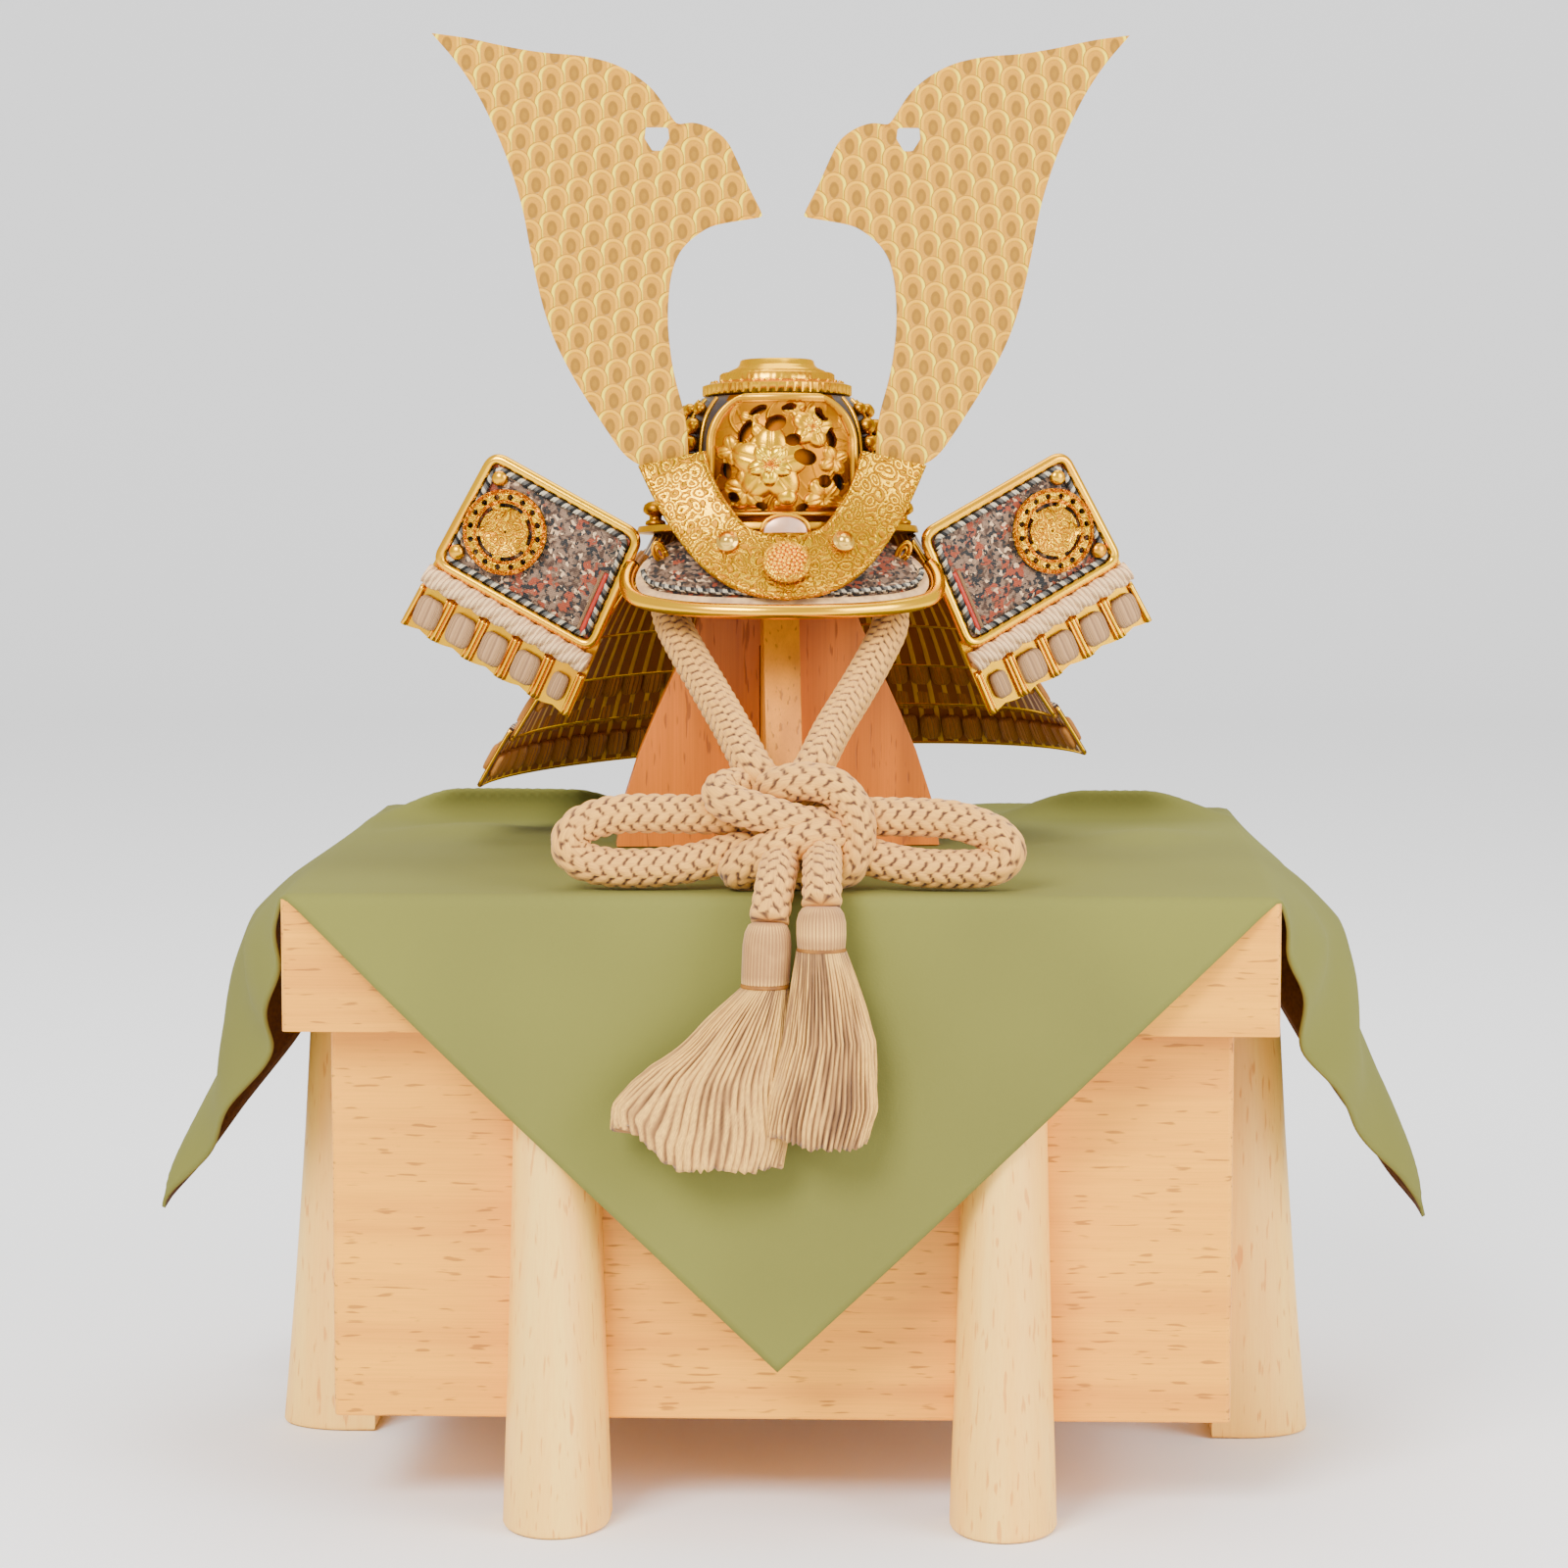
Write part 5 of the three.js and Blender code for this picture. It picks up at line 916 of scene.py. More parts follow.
def add_tassel(side):
    """A bound head over a skirt of threads: rings whose edge is a sum of thread ridges that run down it."""
    (x, y, z), head, rows = TASSELS[side]
    table = np.array(rows, float)
    cols = 420
    angle = np.arange(cols) * 2 * math.pi / cols
    down = np.linspace(head, table[-1, 0], 34)
    cx, half, deep, cy = (np.interp(down, table[:, 0], table[:, k]) for k in (1, 2, 3, 4))
    seed, fan = (5, 9.0) if side == "left" else (9, 1.0)
    turn = angle / (2 * math.pi)
    flow = ((down - head) / (table[-1, 0] - head))[:, None]
    drift = 1.6 * (value_noise(np.mod(turn[None] * 7, 7), flow * 2.4, seed) - 0.5) * flow
    around = turn[None] * 62 + drift * 2.4
    ridge = np.abs(np.sin(math.pi * around)) ** 0.7
    lock = value_noise(np.mod(turn[None] * 17 + drift, 17), flow * 1.4 + 3, seed + 1)
    fine = value_noise(np.mod(turn[None] * 120 + drift * 3, 120), flow * 7, seed + 3)
    relief = (ridge - 0.66) * 0.7 + (lock - 0.5) * 0.6 + (fine - 0.5) * 0.6
    grow = relief * ease(flow * 5 + 0.15)
    lobes = value_noise(np.mod(turn[None] * 8, 8) + 0 * flow, 0 * flow, seed + 2)
    ragged = value_noise(turn[None] * 150 + 0 * flow, 0 * flow, seed + 4)
    low = ease(flow * 5 - 4) * ((lobes - 0.75) * 4 + (ragged - 0.6) * 1.6)
    low = low - fan * ease(flow * 1.6 - 0.4) * ease(-np.cos(angle) * 1.3 - 0.3)
    points = stack(
        cx[:, None] + (half[:, None] - 0.3 + grow) * np.cos(angle),
        cy[:, None] + (deep[:, None] - 0.3 + grow) * np.sin(angle),
        CLOTH_TOP + z - down[:, None] - low,
    )
    inward = points[-1:].copy()
    middle = inward.mean(1, keepdims=True)
    hollow = ((0.93, 0.1), (0.7, 0.9), (0.3, 1.6))
    ends = [middle + (inward - middle) * k + np.array([0, 0, lift]) for k, lift in hollow]
    shape = capped(
        np.concatenate([points, *ends])[::-1], (120, 60),
        np.concatenate([relief, *[relief[-1:] * 0 - 0.3] * 3])[::-1],
    )
    rise = np.array([0, 0.04, 0.16, 0.34, 0.6, 0.8, 0.93, 1.0])
    wide = np.array([0.62, 0.78, 0.93, 1.0, 1.0, 1.0, 0.97, 0.86])
    d = rise * head
    hx = x + (table[0, 1] - x) * rise
    hy = y + (table[0, 4] - y) * rise
    sides = 96
    a = np.arange(sides) * 2 * math.pi / sides
    wrap = 0.12 * np.sin(a * 40)[None] + 0.06 * np.sin(d * 14)[:, None]
    r = 5.9 * wide[:, None] + wrap
    bound = stack(
        hx[:, None] + r * np.cos(a), hy[:, None] + 0.92 * r * np.sin(a),
        CLOTH_TOP + z - d[:, None] + 0 * r,
    )
    bound = capped(bound[::-1], (40, head), wrap[::-1], part=1)
    ring = np.linspace(0, 2 * math.pi, 49)
    under_head = CLOTH_TOP + z - head + 0.3
    tie = stack(table[0, 1] + 5.5 * np.cos(ring), table[0, 4] + 5.05 * np.sin(ring), under_head + 0 * ring)
    return make(
        f"tassel_{side}_threads", merged([shape, bound, tube(tie, 0.55, 8, part=2)]),
        ["silk_tassel", "silk_head", "tie"], "cord", [f"tassel_{side}"],
    )


# Cloth

def cloth_point(flat_x, flat_y):
    """Where a point of the flat cloth lies: level over the lid, then down past each of its four edges."""
    hw, hd = LID[0] / 2 + 0.3, LID[1] / 2 + 0.3
    over_x = np.maximum(np.abs(flat_x) - hw, 0)
    over_y = np.maximum(np.abs(flat_y) - hd, 0)
    sx, sy = np.sign(flat_x), np.sign(flat_y)
    x, y = np.clip(flat_x, -hw, hw), np.clip(flat_y, -hd, hd)
    z = np.zeros_like(x)
    down = over_x / SIDE_FLAP
    share = np.clip(flat_y / np.maximum(hd * (1 - down), 1e-3), -1, 1)
    out = np.interp(down, SIDE_DOWN, SIDE_HEM) + (
        np.interp(down, SIDE_DOWN, SIDE_RIDGE) - np.interp(down, SIDE_DOWN, SIDE_HEM)
    ) * (1 - share ** 2)
    x = x + sx * out * SIDE_OUT
    z = z - SIDE_FALL * down
    fall = over_y / END_FLAP
    drop = np.where(sy < 0, FRONT_FALL, BACK_FALL)
    y = y + sy * END_OUT * (1 - (1 - np.clip(fall, 0, 1)) ** 3)
    z = z - drop * fall
    return x, y, z


def add_cloth():
    """A square of cloth laid cornerwise: a grid over the square, moved by cloth_point, with soft folds."""
    n = 164
    t = np.linspace(-1, 1, n)
    b, a = np.meshgrid(t, t, indexing="ij")
    fx, fy = CLOTH_HALF_DIAGONAL * (a - b) / 2, CLOTH_HALF_DIAGONAL * (a + b) / 2
    hw, hd = LID[0] / 2 + 0.3, LID[1] / 2 + 0.3
    blur = np.zeros((*fx.shape, 3))
    for dx, dy in (
        (0, 0), (1.6, 0), (-1.6, 0), (0, 1.6), (0, -1.6), (3.2, 0), (-3.2, 0), (0, 3.2), (0, -3.2),
    ):
        blur += stack(*cloth_point(fx + dx, fy + dy))
    blur /= 9
    fold = np.zeros_like(fx)
    for x0, x1, y0, tall, wide in (
        (-126, -34, 66, 9.0, 8), (-96, -14, 92, 4.0, 6), (50, 126, 74, 8.0, 8), (30, 108, 97, 2.4, 5),
        (-122, -60, 24, 2.6, 13), (70, 122, 18, 2.6, 13),
    ):
        along = ease((fx - x0) / 30) * ease((x1 - fx) / 30)
        mid = y0 + 7 * np.sin((fx - x0) / 26)
        fold += tall * along * np.exp(-(((fy - mid) / wide) ** 2))
    fold *= ease((hd + 6 - np.abs(fy)) / 20)
    front = blur.copy()
    front[..., 2] += CLOTH_UNDER + 1.0
    front[..., 2] += fold
    front[..., 1] -= 0.12 * fold * fold
    hang = np.maximum(np.abs(fy) - hd, 0)
    front[..., 1] += np.sign(fy) * 0.8 * np.sin(fx / 17) * ease(hang / 30) * ease((122 - hang) / 40)
    beside = np.maximum(np.abs(fx) - hw, 0)
    wave = np.sin(fy / 9 + beside / 11 + 0.6 * np.sign(fx)) * ease(beside / 25)
    front[..., 0] += np.sign(fx) * 1.6 * wave
    front[..., 1] += 1.8 * np.sin(beside / 9 + np.sign(fx)) * ease(beside / 40) * np.clip(fy / 40, -1, 1)
    sheet = slab(lambda u, v: front, n, n, 1.0, size=(324, 324), back_part=1)
    cloth = make("green_cloth", sheet, ["cloth_green", "cloth_brown"], "cloth", ["cloth"])


# Chest and stand

def softened(node, material, width=0.0011):
    """A carried-over solid with its edges broken."""
    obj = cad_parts[node]
    obj.data.materials.clear()
    obj.data.materials.append(MATERIALS[material])
    weld = obj.modifiers.new("weld", "WELD")
    weld.merge_threshold = 1e-5
    bevel = obj.modifiers.new("bevel", "BEVEL")
    bevel.width = width
    bevel.segments = 3
    bevel.limit_method = "ANGLE"
    bevel.angle_limit = math.radians(35)


def add_legs():
    """A D section that grows towards the foot: width and reach follow a table and the height's power 1.25."""
    across, deep, side = LEG_PLACES
    places = {
        "front_left": (-across, -deep, 0), "front_right": (across, -deep, 0), "right": (side, 0, 90),
        "back_right": (across, deep, 180), "back_left": (-across, deep, 180), "left": (-side, 0, 270),
    }
    foot = np.array([0, 0.25, 0.8])
    z = np.concatenate([foot, np.linspace(2, LEG_HEIGHT - 2, 16), LEG_HEIGHT - foot[::-1]])
    inset = np.concatenate([[0.9, 0.3, 0], np.zeros(16), [0, 0.3, 0.9]])
    share = z / LEG_HEIGHT
    flare = np.interp(share, [0, 0.3, 0.65, 1], [1, 0.62, 0.28, 0])
    flare = 0.5 * flare + 0.5 * (1 - share) ** 1.25
    width = 20 + 6.7 * flare
    reach = 17.4 + 8.9 * flare
    turn = np.linspace(0, math.pi, 33)
    k = width[:, None] / 2 - inset[:, None]
    straight = 0.3 * reach[:, None]
    arc = straight + (reach[:, None] - straight - inset[:, None]) * np.sin(turn)
    ax = k * np.cos(turn)
    flat = np.linspace(-1, 1, 7)[1:-1]
    ring_x = np.concatenate([k * np.ones_like(k), ax, -k, k * flat], 1)
    back = np.concatenate([inset[:, None], arc, inset[:, None], inset[:, None] + 0 * flat], 1)
    ring = stack(ring_x, -back, np.broadcast_to(z[:, None], ring_x.shape))
    for name, (px, py, degrees) in places.items():
        c, s = math.cos(math.radians(degrees)), math.sin(math.radians(degrees))
        moved = stack(
            c * ring[..., 0] - s * ring[..., 1] + px, s * ring[..., 0] + c * ring[..., 1] + py, ring[..., 2],
        )
        leg = capped(moved, (80, LEG_HEIGHT))
        make(f"leg_{name}", leg, ["beech_upright"], "beech", [f"chest_leg_{name}"], sharp=50)


# Bowl

def bowl_radius(up):
    dense = np.linspace(0, 1, 60)
    fitted = np.interp(dense, BOWL_UP, BOWL_OUT)
    soft = np.convolve(np.pad(fitted, 4, mode="reflect", reflect_type="odd"), np.ones(9) / 9, "valid")
    return BOWL_RADIUS * np.interp(np.asarray(up) / BOWL_HEIGHT, dense, soft)


def bowl_place(turn, up, off=0.0):
    r = bowl_radius(up) + off
    return stack(r * np.sin(turn), -BOWL_STRETCH * r * np.cos(turn), up + 0 * turn)


def add_bowl():
    """The bowl: a shell turned round Z with thin ribs, and rows of round rivets between them."""
    up = np.linspace(0, BOWL_HEIGHT, 22)
    outer = np.stack([bowl_radius(up) + 0.2, up], -1)
    roof = BOWL_HEIGHT - BOWL_WALL
    inner = np.stack([bowl_radius(up[::-1] * 0.999) - BOWL_WALL, up[::-1] * roof / BOWL_HEIGHT], -1)
    sides = 96
    angle = np.arange(sides) * 2 * math.pi / sides
    profile = np.vstack([[(0.02, BOWL_HEIGHT)], outer[::-1], inner[::-1], [(0.02, roof)]])
    r = profile[:, :1]
    points = stack(r * np.sin(angle), -BOWL_STRETCH * r * np.cos(angle), profile[:, 1:] + 0 * angle)
    shell = capped(points[:, ::-1], (160, 70))
    where = points_of_faces(shell)
    # The shell behind the openwork takes the darkened gold: painted shade seen through the panel's holes.
    shell.part = split(shell, np.where((where[:, 1] < -16) & (np.abs(where[:, 0]) < 14), 3, 0))
    parts = [shell]
    ribs = 24
    back = math.cos(math.radians(50))
    for k in range(ribs):
        turn = 2 * math.pi * (k + 0.5) / ribs
        if math.cos(turn) < back:
            line = bowl_place(np.full(26, turn), np.linspace(0.4, BOWL_HEIGHT - 0.6, 26), 0.35)
            parts.append(tube(line, 0.5, 8, part=1))
    places, sizes = [], []
    for k in range(ribs):
        turn = 2 * math.pi * k / ribs
        if math.cos(turn) < back:
            for row in range(7):
                places.append(bowl_place(turn, 2.6 + row * 4.6, 1.3))
                sizes.append(2.3 if row < 6 else 1.8)
    rivet = ball(1.0, 8, 12, part=2)
    parts.append(copies(rivet, np.array(places), scales=np.array(sizes)[:, None] * np.ones(3)))
    make(
        "bowl_shell", merged(parts), ["lacquer", "gold", "gold_deep", "gold_painted_shade"], "gold", ["bowl"], sharp=60,
        move=tilted,
    )


def add_flange():
    """The brow flange: a flat oval ring with a raised lip, and two mushroom rivets on it."""
    hole = BOWL_RADIUS * 0.95 - BOWL_WALL
    sides = 96
    angle = np.arange(sides) * 2 * math.pi / sides
    rings = [
        (0.0, -0.35), (0.0, -2.0), (1.0, -2.0), (1.0, -1.6), (0.985, -1.0), (0.97, -0.3), (0.93, -0.3),
        (0.9, -0.6),
    ]
    points = []
    for share, z in rings:
        rx = hole + (FLANGE_HALF[0] - hole) * share
        ry = hole * BOWL_STRETCH + (FLANGE_HALF[1] - hole * BOWL_STRETCH) * share
        points.append(stack(rx * np.sin(angle), -ry * np.cos(angle), z + 0 * angle))
    ring = grid(np.array(points)[:, ::-1], (200, 20), wrap_rows=True, wrap_cols=True)
    make("brow_flange", ring, ["gold_deep"], "deep_gold", ["bowl_flange"], sharp=40, move=tilted)
    profile = [
        (0.3, 0), (2.6, 0), (2.75, 0.3), (2.6, 1.0), (1.65, 1.5), (1.65, 2.4), (2.6, 2.9),
        (3.25, 3.5), (3.3, 4.4), (2.9, 5.4), (1.9, 6.1), (0.6, 6.4),
    ]
    for side, name in ((-1, "left"), (1, "right")):
        head = lathe(profile, 24)
        head.points[:, 0] += side * 32.6
        head.points[:, 1] -= 5
        make(f"brow_rivet_{name}", head, ["gold_deep"], "deep_gold", [f"flange_rivet_{name}"], move=tilted)


def add_finial():
    """The crown's stepped boss: a turned profile with milled edges and a ring of beads."""
    radius, tall = 20.0, 10.0
    shares = [
        (0.9, 0), (0.955, 0.01), (0.985, 0.05), (0.985, 0.3), (0.94, 0.335), (0.8, 0.4), (0.77, 0.42),
        (0.76, 0.6), (0.735, 0.645), (0.645, 0.665), (0.64, 0.7), (0.54, 0.79), (0.505, 0.86),
        (0.49, 0.97), (0.47, 1.0), (0.4, 1.0), (0.38, 0.97), (0.36, 0.86), (0.34, 0.82), (0.06, 0.82),
    ]
    profile = np.array([(0.02, 0), *shares]) * (radius, tall)

    def milled(z, angle):
        """Upright cuts on the two outer steps."""
        low = np.where((z > 0.4) & (z < 3.1), 1.0, 0.0)
        high = np.where((z > 4.4) & (z < 6.1), 0.7, 0.0)
        low_cuts = 0.32 * low * (np.abs(np.sin(angle * 27)) - 0.5)
        return low_cuts + 0.3 * high * (np.abs(np.sin(angle * 24)) - 0.5)

    body = lathe(profile, 216, lift=milled)
    a = np.arange(30) * 2 * math.pi / 30
    beads = copies(ball(0.62, 5, 8), stack(17.3 * np.sin(a), -17.3 * np.cos(a), 3.75 + 0 * a))
    shape = merged([body, beads])
    shape.points[:, 2] += BOWL_HEIGHT + 0.3
    make("crown_boss", shape, ["gold"], "gold", ["crown_finial"], sharp=55, move=tilted)


def panel_half(up):
    rise = np.clip((up - 20) / 13.2, 0, 1)
    return 19.5 * (0.34 + 0.66 * np.sqrt(np.maximum(1 - rise * rise, 0)))


# Gaps in the openwork: middle, half sizes and turn
PANEL_HOLES = [
    (-9.8, 23.4, 1.5, 3.2, -0.5), (-2.0, 25.4, 3.0, 2.2, 0.5), (9.6, 27.4, 2.2, 1.3, -0.8),
    (12.6, 21.6, 1.5, 2.6, 0.3), (-6.4, 29.0, 2.6, 1.2, 0.5), (2.4, 21.0, 2.0, 1.7, 0.2),
    (5.6, 16.6, 3.2, 2.1, -0.2), (14.6, 10.2, 1.6, 2.2, 0.4), (-14.8, 13.2, 1.4, 2.2, 0.2),
    (-12.6, 6.4, 1.7, 1.3, -0.4), (10.6, 10.4, 1.9, 1.6, 0.7), (1.6, 29.6, 2.0, 1.1, 0.1),
    (4.8, 3.6, 1.7, 1.0, 0.3), (-5.6, 4.0, 1.6, 1.0, -0.3),
]
# Flowers and leaves: middle, radius, petals, height and turn
PANEL_FLOWERS = [
    (-3.4, 14.6, 9.5, 5, 2.1, 0.3), (-3.4, 14.6, 5.6, 5, 3.0, 0.9), (-3.2, 14.8, 2.8, 3, 3.5, 0.2),
    (7.6, 24.4, 5.3, 5, 1.9, 0.1), (7.6, 24.4, 2.6, 4, 2.5, 0.6), (-9.6, 8.2, 5.3, 5, 1.5, 0.4),
    (10.6, 6.0, 5.3, 5, 1.5, 0.9), (0.8, 6.2, 2.7, 1, 2.4, 0.0), (13.4, 15.8, 3.9, 4, 1.2, 0.5),
    (-13.2, 18.4, 3.9, 4, 1.2, 0.2), (-5.2, 21.8, 3.9, 4, 1.3, 0.7), (-0.6, 2.6, 3.2, 4, 1.1, 0.4),
    (3.0, 29.8, 3.0, 4, 1.1, 0.3), (-8.2, 27.0, 2.8, 3, 1.0, 0.8),
]


def panel_flowers(x, z):
    """Each flower is a ring of domed ellipses, its petals, with a crease down each."""
    height = np.zeros_like(x)
    for cx, cz, radius, petals, tall, turn in PANEL_FLOWERS:
        for k in range(petals):
            angle = turn + 2 * math.pi * k / petals
            reach = 0.52 * radius if petals > 1 else 0.0
            dx = x - cx - reach * math.cos(angle)
            dz = z - cz - reach * math.sin(angle)
            a = (dx * math.cos(angle) + dz * math.sin(angle)) / (0.54 * radius if petals > 1 else radius)
            b = (dz * math.cos(angle) - dx * math.sin(angle)) / (0.46 * radius if petals > 1 else radius)
            dome = np.sqrt(np.clip(1 - a * a - b * b, 0, 1))
            crease = 0.16 * np.exp(-((b / 0.12) ** 2)) * (petals > 1)
            height = np.maximum(height, tall * (dome ** 0.8 - crease) * (0.86 + 0.14 * a))
    stems = ease(1 - np.abs(np.sin(0.33 * x + 1.3 * np.sin(0.27 * z + 0.6))) / 0.22)
    return np.maximum(height, 0.7 * stems)


def add_front_panel():
    """An arched sheet over the bowl's front with a raised edge, flowers, and gaps cut right through."""
    low, high = 1.2, 32.9

    def flat(u, v):
        up = low + (high - low) * v
        return panel_half(up) * (2 * u - 1), up

    def place(u, v):
        x, up = flat(u, v)
        r = bowl_radius(up) + BOWL_RIB + 2.3
        return stack(x, -BOWL_STRETCH * np.sqrt(np.maximum(r * r - x * x, 1)), up)

    def field(u, v):
        x, up = flat(u, v)
        gap = np.full_like(x, 9.0)
        for cx, cz, rx, rz, turn in PANEL_HOLES:
            dx, dz = x - cx, up - cz
            c, s = math.cos(turn), math.sin(turn)
            gap = np.minimum(gap, np.hypot((dx * c + dz * s) / rx, (dz * c - dx * s) / rz) - 1)
        return gap

    def relief(u, v):
        x, up = flat(u, v)
        edge = np.minimum(panel_half(up) - np.abs(x), np.minimum(up - low, high + 0.4 - up))
        frame_up = 1.3 * np.sqrt(np.clip(1 - ((edge - 0.8) / 0.8) ** 2, 0, 1))
        return np.where(edge < 1.6, frame_up, panel_flowers(x, up) * ease((edge - 1.6) / 1.6)) - 0.2

    def uv(u, v):
        return stack(*flat(u, v))

    shape = slab(place, 170, 190, 1.3, field, relief, uv=uv)
    make("bowl_openwork", shape, ["openwork_gold"], "gold", ["bowl_front_panel"], sharp=75, move=tilted)


# Visor

def visor_point(a, b):
    """From under the flange out to the rim, round at the two front corners."""
    angle = math.radians(66) * a
    under = -3.7 - math.tan(BOWL_TILT) * (-32 * np.cos(angle) + TILT_PIVOT * math.sin(BOWL_TILT))
    inner = stack(29.5 * np.sin(angle), -32 * np.cos(angle), under)
    side = a * a
    outer = stack(
        44 * np.sin(angle * 1.06) * (1 + 0.04 * side), -50 * np.cos(angle) ** 0.72 * (1 - 0.1 * side),
        -18.5 + 5.5 * side * side,
    )
    corner = np.maximum((np.abs(a) - 0.7) / 0.3, 0)
    reach = 1 - 0.7 * (1 - np.sqrt(np.maximum(1 - corner ** 2.4, 0)))
    t = (b * reach)[..., None]
    point = inner * (1 - t) + outer * t
    point[..., 2] += 0.5 * np.sin(math.pi * b * reach)
    return point


def visor_edge(inset=0.0, clear=0.0):
    """A line round the visor's outer edge, moved in along the surface or out past it."""
    a = np.linspace(-0.965 + inset * 0.02, 0.965 - inset * 0.02, 120)
    line = resampled(visor_point(a, np.full_like(a, 1 - inset / 23)), 0.8)
    if clear:
        middle = np.array([0, -35.0, -9.25])
        along = np.gradient(line, axis=0)
        along /= np.linalg.norm(along, axis=1, keepdims=True)
        out = line - middle
        out -= along * (out * along).sum(1, keepdims=True)
        out /= np.linalg.norm(out, axis=1, keepdims=True)
        line = line + out * clear
    return line


def add_visor():
    """The visor's skin, with a cream band, piping and a gold rim that follow its outer edge."""
    edge = visor_edge()

    def place(u, v):
        return visor_point(2 * u - 1, v)

    def uv(u, v):
        p = place(u, v)
        return stack(p[..., 0], 1.35 * p[..., 2] + 0.3 * p[..., 1])

    shape = slab(place, 48, 160, -1.4, uv=uv)
    centre = points_of_faces(shape)
    near = np.sqrt(((centre[:, None, :] - edge[None]) ** 2).sum(-1)).min(1)
    shape.part[0] = np.where(near < 2.6, 1, 0)
    shape.mirrored()
    make(
        "visor_skin", shape, ["printed_leather", "cream_leather"], "brocade", ["visor"], sharp=50,
        move=helmet,
    )
    rim = tube(visor_edge(0, 2.5), 1.95, 24)
    make("visor_gold_rim", rim, ["gold_rim"], "gold", ["visor_rim"], move=helmet)
    line = visor_edge(3.3)
    normal_up = np.array([0, -0.75, 0.66])
    piping = tube(line + normal_up * 1.2, 0.68, 12, lift=twist(0.12, 3, 3.4))
    make("visor_piping", piping, ["piping"], "brocade", move=helmet)
    parts = []
    for side in (-1, 1):
        a = np.full(3, 0.9 * side)
        c = visor_point(a, np.array([0.3, 0.5, 0.72]))[1] + np.array([0, -1.6, 1.2])
        ring = np.linspace(0, 2 * math.pi, 41)
        for rx, rz, r in ((1.5, 2.9, 0.55), (0.7, 1.5, 0.4)):
            x, z = rx * np.cos(ring), rz * np.sin(ring)
            cos, sin = math.cos(side * 0.5), math.sin(side * 0.5)
            parts.append(tube(c + stack(x * cos + z * sin, -0.35 * z, z * cos - x * sin), r, 8))
    make("visor_corner_mounts", merged(parts), ["gold"], "gold", move=helmet)


def twist(height, strands, pitch):
    def lift(reach, angle):
        return height * (np.abs(np.cos(0.5 * strands * (angle + math.tau * reach / pitch))) * 2 - 1)
    return lift


# Horn plate and horns

# The horns' spread and height, and where their inner foot stands
HORN_SPREAD, HORN_TALL = 90.0, 112.0
HORN_FOOT = (32.0, 16.0)
# The turn from one of the boss's grains to the next, in radians
GOLDEN_ANGLE = 2.39996

def plate_depth(x, z):
    low = np.clip((PLATE_LOW + PLATE_HEIGHT - z) / PLATE_HEIGHT, 0, 1)
    return -34.5 - 18.0 * low ** 1.8 + x * x / 170


def along_table(table, share):
    k = np.linspace(0, 1, len(table))
    dense = np.linspace(0, 1, 12 * (len(table) - 1) + 1)
    pad = np.stack([np.interp(dense, k, table[:, 0]), np.interp(dense, k, table[:, 1])], -1)
    soft = np.pad(pad, ((5, 5), (0, 0)), mode="reflect", reflect_type="odd")
    kernel = np.ones(11) / 11
    soft = np.stack([np.convolve(soft[:, j], kernel, "valid") for j in range(2)], -1)
    soft[0], soft[-1] = pad[0], pad[-1]
    return np.interp(share, dense, soft[:, 0]), np.interp(share, dense, soft[:, 1])


def add_plate():
    """The crescent under the horns: between an outer and an inner line, bent round the brow."""
    def flat(u, v):
        a = 2 * u - 1
        share = np.abs(a)
        ox, oz = along_table(PLATE_OUTER, share)
        ix, iz = along_table(PLATE_INNER, share)
        x = np.sign(a) * PLATE_HALF * (ox + (ix - ox) * v)
        z = PLATE_LOW + PLATE_HEIGHT * (oz + (iz - oz) * v)
        return x, z

    def place(u, v):
        x, z = flat(u, v)
        return stack(x, plate_depth(x, z), z)

    def relief(u, v):
        rim = np.minimum(v, 1 - v) * 16
        return 0.5 * ease(1 - np.abs(rim - 0.5) / 0.6)

    shape = slab(place, 52, 180, 1.5, relief=relief, uv=flat_uv(flat))
    make("crescent_plate", shape, ["gold_chased"], "gold", ["horn_plate"], sharp=60, move=helmet)
    for side, name in ((-1, "left"), (1, "right")):
        profile = [
            (0.2, 0), (2.95, 0), (3.0, 0.5), (2.75, 0.9), (2.1, 1.0), (1.9, 1.5), (1.2, 2.1), (0.3, 2.4),
        ]
        dome = lathe(profile, 28)
        make(
            f"plate_dome_{name}", dome, ["gold_pale"], "gold", [f"plate_rivet_{name}"],
            move=on_plate(14.8 * side, -2.8),
        )
    a = np.arange(60)
    r = 5.0 * np.sqrt((a + 0.5) / 60)
    t = a * GOLDEN_ANGLE
    grains = copies(ball(0.6, 5, 8), stack(r * np.cos(t), r * np.sin(t), 2.2 - 0.02 * r * r))
    profile = [(0.2, 0), (6.25, 0), (6.3, 0.8), (5.9, 1.4), (5.4, 1.3), (5.0, 1.5), (3, 2.0), (0.3, 2.2)]
    boss = merged([lathe(profile, 40, part=1), grains])
    make("plate_flower", boss, ["gold_rim", "crest_gold"], "gold", ["plate_boss"], move=on_plate(0, -8))
    t = np.linspace(0, math.pi, 15)
    rim = stack(6.2 * np.cos(t), -0.7 + 0 * t, 1.3 + 4.3 * np.sin(t) ** 0.8)
    fan = tube(rim, 0.45, 8, part=1)
    mid = lathe([(0.1, 0), (5.6, 0), (5.7, 0.35), (5.2, 0.6), (0.2, 0.9)], 40)
    x, y, z = mid.points.T
    mid.points = stack(x, -0.4 - z, np.maximum(y * 0.7, -0.2) + 1.2)
    both = merged([mid, fan])
    both.points += np.array([0, float(plate_depth(0.0, 0.0)) - 0.5, -1.0])
    make("plate_fan", both, ["pale_metal", "gold"], "gold", move=helmet)


def flat_uv(flat):
    def uv(u, v):
        return stack(*flat(u, v))
    return uv


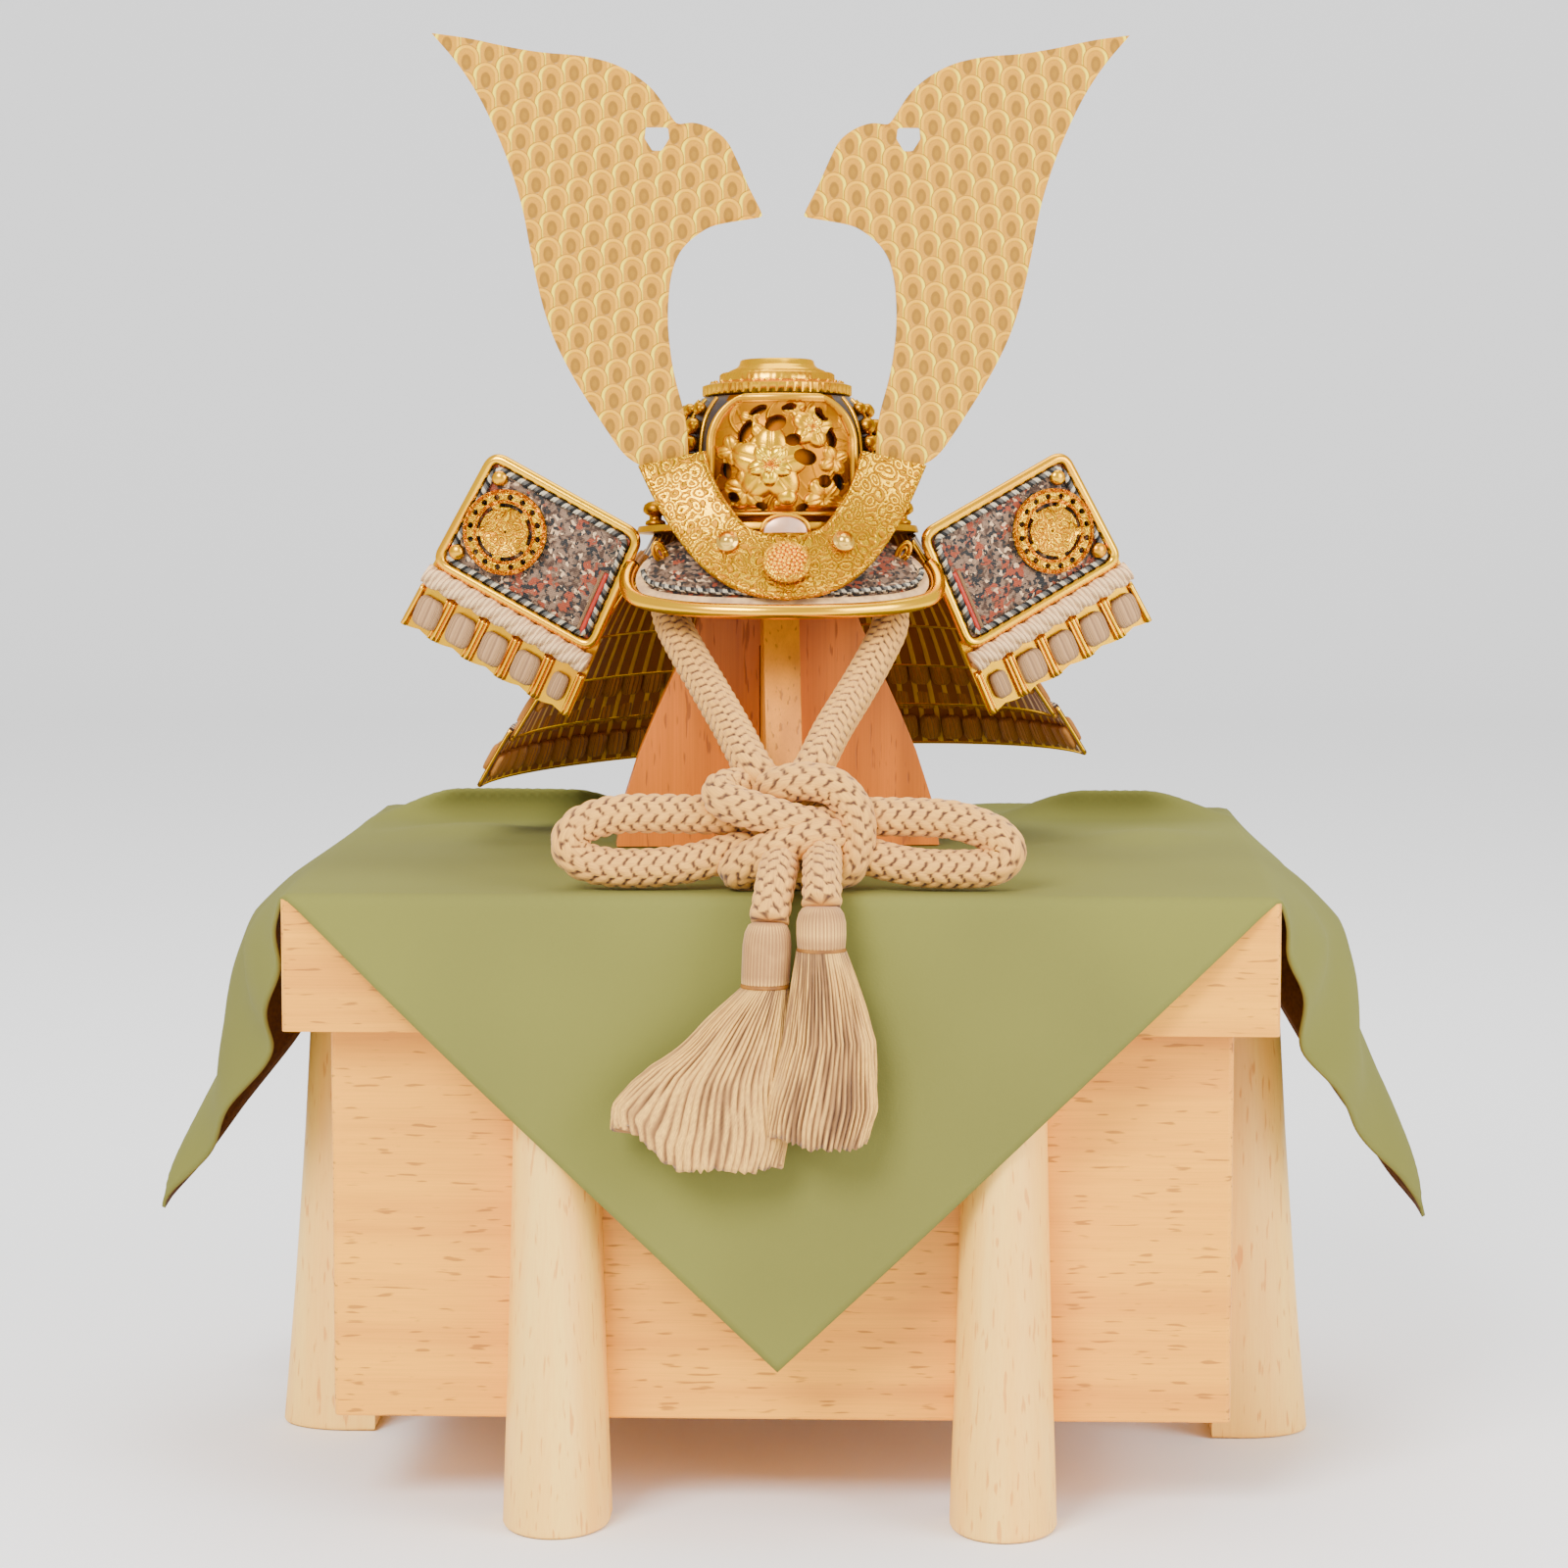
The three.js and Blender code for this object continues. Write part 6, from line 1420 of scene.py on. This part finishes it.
def on_plate(x, z):
    """Moves a shape that stands on Z so that it stands on the plate's face at x and z."""
    slope = float(plate_depth(x, z + 1.0) - plate_depth(x, z - 1.0)) / 2
    n = np.array([2 * x / 170, -1, slope])
    n /= np.linalg.norm(n)
    side = np.cross((0, 0, 1), n)
    side = -side / np.linalg.norm(side)
    up = np.cross(n, side)
    base = np.array([x, float(plate_depth(x, z)), z]) + n * 0.8

    def move(p):
        return helmet(base + p[:, :1] * side + p[:, 1:2] * up + p[:, 2:3] * n)
    return move


def add_horns():
    """Each horn is a thin sheet ruled between its inner and outer lines, with a small hole cut through."""
    def flat(u, v):
        match = np.interp(v, HORN_MATCH[:, 0], HORN_MATCH[:, 1])
        ix, iz = along_table(HORN_INNER, v)
        ox, oz = along_table(HORN_OUTER, match)
        x = HORN_SPREAD * (ix + (ox - ix) * u) - HORN_FOOT[0]
        return x, HORN_FOOT[1] + HORN_TALL * (iz + (oz - iz) * u)

    def field(u, v):
        x, z = flat(u, v)
        dx, dz = (x - 0.04) / 3.2, (z - 101.0) / 3.1
        heart = np.maximum(np.abs(dx) + 0.62 * np.maximum(-dz, 0) - 1, np.abs(dz) - 1)
        return heart + 0.1 * np.maximum(dz, 0)

    depth = float(plate_depth(*HORN_FOOT)) + 1.5 + 0.3 + 2.3
    for side, name in ((-1, "left"), (1, "right")):
        lean, sweep = math.radians(3), math.radians(6) * side

        def place(u, v):
            x, z = flat(u, v)
            x, z = x * side, z - HORN_FOOT[1]
            y = -z * math.sin(lean)
            z = z * math.cos(lean)
            c, s = math.cos(sweep), math.sin(sweep)
            return stack(c * x - s * y + side * HORN_FOOT[0], s * x + c * y + depth, z + HORN_FOOT[1])

        shape = slab(place, 230, 90, 0.9 * side, field, uv=flat_uv(flat))
        if side < 0:
            shape.mirrored()
        make(f"horn_sheet_{name}", shape, ["horn_skin"], "pale_gold", [f"horn_{name}"], sharp=50, move=helmet)


# Wings

def rounded_quad(inset, corner, step=0.6):
    near, far = inset / WING_LENGTH, 1 - inset / WING_LENGTH
    low = WING_HEIGHT - inset
    ends = np.array([wing_place(*end) for end in ((near, inset), (far, inset), (far, low), (near, low))])
    line = []
    for k in range(4):
        p, before, after = ends[k], ends[k - 1], ends[(k + 1) % 4]
        a = p + (before - p) / np.linalg.norm(before - p) * corner
        b = p + (after - p) / np.linalg.norm(after - p) * corner
        t = np.linspace(0, 1, 9)[:, None]
        line.append(a * (1 - t) ** 2 + 2 * p * t * (1 - t) + b * t ** 2)
    line = np.vstack([*line, line[0][:1]])
    return resampled(line, step)


def ring_tube(line, radius, sides, lift=None):
    """A tube whose line comes back to its start."""
    line = line[:-1]
    along = np.roll(line, -1, 0) - np.roll(line, 1, 0)
    along /= np.linalg.norm(along, axis=1, keepdims=True)
    over = np.broadcast_to(np.array([0.0, -1.0, 0.0]), line.shape)
    side = np.cross(along, over)
    side /= np.linalg.norm(side, axis=1, keepdims=True)
    reach = np.concatenate([[0], np.cumsum(np.linalg.norm(np.diff(line, axis=0), axis=1))])
    angle = np.arange(sides) * 2 * math.pi / sides
    r = np.full((len(line), sides), float(radius))
    if lift is not None:
        r += lift(reach[:, None], angle[None])
    points = (
        line[:, None] + side[:, None] * (r * np.cos(angle))[..., None]
        + over[:, None] * (r * np.sin(angle))[..., None]
    )
    return grid(points, (2 * math.pi * radius, reach[-1]), wrap_rows=True, wrap_cols=True)


def wing_crest():
    """A round openwork crest: a beaded ring with holes, a dark gap, and a flower of petals in the middle."""
    radius = 11.3

    def polar(u, v):
        return 0.35 + (radius - 0.35) * v, 2 * math.pi * u

    def place(u, v):
        r, t = polar(u, v)
        return stack(r * np.cos(t), -3.3 + 0 * r, r * np.sin(t))

    def field(u, v):
        r, t = polar(u, v)
        k = 16
        local = np.mod(t / (2 * math.pi) * k, 1) - 0.5
        ring = np.hypot(local * 2 * math.pi * 9.3 / k, r - 9.3) - 0.8
        gap = np.maximum(np.abs(r - 7.1) - 0.55, 0.55 - np.abs(np.sin(t * 2.5)) * 1.6)
        return np.minimum(ring, gap)

    def relief(u, v):
        r, t = polar(u, v)
        rim = 0.9 * ease(1 - np.abs(r - 10.8) / 0.7) + 0.8 * ease(1 - np.abs(r - 8.0) / 0.6)
        beads = 0.35 * np.abs(np.sin(t * 24)) * (r > 10.2)
        petal = 1.9 * np.sqrt(np.clip(1 - r / (6.2 + 0.8 * np.cos(6 * t)), 0, 1))
        petal = petal * (0.75 + 0.25 * np.abs(np.cos(6 * t)))
        heart = 1.2 * np.sqrt(np.clip(1 - r / 2.4, 0, 1))
        return rim + beads + petal + heart

    shape = slab(place, 44, 193, -1.4, field, relief, uv=lambda u, v: stack(u * 71, v * 11))
    return shape.mirrored()


def add_wings():
    """Both wings: a printed panel in a gold rim with piping, a crest, studs, a cord and a laced plate."""
    for side, name in ((-1, "left"), (1, "right")):
        move = winged(side)

        def put(piece, shape, materials, slot, replaces=(), sharp=None):
            shape = shape.moved(move)
            if side < 0:
                shape = shape.mirrored()
            make(f"wing_{piece}_{name}", shape, materials, slot, replaces, sharp)

        def panel(u, v):
            near = 2.5 / WING_LENGTH
            along, down = near + (1 - 2 * near) * u, 2.5 + (WING_HEIGHT - 5.0) * v
            length = along * (WING_LENGTH + WING_SPREAD * down / WING_HEIGHT)
            bulge = -0.9 * (1 - (2 * u - 1) ** 4) * (1 - (2 * v - 1) ** 4)
            return stack(
                math.cos(WING_RISE) * length + math.sin(WING_LEAN) * down, bulge,
                math.sin(WING_RISE) * length - math.cos(WING_LEAN) * down,
            )

        put("skin", slab(panel, 30, 40, -1.6, uv=lambda u, v: stack(u * 44 + 60 * (side > 0), v * 31)),
            ["printed_leather"], "brocade", [f"wing_panel_{name}"], 50)
        quad = rounded_quad(1.15, 3.4)
        rim = ring_tube(stack(quad[:, 0], 0 * quad[:, 0] - 0.2, quad[:, 1]), 1.45, 16)
        put("gold_rim", rim, ["gold_rim"], "gold", [f"wing_rim_{name}"])
        quad = rounded_quad(3.4, 2.6, 0.45)
        piping = ring_tube(stack(quad[:, 0], 0 * quad[:, 0] - 1.0, quad[:, 1]), 0.75, 10, twist(0.12, 3, 3.4))
        put("piping", piping, ["piping"], "brocade")
        stripe = []
        for off, wide, part in ((0.1, 0.75, 0), (0.125, 0.5, 1)):
            t = np.linspace(0.4, 0.9, 12)
            p = np.array([wing_place(off, WING_HEIGHT * k) for k in t])
            stripe.append(tube(stack(p[:, 0], 0 * t - 1.0, p[:, 1]), wide, 8, part=part))
        put("stripe", merged(stripe), ["red_lacquer", "tuft_beige"], "brocade")
        cx, cz = wing_place(CREST_ALONG, WING_HEIGHT * CREST_DOWN)
        crest = wing_crest()
        crest.points += np.array([cx, 0.0, cz])
        put("openwork_crest", crest, ["crest_gold"], "gold", [f"wing_crest_{name}"], 70)
        for stud, along, down in (("upper", 0.88, 0.16), ("lower", 0.9, 0.82)):
            x, z = wing_place(along, WING_HEIGHT * down)
            head = ball(2.2, 8, 16)
            head.points = head.points * (1, 0.75, 1) + np.array([x, -1.1, z])
            put(f"dome_{stud}", head, ["gold"], "gold", [f"wing_stud_{stud}_{name}"])
        t = np.linspace(0.005, 0.995, 150)
        p = np.array([wing_place(k, WING_HEIGHT + 3.1) for k in t])
        band = tube(stack(p[:, 0], 0 * t - 0.4, p[:, 1]), 2.55, 36, lift=twist(0.42, 3, 15), up=(0, 1, 0))
        put("white_cord", band, ["white_twist"], "white_cord", [f"wing_band_{name}"])
        add_wing_lame(put, name)


def add_wing_lame(put, name):
    """The small plate under a wing: a scalloped foot, upright bars and tufts of lacing between them."""
    low = WING_HEIGHT + 18.6

    def plate(u, v):
        scallop = 0.9 * np.abs(np.cos(math.pi * 5 * u)) * ease(v * 4 - 3)
        down = WING_HEIGHT - 3 + (low - WING_HEIGHT + 3) * v - 0.9 * ease(v * 4 - 3) + scallop
        length = u * (WING_LENGTH + WING_SPREAD * down / WING_HEIGHT)
        return stack(
            math.cos(WING_RISE) * length + math.sin(WING_LEAN) * down, 2.5 + 0 * u,
            math.sin(WING_RISE) * length - math.cos(WING_LEAN) * down,
        )

    put("plate", slab(plate, 16, 90, -1.2, uv=lambda u, v: stack(u * 50, v * 20)), ["gold"], "deep_gold",
        [f"wing_lame_{name}"], 50)
    bars = []
    for k in range(6):
        for beside, thick in ((-0.022, 0.45), (0.0, 0.85), (0.022, 0.45)):
            t = np.linspace(0, 1, 10)
            share = min(max(k / 5 + 0.012 + beside, 0.012), 0.985)
            p = np.array([wing_place(share, WING_HEIGHT + 6.4 + (low - WING_HEIGHT - 6.6) * s) for s in t])
            bars.append(tube(stack(p[:, 0], 0 * t + 1.7, p[:, 1]), thick, 8))
    put("bars", merged(bars), ["gold_rim"], "deep_gold")
    places = np.array([wing_place((k + 0.56) / 5.1, WING_HEIGHT + 12.4) for k in range(5)])
    block = ball(1.0, 8, 14, 0.5)
    axes = np.tile(np.array([
        [math.cos(WING_RISE), 0, math.sin(WING_RISE)], [0, 1, 0],
        [-math.sin(WING_LEAN), 0, math.cos(WING_LEAN)],
    ]), (5, 1, 1))
    sizes = np.tile([3.7, 1.5, 4.2], (5, 1))
    sizes[0] = (2.4, 1.3, 3.6)
    tufts = copies(block, stack(places[:, 0], 1.2 + 0 * places[:, 0], places[:, 1]), axes, sizes)
    put("tufts", tufts, ["tuft_beige"], "tuft", [f"wing_lacing_{name}"])


# Neck guard

# Lacing rows on each plate: spacing, share down the plate, half width, half height, and whether inside
LACING_ROWS = [
    [(6.4, 0.45, 2.5, 3.0, True), (6.6, 0.55, 2.5, 4.4, False)],
    [(6.6, 0.55, 2.5, 4.4, False)],
    [(6.6, 0.55, 2.5, 4.4, False)],
    [(6.7, 0.3, 3.2, 3.9, True), (6.6, 0.55, 2.5, 4.4, False)],
    [(6.7, 0.0, 3.2, 4.0, True), (6.7, 0.62, 3.2, 4.0, True), (6.6, 0.55, 2.5, 4.4, False)],
]
LAMES = 5
LAME_STEP = 1.8
# The guard's cone: top radius, flare and fall, then half its reach round the nape in degrees, and its loss
GUARD_RADIUS, GUARD_FLARE, GUARD_FALL = 34, 42, 65.5
GUARD_REACH, GUARD_NARROWS = 109, 26
SLOPE = math.atan2(GUARD_FLARE, GUARD_FALL)


def lame_point(row, a, t, off=0.0):
    """A cone's plate: a is the share round it from the back, t the share down the plate, off is outwards."""
    share = np.maximum((row + t) / LAMES - (0.03 * (1 - t) if row else 0), 0)
    angle = np.radians((GUARD_REACH - GUARD_NARROWS * share) * a)
    radius = GUARD_RADIUS + GUARD_FLARE * share + (row * LAME_STEP + off) * math.cos(SLOPE)
    x = radius * np.sin(angle)
    y = radius * np.cos(angle) * (1 - 0.05 * share)
    z = -5 - GUARD_FALL * share + (row * LAME_STEP + off) * math.sin(SLOPE)
    z = z + 3.7 * x * share / (GUARD_RADIUS + GUARD_FLARE)
    if row == 0:
        z = z + (1 - t) * (1.8 + 1.2 * np.cos(angle))
    return stack(x + 2.0, y, z)


def lame_axes(row, a, t):
    """The three axes of a tuft on a plate: round it, out of it, and up it."""
    h = 1e-3
    here = lame_point(row, a, t)
    round_it = lame_point(row, a + h, t) - here
    up = here - lame_point(row, a, t + h)
    round_it /= np.linalg.norm(round_it, axis=-1, keepdims=True)
    up /= np.linalg.norm(up, axis=-1, keepdims=True)
    out = np.cross(up, round_it)
    return here, np.stack([round_it, out, up], -2)


def add_guard():
    """Five flared plates, each with a gold hem, ribs inside and rows of lacing on both faces."""
    for row in range(LAMES):
        share = (row + 0.5) / LAMES
        radius = GUARD_RADIUS + GUARD_FLARE * share
        arc = math.radians(2 * (GUARD_REACH - GUARD_NARROWS * share)) * radius

        def place(u, v):
            return lame_point(row, 2 * u - 1, v, 1.2)

        shape = slab(place, 14, 160, 1.2, uv=lambda u, v: stack(u * arc, v * 15 + row * 15), back_part=1)
        make(
            f"guard_plate_{row + 1}", shape, ["lame_outside", "lame_inside"], "deep_gold",
            [f"neck_lame_{row + 1}"], sharp=50, move=helmet,
        )
        a = np.linspace(-0.995, 0.995, 150)
        parts = [tube(lame_point(row, a, np.full_like(a, 0.985), 0.6), 0.75, 8)]
        for end in (-0.995, 0.995):
            t = np.linspace(0.03, 0.985, 12)
            parts.append(tube(lame_point(row, np.full_like(t, end), t, 0.6), 0.7, 8))
        make(f"guard_hem_{row + 1}", merged(parts), ["gold_rim"], "deep_gold", move=helmet)
        block = ball(1.0, 6, 10, 0.5)
        tufts = []
        for across, down, wide, tall, inside in LACING_ROWS[row]:
            count = int(arc / across)
            where = (np.arange(count) + 0.5) / count * 2 - 1
            here, axes = lame_axes(row, where, np.full(count, down))
            outward = axes[:, 1] * np.sign((axes[:, 1] * here * (1, 1, 0)).sum(1))[:, None]
            here = here + outward * (-0.9 if inside else 1.7)
            tufts.append(copies(block, here, axes, np.tile([wide, 1.0, tall], (count, 1))))
        make(f"guard_lacing_{row + 1}", merged(tufts), ["tuft_brown"], "tuft", move=helmet)


# Add-on

def colour_property(name, description, colour):
    return FloatVectorProperty(
        name=name, description=description, default=colour, size=4, subtype="COLOR", min=0.0, max=1.0,
    )


class HelmetSettings(bpy.types.PropertyGroup):
    """The cord's thickness and smoothness, and the main colours."""

    cord_diameter: FloatProperty(
        name="Cord diameter", description="Thickness of the chin cord in millimetres", default=9.5, min=1.0,
    )
    cord_step: FloatProperty(
        name="Cord step", description="Distance between the cord's rings in millimetres", default=0.62,
        min=0.2,
    )
    cord_sides: IntProperty(name="Cord sides", description="Points round the cord", default=56, min=8)
    gold: colour_property("Gold", "The bowl's plated gold", rgb(236, 177, 0))
    rim_gold: colour_property("Rim gold", "The bright gold of the rims", rgb(250, 190, 4))
    lacquer: colour_property("Red lacquer", "The red lacquer's colour", rgb(172, 38, 2))
    # The cord and tassel colours are painted highlights for the threads' high parts.
    silk: colour_property("Cord", "The cord's silk on its high parts", rgb(233, 171, 66))
    tassel: colour_property("Tassels", "The tassels' silk on its high parts", rgb(247, 192, 81))
    cloth: colour_property("Cloth", "The cloth's outer side", rgb(115, 114, 54))


class StageSettings(bpy.types.PropertyGroup):
    """The camera's place and the strength of the lights."""

    focal_length: FloatProperty(
        name="Focal length", description="Lens length in millimetres", default=104.0, min=1.0,
    )
    place: FloatVectorProperty(
        name="Camera", description="Where the camera stands", default=(0.0409, -1.204, 0.2956),
        subtype="TRANSLATION", unit="LENGTH",
    )
    pitch: FloatProperty(
        name="Pitch", description="How far the camera looks down", default=math.radians(5.76),
        subtype="ANGLE", unit="ROTATION",
    )
    yaw: FloatProperty(
        name="Yaw", description="How far the camera looks left", default=math.radians(2.07),
        subtype="ANGLE", unit="ROTATION",
    )
    key: FloatProperty(name="Key", description="Power of the key light in watts", default=54.0, min=0.0)
    fill: FloatProperty(name="Fill", description="Power of the fill light in watts", default=26.0, min=0.0)
    top: FloatProperty(name="Top", description="Power of the top light in watts", default=18.0, min=0.0)
    sky: FloatProperty(name="Sky", description="Brightness of the surroundings", default=1.15, min=0.0)


class HELMET_OT_stage(bpy.types.Operator):
    """Adds the camera, the lights and the floor"""

    bl_idname = "helmet.stage"
    bl_label = "Add Stage"

    def execute(self, context):
        add_camera(context.scene.helmet_stage)
        add_stage(context.scene.helmet_stage)
        return {"FINISHED"}


class HELMET_OT_materials(bpy.types.Operator):
    """Makes the materials"""

    bl_idname = "helmet.materials"
    bl_label = "Make Materials"

    def execute(self, context):
        make_materials(context.scene.helmet_settings)
        return {"FINISHED"}


class HELMET_OT_cord(bpy.types.Operator):
    """Adds the plaited chin cord and its tassels"""

    bl_idname = "helmet.cord"
    bl_label = "Add Cord"

    def execute(self, context):
        add_cord(context.scene.helmet_settings)
        return {"FINISHED"}


class HELMET_OT_cloth(bpy.types.Operator):
    """Adds the green cloth"""

    bl_idname = "helmet.cloth"
    bl_label = "Add Cloth"

    def execute(self, context):
        add_cloth()
        return {"FINISHED"}


class HELMET_OT_chest(bpy.types.Operator):
    """Finishes the chest, its lid and legs, and the stand's boards"""

    bl_idname = "helmet.chest"
    bl_label = "Finish Chest and Stand"

    def execute(self, context):
        softened("chest_body", "beech_level")
        softened("chest_lid", "beech_level")
        softened("stand_cross_board", "beech_stand", 0.0006)
        softened("stand_front_board", "beech_edge", 0.0006)
        add_legs()
        return {"FINISHED"}


class HELMET_OT_bowl(bpy.types.Operator):
    """Adds the bowl, its flange, finial and openwork panel"""

    bl_idname = "helmet.bowl"
    bl_label = "Add Bowl"

    def execute(self, context):
        add_bowl()
        add_flange()
        add_finial()
        add_front_panel()
        return {"FINISHED"}


class HELMET_OT_visor(bpy.types.Operator):
    """Adds the visor"""

    bl_idname = "helmet.visor"
    bl_label = "Add Visor"

    def execute(self, context):
        add_visor()
        return {"FINISHED"}


class HELMET_OT_horns(bpy.types.Operator):
    """Adds the crescent plate and the horns"""

    bl_idname = "helmet.horns"
    bl_label = "Add Horns"

    def execute(self, context):
        add_plate()
        add_horns()
        return {"FINISHED"}


class HELMET_OT_wings(bpy.types.Operator):
    """Adds the two wings"""

    bl_idname = "helmet.wings"
    bl_label = "Add Wings"

    def execute(self, context):
        add_wings()
        return {"FINISHED"}


class HELMET_OT_guard(bpy.types.Operator):
    """Adds the neck guard"""

    bl_idname = "helmet.guard"
    bl_label = "Add Neck Guard"

    def execute(self, context):
        add_guard()
        return {"FINISHED"}


class HELMET_PT_panel(bpy.types.Panel):
    """The sidebar panel with one button for each step"""

    bl_idname = "HELMET_PT_panel"
    bl_label = "Display Helmet"
    bl_space_type = "VIEW_3D"
    bl_region_type = "UI"
    bl_category = "Helmet"

    def draw(self, context):
        layout = self.layout
        for group in (context.scene.helmet_settings, context.scene.helmet_stage):
            for key in group.__annotations__:
                layout.prop(group, key)
        for step in STEPS:
            layout.operator(step.bl_idname)


STEPS = (
    HELMET_OT_materials, HELMET_OT_stage, HELMET_OT_cord, HELMET_OT_cloth, HELMET_OT_chest, HELMET_OT_bowl,
    HELMET_OT_visor, HELMET_OT_horns, HELMET_OT_wings, HELMET_OT_guard,
)
CLASSES = (HelmetSettings, StageSettings, *STEPS, HELMET_PT_panel)


def register():
    for cls in CLASSES:
        bpy.utils.register_class(cls)
    bpy.types.Scene.helmet_settings = PointerProperty(type=HelmetSettings)
    bpy.types.Scene.helmet_stage = PointerProperty(type=StageSettings)


def unregister():
    del bpy.types.Scene.helmet_stage
    del bpy.types.Scene.helmet_settings
    for cls in reversed(CLASSES):
        bpy.utils.unregister_class(cls)


def main():
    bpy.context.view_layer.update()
    register()
    for step in STEPS:
        group, action = step.bl_idname.split(".")
        getattr(getattr(bpy.ops, group), action)()


if __name__ == "__main__":
    main()
